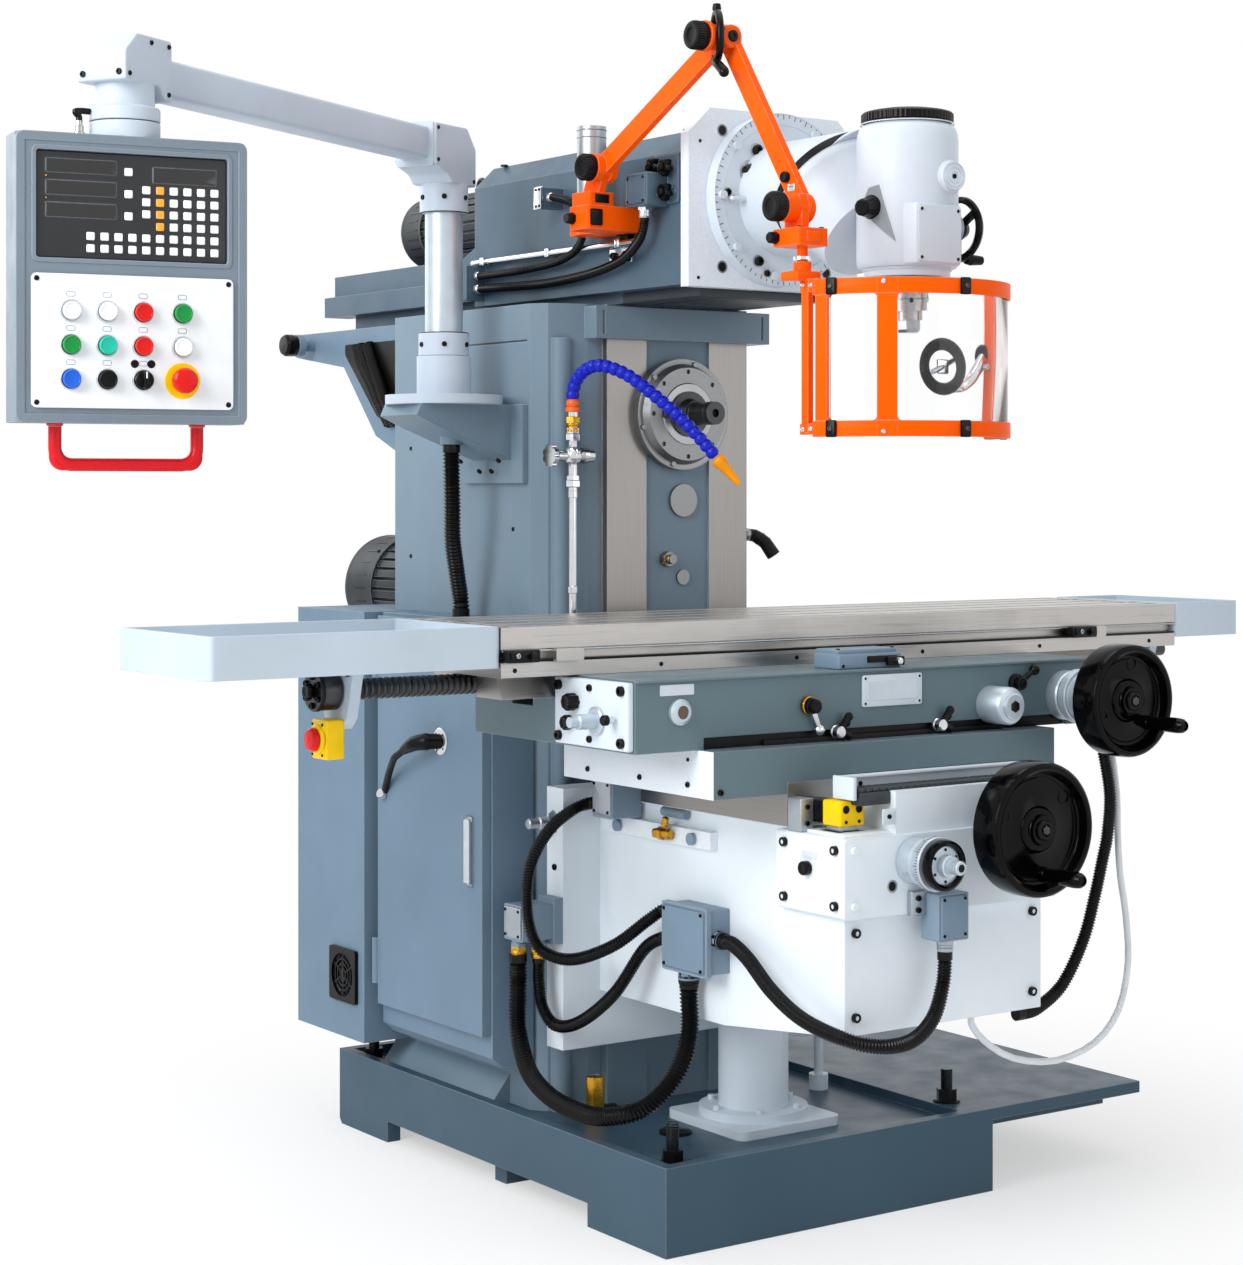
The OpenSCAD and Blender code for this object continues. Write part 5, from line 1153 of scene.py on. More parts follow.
    def _plate(self) -> None:
        """White film plate with its screws, blank legend frames and the button collars."""
        form = Form()
        x0, x1, z0, z1 = self.plate
        face = self.face
        self._front(form, (x0, z0), (x1, z1), (face - 3.7, face - 2.6), 8, 0)
        for x in (x0 + 8, x1 - 8):
            for z in (z0 + 8, z1 - 8):
                form.turned([(4.2, 0), (4.2, 1), (3.0, 2.2), (1.4, 2.4), (1.2, 1.2), (0, 1.2)],
                            (x, face - 3.4, z), -Y, 1, 24)
        for c, x in enumerate(self.columns):
            for r, z in enumerate(self.rows):
                if (c, r) == (3, 0):
                    continue
                form.turned([(17.4, 0), (17.4, 2), (16.2, 4.4), (15.6, 4.6), (15.0, 4.0),
                             (12.0, 3.6), (11.0, 0.6)], (x, face - 3.4, z), -Y, 2, 48)
                outline = rounded((x - 7, z + 21.5), (x + 7, z + 29.5), 2.6)
                self._border(form, outline, 0.9, (face - 4.1, face - 3.6), 3)
        for side in (-1, 1):
            form.turned([(6.4, 0), (6.4, 0.5), (0, 0.5)],
                        (self.columns[2] + side * 13, face - 3.5, self.rows[0] + 25), -Y, 3, 24)
        form.turned([(28, 0), (28, 1.4), (27, 2.2), (12, 2.4), (11.5, 0)],
                    (self.columns[3], face - 3.4, self.rows[0]), -Y, 4, 64)
        self._placed(form).build("button_plate", [PANEL_WHITE, BLACK_OXIDE, CHROME, BLACK_PLASTIC,
                                                  YELLOW_PLASTIC], "control_panel", "white_button")

    def _buttons(self, name: str, node: str, row: int, finishes: Sequence[Finish]) -> None:
        """Make the domed caps of a row, each with its stem, that replace the plain ones.

        Args:
            name: Name of the piece.
            node: The CAD row of buttons that it stands for.
            row: Number of the row from below.
            finishes: The caps' finishes from the left.
        """
        form = Form()
        for k, x in enumerate(self.columns[:len(finishes)]):
            form.turned([(9.9, -14), (9.9, 9.0), (13.8, 9.4), (14.2, 14), (13.2, 16.2),
                         (11.6, 16.9), (10.8, 16.2), (4, 15.4), (0, 15.2)],
                        (x, self.face, self.rows[row]), -Y, k, 48)
        self._placed(form).build(name, finishes, node, "white_button", [node])

    def _stop_button(self) -> None:
        """Red mushroom head on its stem over the yellow disc."""
        form = Form().turned([(9.9, -14), (9.9, 8), (13, 9), (19.4, 14), (20.0, 20), (19, 25),
                              (15.5, 28.4), (9, 29.6), (0, 30)],
                             (self.columns[3], self.face, self.rows[0]), -Y, 0, 64)
        self._placed(form).build("stop_mushroom", [RED_PLASTIC], "panel_stop_button",
                                 "red_button", ["panel_stop_button"])

    def _selector(self) -> None:
        """Black selector knob with a raised bar and its white pointer."""
        x, z, face = self.columns[2], self.rows[0], self.face
        form = Form().turned([(9.9, -14), (9.9, 8.4), (14.2, 9), (14.2, 15.6), (13, 17), (0, 17)],
                             (x, face, z), -Y, 0, 48)
        self._front(form, (x - 4, z - 13), (x + 4, z + 13), (face - 27, face - 15), 2.6, 0)
        self._front(form, (x - 1.1, z + 2), (x + 1.1, z + 12.4), (face - 27.5, face - 26), 0.8, 1)
        self._placed(form).build("selector_knob", [BLACK_PLASTIC, KEY_WHITE], "panel_selector",
                                 "black_phenolic", ["panel_selector"])

    def _grip(self) -> None:
        """Red tube over the panel's grip bar: down, round two corners and across."""
        half, low, top, bend = 112.0, 1354.0, 1419.0, 26.0
        corner = bend * np.stack([compass(angle)[:2] for angle in np.linspace(180, 270, 9)])
        left = np.array([-half + bend, low + bend]) + corner
        right = left[::-1] * np.array([-1, 1])
        line = np.vstack([[-half, top], left, right, [half, top]])
        path = np.stack([line[:, 0], np.full(len(line), -12.0), line[:, 1]], 1)
        form = Form().tube(resampled(path, 4), 10.2, 24)
        for x in (-half, half):
            form.turned([(13, 0), (13, 3), (11, 5)], (x, -12, 1418), -Z, 0, 32)
        self._placed(form).build("red_grip", [HANDLE_RED], "control_panel", "red_button")

    def _shell_trim(self) -> None:
        """Lid flange round the face, the seam behind it, and the cable gland on top."""
        form = Form()
        outer = rounded((-181, 1417), (181, 1859), 13)
        self._border(form, outer, 14, (self.face - 1.8, self.face + 14), 0)
        self._placed(form).build("panel_lid_flange", [PANEL_GREY], "control_panel",
                                 "dark_blue_grey_enamel")
        gland = Form().turned([(9, 0), (9, 8), (7, 9), (7, 18), (5.4, 19), (5.4, 26)],
                              (-74, -10, 1858), Z, 0, 24)
        path = smooth_path([(-74, -10, 1882), (-74, -10, 1890), (-80, -10, 1898), (-66, -6, 1900),
                            (-56, -4, 1900)], 6)
        gland.tube(path, 5.0, 16, 1)
        gland.turned([(45, 0.6), (54.4, 0.6), (55, 2), (55, 25.4), (53.8, 26.8), (45, 27)],
                     (0, 0, 1858), Z, 2, 96)
        self._placed(gland).build("panel_cable_gland", [GLAND_ALLOY, HOSE_BLACK, SILVER_PAINT],
                                  "control_panel", "black_conduit")


@dataclass(frozen=True)
class PendantArm:
    """The pendant's post, corner casting, square arm and elbow box with its collars."""

    post: Vec = (-420, 88, 0)
    elbow: Vec = (-1297.5, -414.5, 0)
    out: Vec = (-0.868, -0.497, 0)
    reach: float = 1011.0

    def build(self) -> None:
        """Make the arm that replaces the plain one, then its screws and dark seams."""
        form = Form()
        out, side = unit(self.out), np.cross(Z, unit(self.out))
        form.turned([(0, 1570.4), (47.4, 1570.4), (48.6, 1571.6), (48.6, 1612.6), (47.4, 1614),
                     (38, 1614.4)], self.post, Z, 0, 96)
        form.turned([(36.2, 1612), (36.2, 1846)], self.post, Z, 1, 96)
        form.turned([(36.6, 1844), (45, 1844.2), (46.2, 1845.4), (46.2, 1898)], self.post, Z, 0, 96)
        head = eased([(-48, 1896), (44, 1896), (60, 1912), (108, 1925), (108, 2003), (-14, 2006),
                      (-48, 1968)], 5)
        form.prism(head, (-44, 44), self.post, out, Z, 3, 0)
        form.prism(rounded((-40, 1921), (40, 2005), 5), (104, 112), self.post, side, Z, 1.5, 0)
        form.prism(rounded((-30, 1935), (30, 1995), 7), (108, self.reach - 58), self.post, side, Z, 1, 0)
        box = eased([(-60, 1922), (-42, 1925), (-30, 1944), (60, 1944), (60, 1990), (30, 2019),
                     (-60, 2019)], 5)
        form.prism(box, (-46, 46), self.elbow, out, Z, 3, 0)
        form.prism(rounded((-42, 1924), (42, 2017), 5), (self.reach - 66, self.reach - 58),
                   self.post, side, Z, 1.5, 0)
        form.turned([(0, 1886.6), (54, 1886.6), (55, 1888), (55, 1906), (53.6, 1907.8),
                     (47.6, 1909.4), (46.5, 1912), (46.5, 1946)], self.elbow, Z, 0, 96)
        self._screws(form, out, side)
        form.build("pendant_arm_casting", [SILVER_PAINT, DIAL_ALLOY, BLACK_OXIDE], "pendant_arm",
                   "light_grey_enamel", ["pendant_arm"])

    def _screws(self, form: Form, out: Grid, side: Grid) -> None:
        """Add socket screws to the collars and plates, and the joint seams.

        Args:
            form: Form that takes it in.
            out: Level direction along the arm.
            side: Level direction across it.
        """
        post, elbow = np.array(self.post, float), np.array(self.elbow, float)
        for a in range(0, 360, 60):
            away = compass(a)
            form.cap_screw(post + away * 48.6 + Z * 1592, away, 5, 2, 3)
            form.cap_screw(post + away * 46.2 + Z * 1872, away, 5, 2, 3)
        for z, r in ((1614.3, 48.0), (1844.6, 46.0)):
            form.torus(post + Z * z, Z, r - 1.4, 1.4, 2, 64, 8)
        for face in (-1, 1):
            for u, z in ((-52, 1934), (-52, 2009), (50, 1954), (-6, 2009)):
                form.cap_screw(elbow + out * u + side * face * 46 + Z * z, side * face, 4, 2, 2.4)
            for u, z in ((100, 1934), (100, 1994), (-38, 1906)):
                form.cap_screw(post + out * u + side * face * 44 + Z * z, side * face, 4, 2, 2.4)
        for v in (-34, 34):
            form.cap_screw(elbow + out * 60 + side * v + Z * 1956, out, 5, 2, 3)


# The guard, the coolant hose and the pieces of the upper half

@dataclass(frozen=True)
class GuardArm:
    """Knobs, clamp lever, washers and clips of the orange spindle guard and its jointed arm."""

    low: Vec = (-285, -250, 1905)
    mid: Vec = (-285, -615, 2091)
    top: Vec = (-285, -821, 1781)
    centre: Vec = (-90, -830)
    radius: float = 201.0

    def build(self) -> None:
        """Make the pieces of each link."""
        self._low_joint()
        self._mid_joint()
        self._wrist()
        self._screen()

    def _low_joint(self) -> None:
        """Black knob, the far washer and the cleat of the lower joint."""
        form = Form()
        grip_knob(form, (-309, *self.low[1:]), -X, 25, 23, 36, 0.05)
        form.turned([(26, 0), (26, 12), (23, 15), (9, 15)], (-278, *self.low[1:]), X, 1, 64)
        form.cap_screw((-263, *self.low[1:]), X, 9, 0, 6)
        form.block((-300, -252.5, 1842), (-270, -249.6, 1858), 2, 0)
        form.build("low_joint_knob", [BLACK_PLASTIC, GUARD_ORANGE], "guard_link_low", "orange_enamel")
        base = Form()
        gland(base, (-319.2, -206, 1815), -X, 11, 0)
        base.block((-312, -253.5, 1800), (-286, -251.6, 1830), 3, 0, 1)
        base.cap_screws(-306, (-240, -202), 1836.6, Z, 5, 0, 3.4)
        for z, r in ((1989.0, 28.2), (1975.0, 28.0), (1850.0, 28.6)):
            base.torus((-240, -150, z), Z, r - 1.0, 1.4, 1, 64, 10)
        base.build("guard_post_rings", [BLACK_OXIDE, BRIGHT_STEEL], "ram", "black_oxide_steel")

    def _mid_joint(self) -> None:
        """End knob, washers and the looped clamp lever of the elbow."""
        form = Form()
        grip_knob(form, (-325, *self.mid[1:]), -X, 25, 27, 36, 0.05)
        form.turned([(27, 0), (27, 6), (24, 8), (20, 8)], (-325, *self.mid[1:]), X, 1, 64)
        form.turned([(24.5, 0), (24.5, 3), (22, 5), (9, 5)], (-264, *self.mid[1:]), X, 1, 64)
        form.cap_screw((-259.2, *self.mid[1:]), X, 8, 0, 6)
        angle = np.radians(np.linspace(0, 360, 64, endpoint=False))
        spoke = unit([0.45, 0.9, 0])
        path = np.array([-296.0, self.mid[1], self.mid[2] + 2]) + np.outer(
            34 * np.cos(angle), spoke) + np.outer(41 * np.sin(angle), Z)
        form.tube(np.vstack([path, path[:2]]), 6.6, 14)
        tail = smooth_path([(-300, -613, 2052), (-309, -628, 2046), (-313, -644, 2038),
                            (-313, -658, 2026)], 6)
        form.tube(tail, np.linspace(6.4, 9.0, len(tail)), 16)
        form.ball((-313, -658, 2025), 9.0)
        form.tube(np.array([(-296, -615, 2132), (-296, -615, 2141), (-296, -615, 2149.0)]),
                  np.array([5.5, 8.0, 6.5]), 16)
        form.turned([(20, 0), (20, 6), (17.6, 8.4), (10, 8.8)], (-284, -636, self.mid[2]), -Y, 1, 48)
        form.turned([(10.5, 0), (10.5, 2.6), (8.6, 4), (4.4, 4), (4, 2), (0, 2)],
                    (-284, -644.4, self.mid[2]), -Y, 0, 32)
        form.build("elbow_clamp", [BLACK_PLASTIC, GUARD_ORANGE], "guard_link_high", "orange_enamel")

    def _wrist(self) -> None:
        """Knobs and washers of the wrist, and the block's cable gland."""
        form = Form()
        along = unit(np.array(self.mid) - self.top)
        spot = np.array(self.top, float) + along * 66
        grip_knob(form, (-277.5, spot[1], spot[2]), -X, 9.5, 9, 0)
        spot = np.array(self.top, float) + along * 44
        form.block((-278.6, spot[1] - 9, spot[2] - 6), (-277.0, spot[1] + 9, spot[2] + 6), 0.7, 1)
        form.build("link_stud", [BLACK_PLASTIC, CHROME], "guard_link_high", "black_phenolic")
        wrist = Form()
        grip_knob(wrist, (-319, *self.top[1:]), -X, 25, 23, 36, 0.05)
        wrist.turned([(25, 0), (25, 13), (22, 16), (9, 16)], (-278, *self.top[1:]), X, 1, 64)
        wrist.cap_screw((-262, *self.top[1:]), X, 8, 0, 6)
        gland(wrist, (-317, -806, 1731), -X, 10.5, 0)
        for x, y in ((-308, -856), (-262, -856), (-262, -804)):
            wrist.cap_screw((x, y, 1744.6), Z, 4.5, 0, 3)
        wrist.block((-300, -866.6, 1722), (-270, -864.6, 1740), 2, 1, 1)
        wrist.turned([(15.6, 0), (15.6, 5)], (-285, -835, 1694), Z, 2, 48)
        wrist.build("wrist_knob", [BLACK_PLASTIC, GUARD_ORANGE, CHROME], "guard_wrist", "orange_enamel")

    def _screen(self) -> None:
        """Clips, screws, hinge pins and the inner sill of the curved screen."""
        form = Form()
        for angle, z in ((201, 1647), (266, 1647), (201, 1415), (266, 1415), (338, 1647), (338, 1415)):
            out = compass(angle)
            side = np.array([-out[1], out[0], 0])
            at = np.array([*self.centre, z]) + out * self.radius
            form.prism(rounded((-9, -14), (9, 14), 3), (-3, 6), at, side, Z, 1.5, 0)
            form.cap_screw(at + out * 6, out, 4, 2, 2.6)
        for angle, z in ((184, 1652), (189, 1651), (184, 1414), (189, 1415), (226, 1652),
                         (226, 1410), (347, 1652), (347, 1410)):
            out = compass(angle)
            form.turned([(4.4, -1), (4.4, 1.6), (3.2, 3.2), (0.4, 3.8)],
                        np.array([*self.centre, z]) + out * self.radius, out, 1, 20)
        form.turned([(7, 0), (7, 10), (5, 13), (5, 22)], (-285, -835, 1666), Z, 1, 24)
        form.build("screen_clips", [BLACK_PLASTIC, CHROME, DARK_STEEL], "spindle_guard",
                   "black_phenolic")


@dataclass(frozen=True)
class CoolantHose:
    """The ball-segment hose: one moulded link after another along its route, then the nozzle."""

    route: tuple[Vec, ...] = (
        (-252, -104, 1462.3), (-252, -104, 1500), (-250, -126, 1532), (-240, -170, 1548),
        (-214, -220, 1532), (-182, -264, 1494), (-146, -300, 1450), (-112, -326, 1406),
        (-88, -342, 1372))
    pitch: float = 16.5
    radius: float = 12.6

    def build(self) -> None:
        """Place a ball with its socket skirt at every pitch, facing along the route."""
        path = resampled(smooth_path(self.route, 12), self.pitch)
        along, form = np.gradient(path, axis=0), Form()
        r = self.radius
        link = [(r * 0.62, -9.5), (r * 0.72, -9), (r * 0.86, -6.5), (r * 0.98, -3), (r, 0),
                (r * 0.97, 3), (r * 0.86, 6.5), (r * 0.66, 8.2), (r * 0.6, 9.5)]
        for k, (at, way) in enumerate(zip(path[1:-1], along[1:-1])):
            form.turned(link, at, way, 1 if k == 0 else 0, 28)
        tip, way = path[-1], unit(path[-1] - path[-2])
        form.turned([(10, -4), (13, 0), (13.6, 5), (13.2, 10), (10.6, 17), (6.6, 52), (5.4, 60),
                     (3.4, 60), (3.4, 50), (0, 50)], tip, way, 2, 36)
        form.turned([(13.2, 0), (13.8, 2), (13.8, 7), (13.2, 9)], self.route[0], Z, 1, 36)
        form.build("ball_segment_hose", [BLUE_PLASTIC, ORANGE_PLASTIC, NOZZLE_PLASTIC],
                   "coolant_hose", "blue_plastic", ("coolant_hose",))
        tap = Form()
        for at, radius, count, finish in (
                ((-252, -104, 1440), 14.5, 6, 0), ((-252, -104, 1408), 15, 6, 1),
                ((-252, -104, 1320), 14.5, 6, 1)):
            tap.turned([(radius * 0.9, 0), (radius, 1.5), (radius, 12.5), (radius * 0.9, 14)],
                       at, Z, finish, count)
        tap.turned([(12.6, 0), (12.6, 6), (11, 8), (11, 12), (12.4, 13), (12.4, 16)],
                   (-252, -104, 1424), Z, 0, 32)
        tap.turned([(15.5, 0), (15.5, 10), (13, 12), (12, 24)], (-232, -104, 1380), X, 1, 32)
        tap.torus((-252, -104, 1380), X, 18.2, 1.6, 1, 40, 10)
        for z in (1300, 1120, 1040):
            tap.turned([(8.6, 0), (9.4, 1), (9.4, 13), (8.6, 14)], (-252, -104, z), Z, 1, 24)
            tap.block((-256, -97, z + 2), (-248, -90, z + 12), 1, 1)
        tap.build("tap_unions", [BRASS, CHROME], "machine_frame", "brass")


@dataclass(frozen=True)
class SpindleNose:
    """Screws, keys and steps of the horizontal spindle's flange, and its arbor's details."""

    height: float = 1462.0
    flange: float = 114.0

    def build(self) -> None:
        """Ring of flange screws, stepped collars and the two driving keys."""
        form, axis = Form(), np.array([0.0, 0.0, self.height])
        seat = axis - Y * self.flange
        for k in range(6):
            form.cap_screw(around(seat, -Y, 89, 60 * k + 15), -Y, 6.6, 1, 1.2)
            form.turned([(8.6, -0.5), (8.6, 0.5), (7.4, 0.9), (7.0, 0.4)],
                        around(seat, -Y, 89, 60 * k + 15), -Y, 2, 28)
        form.turned([(107.4, 0), (107.4, 0.5), (98, 0.9), (97, 0.4), (96, 0.9), (78, 0.9),
                     (77, 0.2)], seat, -Y, 0, 96)
        form.turned([(77, 0), (76.6, 7), (74, 9.5), (68, 9.5), (67, 8.5), (66, 9.5), (62.5, 9.5),
                     (62.5, 0)], seat, -Y, 2, 96)
        form.build("spindle_flange_steps", [FLANGE_STEEL, BLACK_OXIDE, BRIGHT_STEEL],
                   "machine_frame", "bright_steel")
        nose = Form()
        for k in range(8):
            nose.cap_screw(around(axis - Y * 129.6, -Y, 49, 45 * k + 22), -Y, 4.6, 1, 1)
        for side in (-1, 1):
            nose.block((side * 52 - 9, -136, 1455), (side * 52 + 9, -128, 1469), 1.6, 1, 1)
        nose.turned([(60, 0), (60.4, 0.6), (58.5, 2), (40, 2.2), (38.6, 0.4)], axis - Y * 129.4,
                    -Y, 0, 96)
        nose.turned([(37.4, 0), (37.4, 1.4), (31, 3), (26, 3), (22.2, 1)], axis - Y * 130, -Y, 1, 72)
        nose.torus(axis - Y * 158, -Y, 20.8, 2.2, 1, 48, 10)
        nose.torus(axis - Y * 205, -Y, 20.6, 2.0, 1, 48, 10)
        nose.build("spindle_nose_keys", [BRIGHT_STEEL, DARK_STEEL], "horizontal_spindle",
                   "black_oxide_steel")


@dataclass(frozen=True)
class ColumnDetails:
    """Sight disc, plugs, elbow grip and tapped holes on the column's front and sides."""

    front: float = -74.0

    def build(self) -> None:
        """Make the small metal fittings that show on the column."""
        form, face = Form(), self.front
        form.turned([(33, -1), (33, 1.2), (31, 2), (12, 1.8), (11, 1.2), (5, 1.2)],
                    (13, face - 1, 1295), -Y, 0, 64)
        form.cap_screw((13, face - 1.8, 1295), -Y, 4.4, 3, 2)
        form.turned([(15, 0), (15, 12), (12, 14)], (-27, face - 16, 1181), -Y, 1, 6)
        form.turned([(15.6, 0), (15.6, 3), (14, 4)], (-27, face, 1181), -Y, 1, 40)
        form.turned([(9.6, 0), (9.6, 10), (8, 12), (3, 12), (3, 9), (0, 9)], (-27, face - 28, 1181),
                    -Y, 1, 32)
        form.turned([(16, -1), (16, 1.4), (14, 2.4), (6, 2.4), (5, 1), (0, 1)],
                    (14, face - 4.4, 1145), -Y, 2, 40)
        for x, z in ((-46, 1102), (54, 1352)):
            form.cap_screw((x, face + 0.4, z), -Y, 4, 3, 1.4)
        lever = smooth_path([(196, -62, 1226), (210, -66, 1224), (232, -76, 1208), (246, -84, 1184)], 6)
        form.tube(lever, np.linspace(12, 14, len(lever)), 18, 4)
        for k in (0.3, 0.5, 0.7):
            at = lever[int(k * (len(lever) - 1))]
            form.torus(at, lever[-1] - lever[0], 12.6, 1.6, 4, 32, 8)
        form.build("column_plugs", [FLANGE_STEEL, BRASS, COLUMN_PAINT, BLACK_OXIDE, BLACK_RUBBER],
                   "machine_frame", "brass")
        side = Form()
        for y, z in ((246, 1434), (200, 1432)):
            side.cap_screw((-300, y, z), -X, 9, 0, 9)
        for y, z in ((420, 1400), (420, 1180), (30, 1240), (30, 900)):
            side.cap_screw((-299.6, y, z), -X, 4.5, 0, 2)
        for y in (18, 66, 110, 158):
            side.cap_screw((-340, y, 1372) if y in (18, 158) else (-326, y, 1352),
                           (-0.7, 0, -0.7), 5.5, 0, 4)
        side.turned([(16, 0), (22, 2), (24, 8), (24, 24), (20, 30), (0, 31)], (-314, 900, 1632), -X,
                    1, 40)
        side.turned([(8, 0), (8, 20)], (-300, 900, 1632), -X, 0, 20)
        side.build("column_side_screws", [BLACK_OXIDE, BLACK_PLASTIC], "machine_frame",
                   "black_oxide_steel")


@dataclass(frozen=True)
class RamDetails:
    """Face plate screws, swivel scale, plugs, star knobs and the side boxes of the ram."""

    front: float = -400.0
    swivel: Vec = (0, -426.3, 1849.0)

    def build(self) -> None:
        """Make the ram's and the swivel's small pieces."""
        self._duct()
        self._plate()
        self._side()
        self._swivel()

    def _duct(self) -> None:
        """Black sheet at the rear duct's opening under the ram, painted shade for its dark inside, with
        the three conduits that show in it.
        """
        duct = Form()
        # A flat black sheet stands where there is only shade inside the duct: painted shade.
        duct.prism(eased([(-752, 1606), (-612, 1470), (-512, 1440), (-512, 1628), (-752, 1628)], 6),
                   (0, 1.4), (-270, 0, 0), -Y, Z, 0, 0)
        for shift, r in ((0, 14), (34, 12), (62, 9)):
            line = resampled(smooth_path([
                (-276, 640 + shift, 1622), (-280, 616 + shift, 1590), (-282, 578 + shift * 0.8, 1540),
                (-282, 546 + shift * 0.7, 1492), (-276, 522 + shift * 0.6, 1452)], 10), 1.2)
            run = np.arange(len(line)) * 1.2
            duct.tube(line, r - 0.1 * r * (1 - np.cos(2 * math.pi * run / 6)), 16, 1)
        duct.build("duct_shade_and_conduits", [BLACK_RUBBER, HOSE_BLACK], "machine_frame", "black_conduit")

    def _plate(self) -> None:
        """Dark slab between the ram's ways, and cap screws sunk in the front plate's corners."""
        slab = Form()
        slab.block((-151.4, -371.4, 1670.15), (151.4, -124, 1689.6), 1.2, 0, 2)
        slab.block((-96, -362, 1668.6), (96, -150, 1671), 1.0, 0, 2)
        slab.build("ram_way_slab", [COVER_DARK], "ram", "motor_black")
        form = Form()
        for x, z in ((-122, 1971), (122, 1971), (-122, 1722), (122, 1722)):
            form.turned([(11.5, -0.5), (11.5, 0.6), (9.6, 0.9), (9.2, 0.2)], (x, self.front, z), -Y, 1, 32)
            form.cap_screw((x, self.front, z), -Y, 8.6, 0, 1)
        for x, z in ((-172, 1948), (-176, 1700), (172, 1948), (176, 1700)):
            form.cap_screw((x, self.front, z), -Y, 3.4, 0, 1)
        form.build("plate_screws", [BLACK_OXIDE, FLANGE_STEEL], "ram", "black_oxide_steel")

    def _side(self) -> None:
        """Four star knobs, brass couplings, a silver gland and a bracket on the left side."""
        form = Form()
        for y, z in ((-308, 1908), (-346, 1903), (-308, 1862), (-346, 1858)):
            form.turned([(9, 0), (9, 14)], (-190, y, z), -X, 4, 24)
            grip_knob(form, (-204, y, z), -X, 17, 16, 5, 0.34)
            form.turned([(8, 0), (7, 6), (3, 8)], (-219, y, z), -X, 0, 24)
        form.block((-196, -366, 1838), (-189, -286, 1930), 4, 3, 0)
        form.block((-243.4, -333, 1833), (-190, -267, 1895), 5, 3, 0)
        form.block((-245.4, -329, 1838), (-243.2, -271, 1890), 4, 3, 0)
        form.cap_screws(-245, (-324, -276), (1843, 1885), -X, 3, 0, 2)
        for y, z in ((-252, 1876), (-262, 1876), (-252, 1862)):
            form.turned([(5.5, 0), (5.5, 8), (4, 10), (4, 16)], (-212, y, z), -X, 1, 6)
        form.block((-214, -268, 1850), (-190, -244, 1886), 3, 3, 0)
        form.block((-216.4, -252, 1842), (-213, -236, 1858), 1.5, 5, 0)
        gland(form, (-224, -300, 1835.6), -Z, 15, 2)
        form.block((-205, -218, 1772), (-190, -178, 1800), 2.5, 0, 0)
        form.block((-200, -222, 1740), (-190, -150, 1770), 2.5, 2, 0)
        form.cap_screws(-200, (-206, -166), 1755, -X, 7, 0, 6)
        gland(form, (-214, 307, 1722), -Y, 11, 2)
        gland(form, (-214, 307, 1748), -Y, 10, 2)
        gland(form, (-226, 20.4, 1880), -Y, 10, 2)
        form.block((-243, 18, 1858), (-241.6, 46, 1902), 3, 2, 0)
        form.cap_screws(-243, (26, 38), (1864, 1896), -X, 2.6, 0, 2)
        form.tube([(-206.0, -240, 1776), (-206, 60, 1776), (-206, 330, 1776)], 6.5, 16, 2)
        for y in (-200, 40, 280):
            form.block((-214, y, 1768), (-189, y + 14, 1785), 2, 2, 0)
        form.cap_screw((0, -150, 1976), Z, 16, 0, 8)
        for x, y in ((-150, -330), (150, -330), (-150, 300), (150, 300)):
            form.cap_screw((x, y, 1975.6), Z, 8, 0, 3)
        form.build("ram_side_fittings", [BLACK_PLASTIC, BRASS, CHROME, RAM_PAINT, BRIGHT_STEEL,
                                         WHITE_PLASTIC], "ram", "black_phenolic")

    def _swivel(self) -> None:
        """Degree marks, plugs, lock pin and the dark band at the head's 45 degree seam."""
        form, axis = Form(), np.array(self.swivel)
        for k in range(72):
            long = 5 if k % 2 else 9
            at = around(axis, -Y, 157 - long / 2, 5 * k)
            out = unit(at - axis)
            form.prism(rounded((-long / 2, -0.7), (long / 2, 0.7), 0.4, 1), (-0.4, 0.4), at, out,
                       np.cross(-Y, out), 0, 4)
        form.torus(axis + Y * 0.2, -Y, 158.4, 1.2, 2, 128, 8)
        form.torus(axis + Y * 0.2, -Y, 138, 0.8, 2, 128, 8)
        for x, z, r in ((-80, 1895, 17), (-64, 1936, 10), (-131, 1855, 7), (-60, 1733, 9),
                        (-40, 1712, 6), (118, 1790, 12)):
            form.turned([(r * 1.3, -0.5), (r * 1.3, 1.2), (r * 1.1, 2)], (x, -426, z), -Y, 1, 36)
            form.turned([(r, 0), (r, r * 0.8), (r * 0.8, r), (r * 0.5, r), (r * 0.5, r * 0.5),
                         (0, r * 0.5)], (x, -426, z), -Y, 0, 6 if r == 17 else 32)
        form.tube([(-132.0, -444, 1842), (-60, -444, 1844)], 6, 20, 3)
        form.turned([(6, 0), (6, 4), (3, 6)], (-132, -444, 1842), (-1, 0, -0.03), 3, 20)
        form.block((-74, -446, 1834), (-58, -425.6, 1853), 3, 1, 1)
        form.build("swivel_scale", [BLACK_OXIDE, BRIGHT_STEEL, WHITE_PAINT, CHROME, DARK_STEEL],
                   "head_swivel", "white_enamel")
        band = Form()
        way = np.array([0, 1, 1]) / math.sqrt(2)
        band.turned([(123.6, 1), (125.6, 1.6), (126, 4), (126, 14), (125.6, 16.4), (123.6, 17)],
                    (0, -590, 1849), way, 0, 128)
        for k in range(10):
            band.cap_screw(around(np.array([0, -590, 1849.0]) + way * 18, way, 113, 36 * k), way, 6, 0, 5)
        band.build("tilt_seam_band", [BLACK_RUBBER], "head_swivel", "black_phenolic")


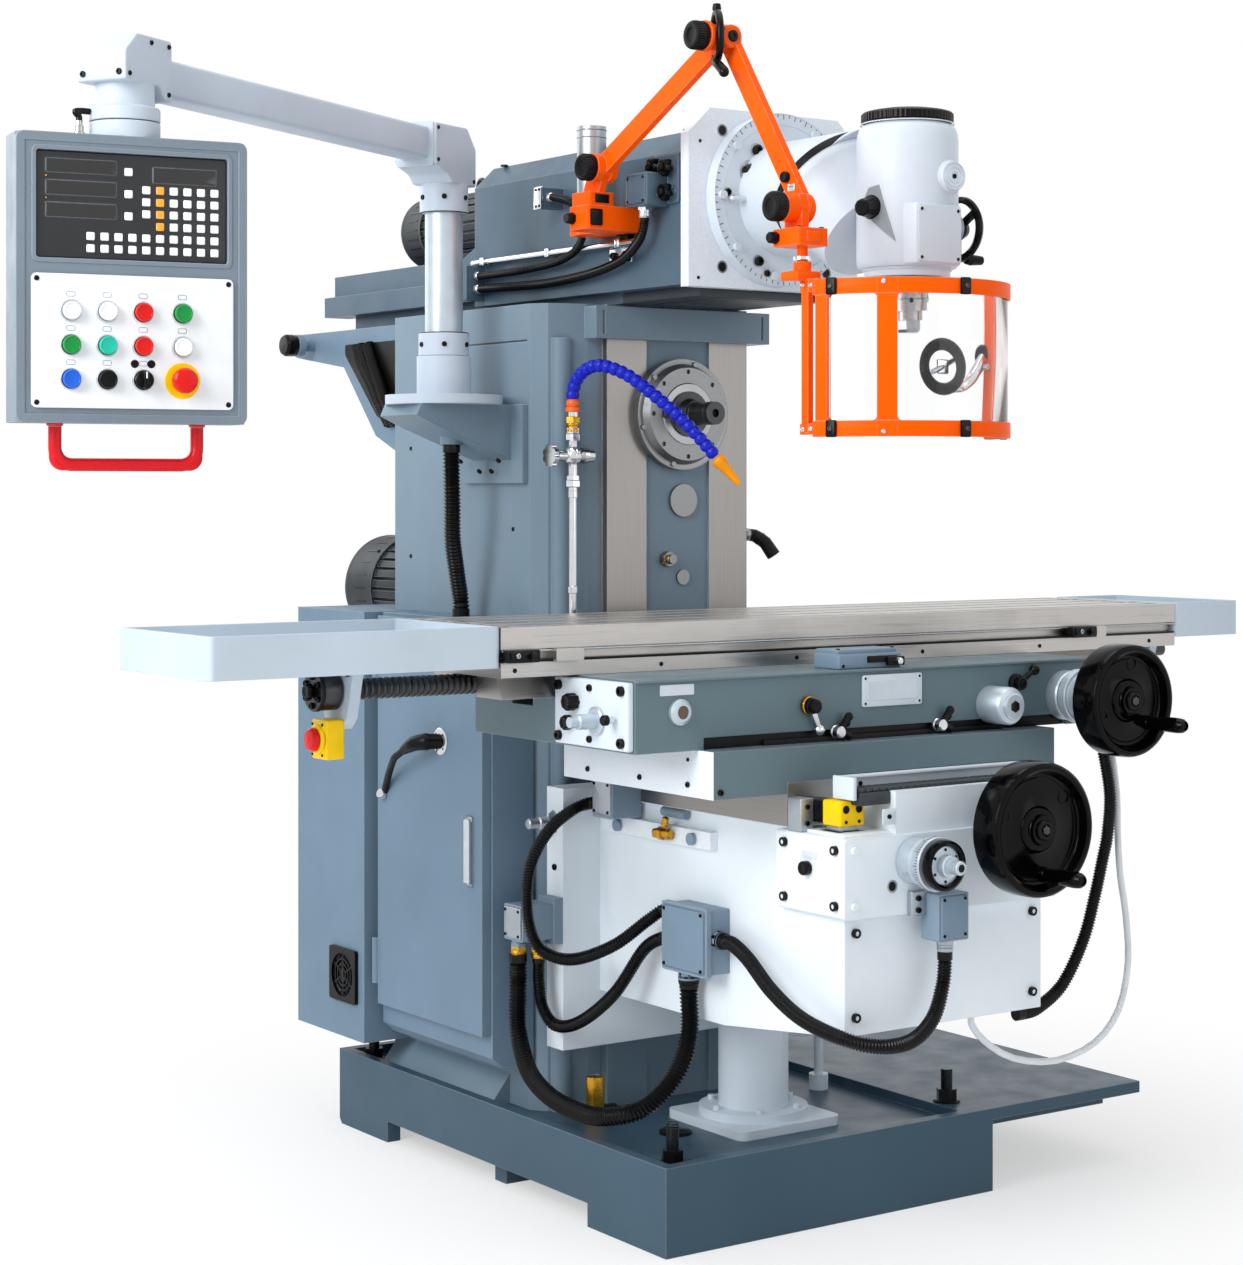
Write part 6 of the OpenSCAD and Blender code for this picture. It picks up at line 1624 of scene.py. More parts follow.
@dataclass(frozen=True)
class HeadDetails:
    """Cap, tilt recess, dial, cover plate and quill stop of the vertical head."""

    axis: Vec = (0, -770)

    def build(self) -> None:
        """Make the head's small pieces and the spindle's nose."""
        self._casting()
        form = Form()
        top = (*self.axis, 1947)
        grip_knob(form, (*self.axis, 1948), Z, 80, 21, 60, 0.012, 0)
        form.turned([(60, 0), (60, 3), (57, 5), (20, 5), (18, 2), (0, 2)], (*self.axis, 1966), Z, 0, 72)
        form.torus(top, Z, 80.5, 1.2, 1, 96, 8)
        self._recess(form)
        dial = (20, -868, 1850)
        form.turned([(24.4, -1), (24.4, 1.2), (22.6, 1.8), (21.6, 0.6), (19.4, 0.6), (18.4, 1.8),
                     (15.6, 1.8), (14.6, 0.6), (12.4, 0.6), (11.4, 1.8), (8, 1.8), (7, 0.6), (0, 0.6)],
                    dial, -Y, 3, 64)
        form.cap_screw((20, -868.6, 1850), -Y, 4.4, 0, 2)
        form.torus((20, -860, 1850), -Y, 26, 2.2, 1, 64, 10)
        form.prism(rounded((-58, 1702), (38, 1798), 5), (0, 2), (0, -864, 0), X, Z, 0.8, 1)
        form.cap_screws((-51, 31), -865.8, (1709, 1791), -Y, 3, 0, 1.6)
        form.turned([(75, -2), (77, -1), (77, 3), (75, 4)], (*self.axis, 1694), Z, 1, 96)
        form.turned([(31, 0), (31, 3), (28, 5), (12, 5)], (100, -770, 1773), X, 3, 48)
        form.block((-10, -690, 1944), (10, -672, 1957), 3, 1)
        form.build("head_fittings", [BLACK_PLASTIC, WHITE_PAINT, PAINTED_RECESS_SHADE, DIAL_ALLOY],
                   "milling_head", "white_enamel")
        nose = Form()
        nose.turned([(58, 0), (62, 3), (62, 14), (56, 18), (46, 18)], (*self.axis, 1662), Z, 0, 72)
        nose.turned([(44.4, 0), (46, 1.5), (46, 6), (44.4, 8)], (*self.axis, 1640), Z, 0, 72)
        nose.turned([(35.5, 0), (35.5, 5), (34.4, 6)], (*self.axis, 1614), Z, 0, 64)
        for k in range(6):
            nose.cap_screw(around((*self.axis, 1662.4), -Z, 52, 60 * k), -Z, 5, 1, 4)
        for k in range(4):
            at = around((*self.axis, 1618), -Z, 35, 90 * k + 30)
            nose.turned([(3.4, -1), (3.4, 1.4), (1, 1.6)], at, at - (*self.axis, 1618), 1, 16)
        nose.turned([(22, 0), (22, 12), (18, 16), (16, 16)], (*self.axis, 1592.2), -Z, 0, 8)
        nose.build("cutter_chuck", [BRIGHT_STEEL, BLACK_OXIDE], "vertical_spindle", "bright_steel")

    def _casting(self) -> None:
        """The head's casting: turned body, neck down from the seam, cover block and bosses."""
        form, way = Form(), np.array([0, -1, -1]) / math.sqrt(2)
        form.turned([(46, -14), (73, -14), (74, -12), (74, 0), (78, 0), (84, 2), (87, 6), (88, 12),
                     (88, 222), (86.5, 234), (83, 243), (77, 249), (70, 251), (0, 251)],
                    (*self.axis, 1696), Z, 0, 128)
        form.turned([(0, 0.3), (124, 0.3), (124.4, 1.5), (124.4, 14), (123, 17.5), (119, 22),
                     (113, 40), (106, 60), (98, 90), (92, 120), (0, 121)], (0, -590, 1849), way, 0,
                    128)
        form.block((-62, -864, 1698), (42, -780, 1802), 7, 0)
        form.turned([(38, 60), (34, 84), (31, 92), (30, 105), (28, 106), (0, 106)],
                    (0, -770, 1773), X, 0, 72)
        form.turned([(34, 70), (31, 84), (27, 90), (25, 98), (0, 98)], (20, -770, 1850), -Y, 0, 64)
        form.turned([(34, -30), (40, 2), (30, 8), (0, 8)], (0, -688, 1925), (0, 0.3, 1), 0, 64)
        form.build("head_casting", [WHITE_PAINT], "milling_head", "white_enamel", ("vertical_head",))

    def _recess(self, form: Form) -> None:
        """Three-cornered tilt recess: a mid-grey shell 0.8 mm proud, painted as the recess's shade,
        wrapped round the head at 88 mm.

        The corners are an angle in degrees and a height; each side is drawn in short steps.

        Args:
            form: Form that takes it in.
        """
        corners = np.array([(168.0, 1798.0), (216.0, 1738.0), (196.0, 1836.0), (181.0, 1832.0)])
        steps = np.linspace(0, 1, 10, endpoint=False)[:, None]
        rim = np.vstack([a + (b - a) * steps for a, b in zip(corners, np.roll(corners, -1, 0))])
        middle = rim.mean(0)
        rings = []
        for share, radius in ((1.0, 87.0), (1.0, 89.6), (0.94, 90.0), (0.9, 88.9), (0.5, 88.7),
                              (0.02, 88.7)):
            spot = middle + (rim - middle) * share
            turn = np.radians(spot[:, 0])
            rings.append(np.stack([radius * np.cos(turn), -770 + radius * np.sin(turn), spot[:, 1]], 1))
        # The grey shell is painted shade for the recess.
        form.grid(np.stack(rings), 2)
        out = compass(185)
        at = np.array([0, -770, 1799]) + out * 87
        form.turned([(19, 0), (19, 12), (16, 22), (15, 34), (12, 37), (0, 37)], at,
                    unit(out + [0, -0.28, -0.12]), 0, 10)
        form.turned([(21, 0), (21, 3), (19, 5)], at, out, 0, 40)


@dataclass(frozen=True)
class Motors:
    """Fan grille, rings, screws, ribs and eye bolts of the two motors.

    Each has a name, where it starts along Y, its height, radius and length, and its body.
    """

    motors: tuple = (("main", 505, 1094, 112, 550, "machine_frame"), ("ram", 480, 1889, 76, 378, "ram"))

    def build(self) -> None:
        """Dress both motors along their own axes."""
        for name, start, z, r, length, body in self.motors:
            form, end = Form(), start + length
            cowl = r + (5 if name == "main" else 4)
            for k in range(4):
                form.torus((0, end - (0.4 if k < 3 else 20), z), Y, cowl * (0.3 + 0.2 * k), 1.6, 1, 64, 8)
            form.torus((0, start + length * 0.746, z), Y, cowl, 1.8, 0, 96, 10)
            form.torus((0, start + length * 0.95, z), Y, cowl - 0.6, 1.4, 0, 96, 10)
            for k in range(4):
                at = around((0, start + length * 0.79, z), Y, cowl, 90 * k + 45)
                form.cap_screw(at, at - (0, start + length * 0.79, z), 4, 1, 3)
            lift = z + r + (0 if name == "main" else -4)
            form.torus((0, start + length * 0.4, lift + 16), X, 15, 4.5, 0, 36, 10)
            form.turned([(12, -2), (12, 5), (8, 7)], (0, start + length * 0.4, lift - 2), Z, 0, 24)
            for k in range(24):
                turn = math.radians(15 * k)
                out = np.array([math.cos(turn), 0, math.sin(turn)])
                at = np.array([0, start + length * 0.84, z]) + out * cowl
                form.prism(rounded((-22, -2), (22, 2), 1.6, 2), (-1, 0.8), at, Y, np.cross(out, Y), 0, 1)
            form.build(f"{name}_motor_cowl", [MOTOR_PAINT, BLACK_OXIDE], body, "motor_black")


@dataclass(frozen=True)
class GuardScreen:
    """The curved screen: two bands, three uprights, the hinge bar, clear panes and their clips."""

    centre: Vec = (-90, -830)
    radius: float = 195.0
    sill: Vec = (1402, 1660)
    posts: tuple = ((191.5, 198.5), (223, 232.5), (343, 351))

    def build(self) -> None:
        """Make the frame and its panes, which stand for the CAD's."""
        frame = Form()
        r = self.radius
        for lo, hi in ((1634, 1660), (1402, 1428)):
            self._arc(frame, (r - 6, r + 6), (lo, hi), (190, 351), 0)
            self._arc(frame, (r - 12, r - 5), (lo + 2, lo + 5), (192, 349), 0)
        for start, end in self.posts:
            self._arc(frame, (r - 5.4, r + 5.4), self.sill, (start, end), 0)
            for z, way in ((1428, 1), (1634, -1)):
                for angle, side in ((start, -1), (end, 1)):
                    if 192 < angle < 350:
                        self._corner(frame, angle, side, z, way)
        self._arc(frame, (r - 7, r + 5), (1410, 1662), (182.5, 187), 0)
        for lo, hi in ((1640, 1662), (1406, 1424)):
            self._arc(frame, (r - 6, r + 4), (lo, hi), (181, 193), 0)
        frame.block((-311, -854, 1660), (-259, -808, 1675), 4, 0)
        frame.turned([(13, 0), (13, 8), (10, 10)], (-285, -835, 1675), Z, 0, 40)
        frame.build("screen_frame", [GUARD_ORANGE], "spindle_guard", "orange_enamel", ("guard_frame",))
        pane = Form()
        for start, end in ((198.7, 222.8), (232.7, 342.8)):
            self._arc(pane, (r - 1.5, r + 1.5), (1406, 1656), (start, end), 0)
        pane.build("screen_panes", [CLEAR_PANE], "spindle_guard", "clear_sheet", ("guard_panes",))
        self._grip()

    def _arc(self, form: Form, band: Vec, height: Vec, sweep: Vec, finish: int) -> None:
        """Take in a band with 1 mm round edges, its section carried round the centre.

        Args:
            form: Form that takes it in.
            band: Its inner and outer radius.
            height: Its lower and upper height.
            sweep: Angles in degrees between which it runs.
            finish: Which finish it has.
        """
        section = rounded((band[0], height[0]), (band[1], height[1]), 1.0, 2)
        steps = max(3, int(abs(sweep[1] - sweep[0]) / 2.5))
        turn = np.radians(np.linspace(sweep[0], sweep[1], steps))
        world = np.stack([
            np.stack([self.centre[0] + section[:, 0] * math.cos(t),
                      self.centre[1] + section[:, 0] * math.sin(t), section[:, 1]], 1)
            for t in turn[::-1]])
        form.grid(world, finish)

    def _corner(self, form: Form, angle: float, side: int, z: float, way: int) -> None:
        """Take in the round inner corner between an upright and a band, radius 8 mm.

        Args:
            form: Form that takes it in.
            angle: Where on the screen the corner is, in degrees.
            side: 1 where it opens anticlockwise, -1 where clockwise.
            z: Height of the band's edge.
            way: 1 where it opens upwards, -1 where downwards.
        """
        out = compass(angle)
        along = np.array([-out[1], out[0], 0]) * side
        arc = np.radians(np.linspace(0, 90, 7))
        shape = np.vstack([[0, 0], np.stack([8 - 8 * np.sin(arc), 8 - 8 * np.cos(arc)], 1)])
        shape = shape if side * way > 0 else shape[::-1]
        at = np.array([*self.centre, z]) + out * self.radius
        form.prism(shape[::-1] if np.dot(np.cross(along, Z * way), out) * side * way < 0 else shape,
                   (-5, 5), at, along, Z * way, 0, 0)

    def _grip(self) -> None:
        """Black ring grip on its chrome arm, clamped to the far upright."""
        form = Form()
        centre = np.array([-6, -868, 1528.0])
        facing = unit([-0.45, -0.86, 0.24])
        form.torus(centre, facing, 32, 8.5, 0, 72, 18)
        form.block(centre - (12, 3, 10), centre + (12, 3, 10), 2.5, 1, 1)
        for way in ((1, 0.1, 0.35), (-1, -0.2, -0.3)):
            form.tube([centre, centre + unit(way) * 30], 4, 12, 1)
        arm = smooth_path([centre + (22, 10, -26), (34, -872, 1504), (62, -868, 1516),
                           (92, -862, 1540)], 8)
        form.tube(arm, np.linspace(8, 9.5, len(arm)), 20, 1)
        form.turned([(13, -9), (14, -7), (14, 7), (13, 9)], (98, -858, 1545), X, 0, 32)
        form.cap_screw((84, -876, 1530), -Y, 4, 1, 8)
        form.build("ring_grip", [BLACK_PLASTIC, CHROME], "spindle_guard", "black_phenolic")


@dataclass(frozen=True)
class Handwheel:
    """A dished handwheel with its graduated dial, lock nut and revolving grip."""

    name: str
    axis: Vec
    face: float
    radius: float
    hub: float
    dial: float
    seat: float
    lean: float
    handle: str

    def build(self) -> None:
        """Make the dial and wheel for the wheel's body and the grip for the handle's."""
        at, r, h = (self.axis[0], self.face, self.axis[1]), self.radius, self.hub
        wheel = Form()
        wheel.turned([
            (34, 0), (34, h - 14), (42, h - 8), (r - 24, h - 4), (r - 20, h - 10), (r - 18, h - 26),
            (r - 13, h - 31), (r - 5, h - 31), (r - 1, h - 27), (r, h - 20), (r + 0.4, h),
            (r, h + 19), (r - 2, h + 25), (r - 6, h + 28), (r - 11, h + 28.4), (r - 15, h + 26),
            (r - 17, h + 20), (r - 18.5, h + 12), (r - 21, h + 9), (r - 26, h + 8.6), (r - 27, h + 9.6),
            (r - 28.4, h + 8.6), (44, h + 8.4), (40, h + 10), (38, h + 14), (35, h + 16.5), (27, h + 17),
            (25.6, h + 19), (24.4, h + 24), (0, h + 24)], at, -Y, 0, 144)
        lean = math.radians(self.lean)
        for k in (1, 2):
            turn = lean + k * 2 * math.pi / 3
            spot = np.array([self.axis[0] + self.seat * math.cos(turn), self.face - h - 6,
                             self.axis[1] - self.seat * math.sin(turn)])
            wheel.turned([(13, 0), (12, 3.5), (9.5, 4), (9, 1.6), (0, 1.6)], spot, -Y, 0, 40)
        spot = (self.axis[0] + self.seat * math.cos(lean), self.face - h,
                self.axis[1] - self.seat * math.sin(lean))
        wheel.turned([(14, 3), (12.5, 14), (10.5, 17.6), (6.2, 17.6)], spot, -Y, 0, 40)
        wheel.turned([(17, 0), (17, 4), (15, 6.5), (11, 6.5), (10, 3), (0, 3)],
                     (at[0], self.face - h - 23.5, at[2]), -Y, 1, 48)
        wheel.turned([(8.5, 0), (8.5, 5), (7, 6.4)], (at[0], self.face - h - 26.4, at[2]), -Y, 2, 6)
        wheel.build(f"{self.name}_rim", [BLACK_WHEEL, BLACK_PLASTIC, DARK_STEEL], self.name,
                    "black_phenolic", (self.name,))
        self._dial(at)
        grip = Form()
        grip.turned([(6, -17), (6, 12), (9.4, 12.4), (10.6, 15), (11, 19), (12.4, 38), (13.8, 60),
                     (14, 80), (12.6, 92), (9, 97.6), (7.4, 98), (6.8, 95), (0, 95)],
                    np.array(spot) + (0, -4, 0), -Y, 0, 48)
        grip.turned([(8.6, 7), (8.6, 12), (7, 13)], np.array(spot) + (0, -4, 0), -Y, 1, 32)
        grip.build(f"{self.handle}_grip", [BLACK_WHEEL, CHROME], self.handle, "black_phenolic",
                   (self.handle,))

    def _dial(self, at: Vec) -> None:
        """Take the silver dial behind the wheel: a collar, a knurled ring and 80 fine marks.

        Args:
            at: Middle of the shaft's seat.
        """
        form, d = Form(), self.dial
        form.turned([(35, 2), (d, 2.4), (d, 16), (d - 2, 18), (d - 6, 18.6), (d - 6, 40),
                     (d - 8, 42), (34, 42)], at, -Y, 0, 96)
        form.turned([(34.2, 41), (40, 44), (40, self.hub - 20), (34.2, self.hub - 14)], at, -Y, 0, 72)
        dial_marks(form, at, d - 6, 80, 39, (4.5, 8), 0.45)
        form.build(f"{self.name}_dial", [DIAL_ALLOY, BLACK_OXIDE], self.name, "bright_steel")


@dataclass(frozen=True)
class LiftingCrank:
    """Dial, claw collar and black hand ring of the knee's lifting shaft."""

    axis: Vec = (-91, 696)

    def build(self) -> None:
        """Make the shaft's pieces along -Y from the gearbox's face."""
        form, at = Form(), (self.axis[0], -890.4, self.axis[1])
        form.turned([(38, 0), (40, 1), (40, 30), (37, 33), (37, 44), (45, 46), (46, 48), (46, 60),
                     (44, 62.5), (30, 62.5), (29, 66), (20, 66), (19, 92), (17, 94), (12, 94),
                     (12, 116), (10.5, 118), (0, 118)], at, -Y, 0, 96)
        dial_marks(form, at, 46, 60, 59, (5, 9), 0.5)
        form.turned([(33, 68), (37, 66), (41, 68), (43, 75), (41.6, 83), (37, 86), (33, 83),
                     (31.4, 75)], at, -Y, 2, 96)
        form.turned([(18, 72), (31.6, 73), (31.6, 78), (18, 80)], at, -Y, 0, 64)
        for k in range(6):
            form.cap_screw(around((at[0], -969.4, at[2]), -Y, 26.5, 60 * k), -Y, 2.6, 1, 1.4)
        form.cap_screw((at[0], -1008.2, at[2]), -Y, 7, 1, 0.8)
        form.build("lifting_dial", [DIAL_ALLOY, BLACK_OXIDE, BLACK_WHEEL], "elevation_crank",
                   "bright_steel", ("elevation_crank",))


@dataclass(frozen=True)
class SupportFittings:
    """Bearings, sight glass, switch box, plates, slot and end cover of the table support."""

    face: float = -690.0

    def build(self) -> None:
        """Make the fittings, which stand for the CAD's, and the dressings of the levers."""
        form, f = Form(), self.face
        form.turned([(46, 0), (46, 24), (44, 27), (40, 28), (40, 34), (18.5, 34)], (453, f, 935),
                    -Y, 0, 96)
        form.turned([(34, 0), (34, 52), (31, 57), (24, 60), (24, 64), (21, 66.5), (0, 66.5)],
                    (268, f, 926), -Y, 0, 80)
        form.turned([(11, 0), (11, 1.4), (9, 2)], (268, f - 66, 926), -Y, 1, 6)
        form.turned([(22, 0), (22, 6), (19, 9), (15, 12), (11.5, 12), (11, 8), (0, 8)],
                    (-430, f, 946), -Y, 0, 64)
        form.turned([(10.8, 8), (10.8, 9.4), (0, 9.8)], (-430, f, 946), -Y, 2, 48)
        form.prism(rounded((-36, 935), (101, 991), 4), (0, 4.2), (0, f, 0), X, Z, 0.8, 4)
        form.cap_screws((-30, 95), f - 4.2, (941, 985), -Y, 2.4, 1, 1.2)
        form.prism(rounded((-24, 946), (89, 980), 2), (0, 0.5), (0, f - 4.2, 0), X, Z, 0, 6)
        form.prism(rounded((-470, 974), (-400, 992), 2), (0, 0.6), (0, f, 0), X, Z, 0, 6)
        self._switch(form)
        self._end_cover(form)
        form.build("support_fittings_set", [DIAL_ALLOY, BLACK_OXIDE, SIGHT_GLASS, BOX_BLUE,
                                            WHITE_PAINT, BLACK_PLASTIC, PLATE_WHITE, CHROME],
                   "saddle", "bright_steel", ("support_fittings",))
        self._levers()
        self._body()

    def _switch(self, form: Form) -> None:
        """Limit switch box on the support's top edge, with its plunger and roller.

        Args:
            form: Form that takes it in.
        """
        lo, hi = self.face + 4, self.face + 74
        form.block((-84, lo, 1002), (60, hi, 1028), 4, 3)
        form.block((-80, lo + 8, 1027), (56, hi, 1036), 3, 3)
        form.block((-20, lo - 6, 1012), (46, lo + 4, 1024), 2, 5, 1)
        form.block((20, lo - 12, 1006), (58, lo - 4, 1022), 2.5, 5, 1)
        form.turned([(6, 0), (6, 10), (4, 12)], (40, lo - 11, 1014), -Y, 7, 24)
        for x in (-74, 50):
            form.cap_screw((x, lo + 14, 1035.6), Z, 3.6, 1, 2.4)
            form.cap_screw((x, lo, 1008), -Y, 3, 1, 2)

    def _end_cover(self, form: Form) -> None:
        """White left end cover with black screws, a silver shaft and a star grip.

        Args:
            form: Form that takes it in.
        """
        form.block((-534, -688, 884), (-520, -470, 998), 5, 4, 0)
        form.cap_screws(-534, (-672, -486), (898, 984), -X, 8.5, 1, 7)
        for y, z in ((-579, 984), (-579, 898)):
            form.cap_screw((-534, y, z), -X, 6, 1, 5)
        form.turned([(24, 0), (24, 5), (21, 7), (15, 7)], (-534, -600, 930), -X, 0, 48)
        form.turned([(13, 0), (13, 40), (11, 42), (9, 42), (9, 56), (0, 56)], (-534, -600, 930), -X,
                    0, 40)
        grip_knob(form, (-534, -535, 958), -X, 15, 22, 8, 0.16, 5)
        grip_knob(form, (-534, -520, 922), -X, 13, 16, 8, 0.16, 5)
        form.tube([(-541.0, -655, 936), (-556, -655, 936)], 6, 20, 7)
        form.turned([(9, 0), (9, 8), (7, 10)], (-552, -655, 936), -X, 5, 24)

    def _levers(self) -> None:
        """Pivots, brass ring and grips of the clamp, lock and feed levers."""
        f = self.face - 0.4
        clamp = Form()
        clamp.turned([(15, 0), (15, 12), (13, 20), (12, 26), (9, 28), (0, 28)], (-158, f, 944), -Y, 0, 48)
        clamp.turned([(15.6, 3), (16.6, 4), (16.6, 9), (15.6, 10)], (-158, f, 944), -Y, 1, 48)
        clamp.build("clamp_pivot", [BLACK_PLASTIC, BRASS], "clamp_lever", "black_phenolic")
        for name, x in (("left_lock_lever", -98), ("right_lock_lever", 137)):
            lock = Form()
            lock.turned([(12, 0), (12, 6), (10.4, 8), (10.4, 20), (8, 22), (0, 22)], (x, f, 896),
                        -Y, 0, 40)
            wing = np.array([x, f - 14, 896.0])
            for degrees, length in ((50, 34), (-20, 22)):
                turn = math.radians(degrees)
                tip = wing + length * np.array([math.cos(turn), 0, math.sin(turn)])
                lock.tube([wing, (wing + tip) / 2, tip], np.array([7, 6, 7.5]), 16, 1)
                lock.ball(tip, 7.6, 1, 16)
            lock.build(f"{name}_wings", [CHROME, BLACK_PLASTIC], name, "black_phenolic")
        feed = Form()
        feed.turned([(17, 0), (17, 5), (12, 8), (12, 20), (9, 22), (0, 22)], (330, f, 962), -Y, 0, 48)
        feed.cap_screw((330, f - 22, 962), -Y, 6, 0, 2)
        feed.build("feed_lever_boss", [BLACK_PLASTIC], "feed_lever", "black_phenolic")

    def _body(self) -> None:
        """Shadow slot, gib strips and screws of the support and the saddle."""
        form, f = Form(), self.face
        form.block((-520, -696, 997.2), (520, f + 0.4, 1001.6), 1, 0, 0)
        form.cap_screws((-375, -60, 90, 375), -730, 812, -Y, 5.5, 1, 4)
        for y in (-660, -520, -360):
            form.cap_screw((-390, y, 820), -X, 5, 1, 3.6)
            form.cap_screw((-390, y, 862), -X, 3.4, 1, 2.4)
        # Black strips in the slot under the support: painted shade.
        form.block((-252, -691.4, 874), (298, -680.5, 889), 1, 2, 1)
        form.block((-380, -683.5, 880.4), (456, -681.2, 903), 1, 2, 1)
        form.build("support_lines", [SADDLE_PAINT, BLACK_OXIDE, BLACK_RUBBER], "saddle",
                   "dark_blue_grey_enamel")


@dataclass(frozen=True)
class KneeDetails:
    """Way cover, limit switch, boxes' lids, rail screws, brass oiler and glands of the knee."""

    pleats: int = 26
    pleat_pitch: float = 15.6

    def build(self) -> None:
        """Make the knee's small pieces."""
        form = Form()
        form.turned([(11, -0.5), (11, 0.6), (9.4, 1), (9, 0.2)], (-138, -890, 656), -Y, 2, 32)
        form.cap_screw((-138, -890, 656), -Y, 8, 0, 1)
        form.cap_screws((-200, 200), -868, (441, 581), -Y, 8, 0, 7.5)
        form.cap_screws(-240, (-866, -732), (629, 721), -X, 8, 0, 7.5)
        grip_knob(form, (-240, -794, 684), -X, 12, 14, 0, 0.0, 1)
        form.block((-241, -818, 700), (-239.6, -778, 712), 0.6, 5, 0)
        form.cap_screws(-305, -124, (480, 540, 610, 680), -X, 6, 0, 4)
        self._channel(form)
        self._switch(form)
        form.build("knee_screws", [BLACK_OXIDE, BLACK_PLASTIC, SATIN_ALLOY, COVER_DARK,
                                   YELLOW_PLASTIC, PLATE_WHITE, WHITE_PAINT], "knee", "black_oxide_steel")
        self._boxes()

    def _channel(self, form: Form) -> None:
        """White channel over the front ways, holding the dark pleated way cover.

        Args:
            form: Form that takes it in.
        """
        form.block((-196, -822, 812.2), (226, -812, 838), 1.4, 6)
        form.block((-196, -834, 833), (226, -812, 838), 1.4, 6)
        form.block((-202, -866, 800), (-194, -812, 838), 1.6, 6)
        for k in range(self.pleats):
            x = -188 + k * self.pleat_pitch
            form.block((x, -864, 811.9), (x + 14, -824, 818.4), 2, 3, 1)
        form.block((-188, -866, 790), (-121, -824, 811.8), 2, 3, 1)
        form.cap_screws((-150, 180), -822, 822, -Y, 4, 0, 2.6)

    def _switch(self, form: Form) -> None:
        """Yellow limit switch on its foot, with the lamp plate and the roller arm.

        Args:
            form: Form that takes it in.
        """
        form.block((-214, -842, 740.2), (-156, -790, 745), 1.4, 2)
        form.block((-206, -836, 745), (-164, -800, 754), 2, 2)
        form.block((-212, -844, 754), (-158, -796, 797), 5, 4)
        for x in (-199, -171):
            form.turned([(7, 0), (7, 0.6), (0, 0.8)], (x, -844, 783), -Y, 1, 24)
            form.cap_screw((x, -844, 762), -Y, 3, 0, 1.8)
        form.block((-208, -798, 756), (-168, -738, 793), 4, 1)
        form.block((-236, -770, 740.2), (-208, -734, 796), 2, 2)
        form.cap_screws(-222, -770, (754, 782), -Y, 4.5, 0, 3)
        form.block((-150, -880, 757), (-122, -877.5, 784), 1.6, 5, 1)
        form.cap_screw((-136, -880, 771), -Y, 4, 0, 3)

    def _boxes(self) -> None:
        """Lids, screws and glands of the junction and switch boxes on the knee."""
        form = Form()
        form.block((-280, -553, 470), (-275, -432, 580), 4, 0, 0)
        form.cap_screws(-280, (-547, -438), (476, 574), -X, 3.6, 1, 2.4)
        for at, way, r in (((-249, -555, 530), -Y, 16.5), ((-249, -430, 560), Y, 16.5),
                           ((-249, -430, 510), Y, 16.5), ((-249, -470, 468), -Z, 20.5),
                           ((-41, -912, 562), -Z, 15)):
            gland(form, at, way, r, 2 if r > 16 else 3)
        form.block((-70, -937, 566), (-12, -933, 638), 3, 0, 1)
        form.cap_screws((-64, -18), -937, (572, 632), -Y, 3, 1, 2)
        form.block((-106, -903, 604), (-72, -889, 646), 3, 3, 1)
        form.cap_screw((-92, -903, 634), -Y, 5, 1, 4)
        form.cap_screw((-92, -903, 614), -Y, 5, 1, 4)
        form.block((-396, -144, 484), (-391, -88, 542), 3, 3, 0)
        form.cap_screws(-396, (-138, -94), (490, 536), -X, 3, 1, 2)
        for at in ((-374, -104, 466), (-344, -128, 466)):
            gland(form, at, -Z, 15.5, 4)
        form.block((-300, -296, 722), (-295, -240, 784), 3, 3, 0)
        form.cap_screws(-300, (-290, -246), (728, 778), -X, 3, 1, 2)
        gland(form, (-268, -236, 735), Y, 15, 3)
        form.block((-282, -300, 786), (-246, -262, 800), 3, 1)
        form.turned([(7, 0), (7, 10), (4, 13)], (-264, -281, 799), Z, 1, 24)
        form.cap_screws(-238, (-240, -470), 696, -X, 9, 1, 9)
        form.turned([(9, 0), (9, 12), (12, 12), (12, 26), (9, 26), (9, 44), (6, 46)],
                    (-252, -372, 697), (0, -1, 0.06), 4, 6)
        form.turned([(6, 0), (6, 16), (3, 18)], (-252, -400, 712), (0, -0.3, 1), 4, 20)
        form.block((-252, -410, 688), (-238, -362, 704), 2, 4, 0)
        form.turned([(13, 0), (13, 18), (10, 20), (10, 40), (7, 42)], (-322, -120, 694), (-1, 0, 0),
                    3, 24)
        form.turned([(16, 0), (16, 3), (0, 4)], (-305, -120, 700), -X, 3, 6)
        form.build("knee_box_lids", [BOX_BLUE, BLACK_OXIDE, BLACK_PLASTIC, SATIN_ALLOY, BRASS],
                   "knee", "grey_box_enamel")


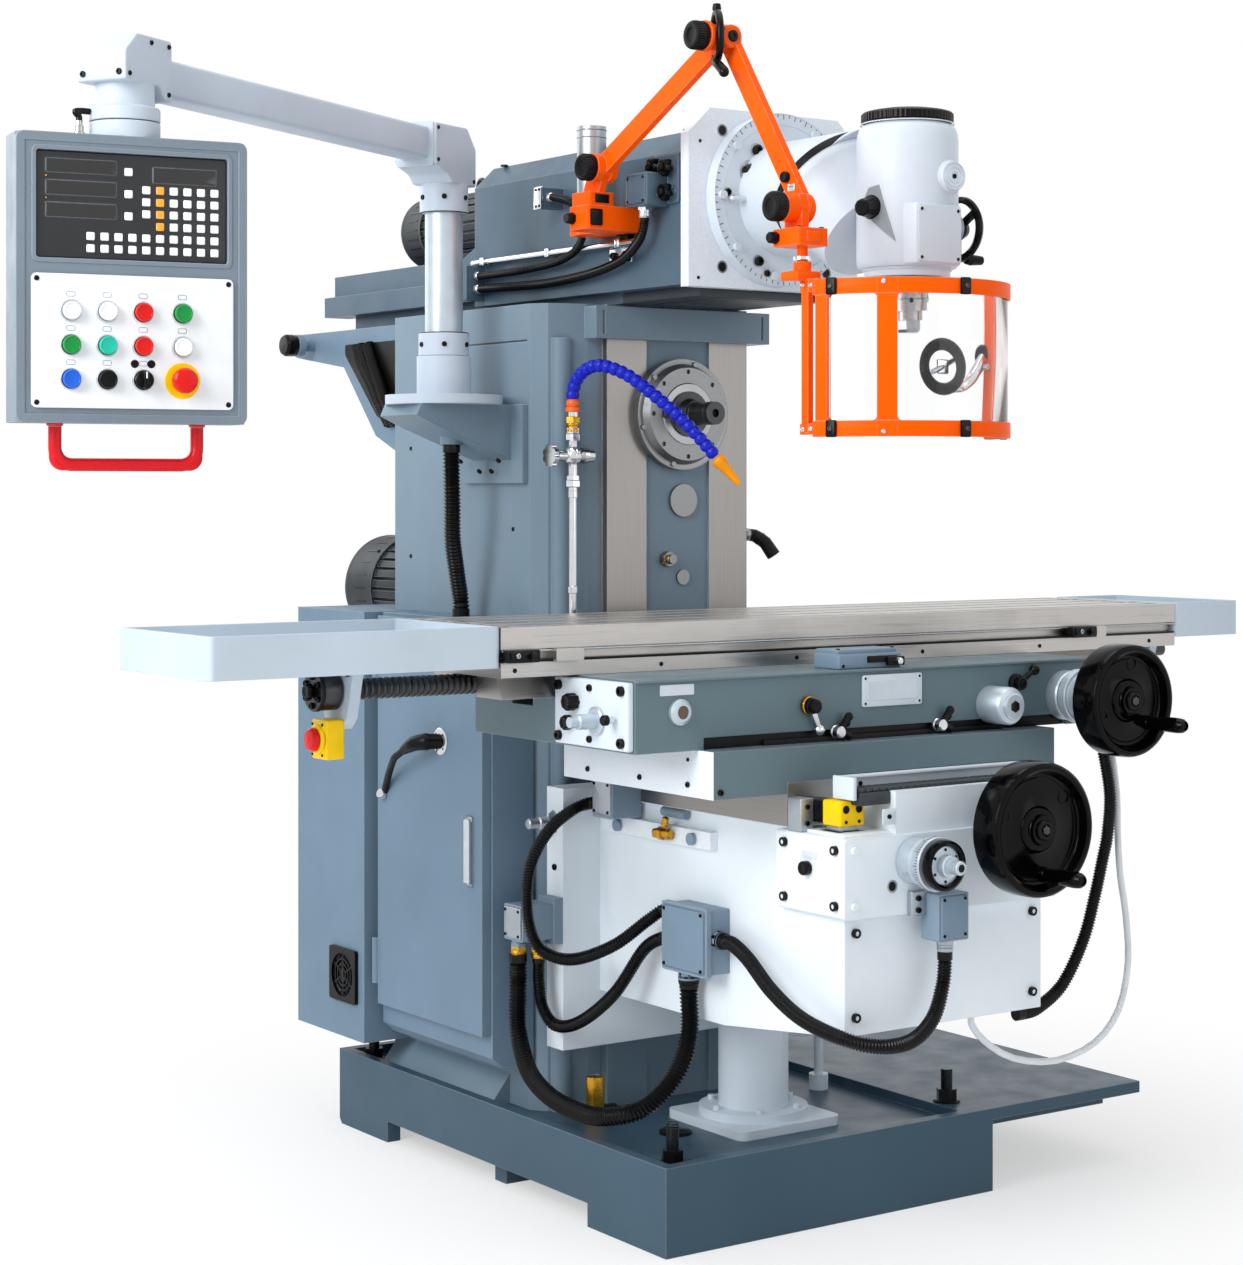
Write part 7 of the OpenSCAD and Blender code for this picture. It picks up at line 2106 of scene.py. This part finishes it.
@dataclass(frozen=True)
class TableDetails:
    """Trip dogs, edge strip, stop box and end flange of the work table."""

    dogs: Vec = (-640, 658)

    def build(self) -> None:
        """Make the table's small pieces."""
        form = Form()
        for x in self.dogs:
            form.block((x - 34, -545, 1027.6), (x + 30, -526, 1049), 3, 0, 1)
            form.block((x - 30, -550, 1033), (x - 6, -543, 1047), 2, 0, 1)
            form.turned([(8, 0), (8, 8), (5, 9)], (x + 14, -545, 1038), -Y, 0, 6)
            form.cap_screw((x - 18, -550, 1040), -Y, 4.5, 1, 3)
        form.block((-676, -528.4, 1028), (922, -512, 1031.6), 1, 0, 0)
        form.block((-676, -528.4, 1044.8), (922, -526.6, 1048), 0.8, 1, 0)
        form.cap_screws((-650, -350, -50, 250, 550, 850), -527, 1014, -Y, 4, 0, 1.6)
        form.build("trip_dogs", [BLACK_OXIDE, BRIGHT_STEEL], "work_table", "black_oxide_steel")
        stop = Form()
        stop.block((-924, -377, 868), (-888, -325, 934), 5, 0)
        stop.block((-926, -373, 872), (-921, -329, 930), 4, 0, 0)
        stop.turned([(25, 0), (25, 3), (22, 5), (9.2, 5)], (-925.6, -351, 901), -X, 0, 56)
        stop.cap_screws(-926, (-368, -334), (876, 926), -X, 2.6, 1, 1.6)
        for y, z in ((-392, 1012), (-304, 1012)):
            stop.cap_screw((-890, y, z), -X, 6, 1, 5)
        stop.build("stop_box_cover", [YELLOW_PLASTIC, BLACK_OXIDE], "work_table", "brass")
        end = Form()
        for k in range(6):
            end.cap_screw(around((-933, -347, 981), -X, 24, 60 * k), -X, 5.4, 0, 5)
        end.turned([(33.4, 1), (34.4, 2), (34.4, 7), (33.4, 8)], (-933, -347, 981), X, 1, 72)
        grip_knob(end, (-935, -347, 981), -X, 14, 12, 6, 0.2, 0)
        end.build("screw_end_flange", [BLACK_PLASTIC, BLACK_OXIDE], "lead_screw", "black_oxide_steel")


@dataclass(frozen=True)
class BaseDetails:
    """Nuts, drain, cable plug, cover screws and vents of the base and the cabinets."""

    bolts: tuple[Vec, ...] = ((-306, -500), (345, -488), (-330, 520), (345, 520))
    fan: Vec = (-427.6, 470, 330)

    def build(self) -> None:
        """Make the small pieces of the base and the electrical cabinets."""
        form = Form()
        for x, y in self.bolts:
            form.turned([(26, 0), (26, 3), (24, 4)], (x, y, 155 if x > 0 else 136), Z, 0, 48)
            form.turned([(18, 0), (19, 2), (19, 15), (16, 17)], (x, y, 159 if x > 0 else 140), Z, 0, 6)
            for k in range(7):
                form.torus((x, y, 180 + 4.5 * k), Z, 10.6, 1.0, 0, 28, 6)
        form.turned([(16.6, 0), (17.4, 1.5), (17.4, 70), (16.6, 78), (13, 79), (12.6, 70), (0, 70)],
                    (-232, -150, 136), Z, 1, 48)
        for y in (-330, -90):
            form.turned([(30, 0), (30, 5), (26, 7)], (-236 + 60, y, 136), Z, 0, 48)
        form.build("base_fittings", [BLACK_OXIDE, BRASS], "machine_frame", "black_oxide_steel")
        self._cabinet()

    def _cabinet(self) -> None:
        """Plug with its cable, the door's latch plate, the fan grille and cover screws."""
        form = Form()
        form.turned([(26, 0), (26, 3), (24, 4)], (-412, 112, 832), -X, 1, 48)
        for k in range(4):
            form.cap_screw(around((-415.4, 112, 832), -X, 19, 90 * k + 45), -X, 2.4, 0, 1.6)
        plug = smooth_path([(-412, 112, 832), (-436, 122, 832), (-452, 150, 826), (-456, 180, 812)], 8)
        form.tube(plug, np.interp(np.linspace(0, 1, len(plug)), [0, 0.3, 0.34, 0.7, 1],
                                  [15, 15, 17, 14, 9]), 24, 0)
        lead = smooth_path([(-455, 176, 814), (-455, 214, 796), (-440, 258, 770), (-424, 300, 740),
                            (-413, 330, 712)], 8)
        form.tube(lead, 7, 16, 2)
        gland(form, (-412.4, 332, 706), (-1, -0.4, 0.6), 11, 1)
        form.build("door_plug", [BLACK_PLASTIC, CHROME, BLACK_RUBBER], "cabinet_door", "black_phenolic")
        lock = Form()
        lock.block((-414.4, -8, 566), (-412.2, 16, 700), 5, 0, 0)
        lock.build("latch_plate", [SATIN_ALLOY], "cabinet_door", "bright_steel")
        fan = Form()
        for k in range(5):
            fan.torus((-427.4, 470, 330), X, 9 + 8.6 * k, 1.1, 0, 64, 8)
        for k in range(8):
            turn = math.radians(45 * k + 20)
            way = np.array([0, math.cos(turn), math.sin(turn)])
            fan.tube([self.fan, self.fan + way * 46], 1.4, 8, 0)
        fan.cap_screws(-428, (424, 516), (284, 376), -X, 4, 1, 2.4)
        fan.turned([(11, 0), (11, 2), (9, 3)], self.fan, -X, 0, 32)
        fan.build("fan_guard_rings", [BLACK_OXIDE, CHROME], "machine_frame", "black_oxide_steel")


# The sub-assemblies in the order in which they are made

CROSS_WHEEL = Handwheel("cross_handwheel", (92, 745), -890.3, 114, 96, 50, 78, 80, "cross_handle")
TABLE_WHEEL = Handwheel("table_handwheel", (453, 935), -724.3, 102, 118, 50, 66, 40, "table_handle")
ASSEMBLIES = (ControlPanel(), PendantArm(), GuardArm(), GuardScreen(), CoolantHose(),
              SpindleNose(), ColumnDetails(), RamDetails(), HeadDetails(), Motors(), CROSS_WHEEL,
              TABLE_WHEEL, LiftingCrank(), SupportFittings(), KneeDetails(), TableDetails(),
              BaseDetails())


# The CAD nodes that stay, each with the finish of the real piece

DRESSED = {
    "base_casting": BASE_PAINT, "levelling_bolts": BLACK_OXIDE, "column_casting": COLUMN_PAINT,
    "lift_pedestal": WHITE_PAINT, "spindle_flange": FLANGE_STEEL, "electrical_cabinet": CABINET_PAINT,
    "cabinet_equipment": BLACK_PLASTIC, "main_motor": MOTOR_PAINT, "column_fittings": FLANGE_STEEL,
    "coolant_pipe": CHROME, "rear_duct": CABINET_PAINT, "pendant_bracket": BRACKET_PAINT,
    "cabinet_door": CABINET_PAINT, "door_latch": CHROME, "horizontal_spindle": DARK_STEEL,
    "drive_shaft": BRIGHT_STEEL, "coolant_knob": CHROME, "knee_casting": KNEE_PAINT,
    "elevating_screw": BRIGHT_STEEL, "knee_fittings": KNEE_BOXES, "saddle_block": SADDLE_SIDES,
    "table_support": SADDLE_PAINT, "clamp_lever": CHROME, "left_lock_lever": BLACK_PLASTIC,
    "right_lock_lever": BLACK_PLASTIC, "feed_lever": BLACK_PLASTIC, "table": TABLE_IRON,
    "end_trays": TRAY_PAINT, "lead_screw": DARK_STEEL, "table_stop_button": RED_PLASTIC,
    "ram_housing": RAM_PAINT, "ram_motor": MOTOR_PAINT, "swivel_knuckle": WHITE_PAINT,
    "vertical_spindle": BRIGHT_STEEL, "quill_handwheel": BLACK_WHEEL, "guard_base": GUARD_BLOCK,
    "guard_link_low": GUARD_ORANGE, "guard_link_high": GUARD_ORANGE, "guard_wrist": GUARD_ORANGE,
    "control_panel": PANEL_GREY,
}


def dress_nodes(nodes: dict) -> None:
    """Give every CAD node its finish.

    Args:
        nodes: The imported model's objects by node name.
    """
    for name, finish in DRESSED.items():
        slots = nodes[name].material_slots
        if not slots:
            nodes[name].data.materials.append(finish.material())
        for entry in slots:
            entry.material = finish.material()


def main() -> None:
    """Load the frame, then make the studio, the hoses and every sub-assembly in order."""
    logging.basicConfig(level=logging.INFO, format="%(name)s: %(message)s")
    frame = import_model()
    Studio().build()
    for conduit in CONDUITS:
        conduit.build()
    dress_nodes(frame["nodes"])
    for assembly in ASSEMBLIES:
        assembly.build()


if __name__ == "__main__":
    main()
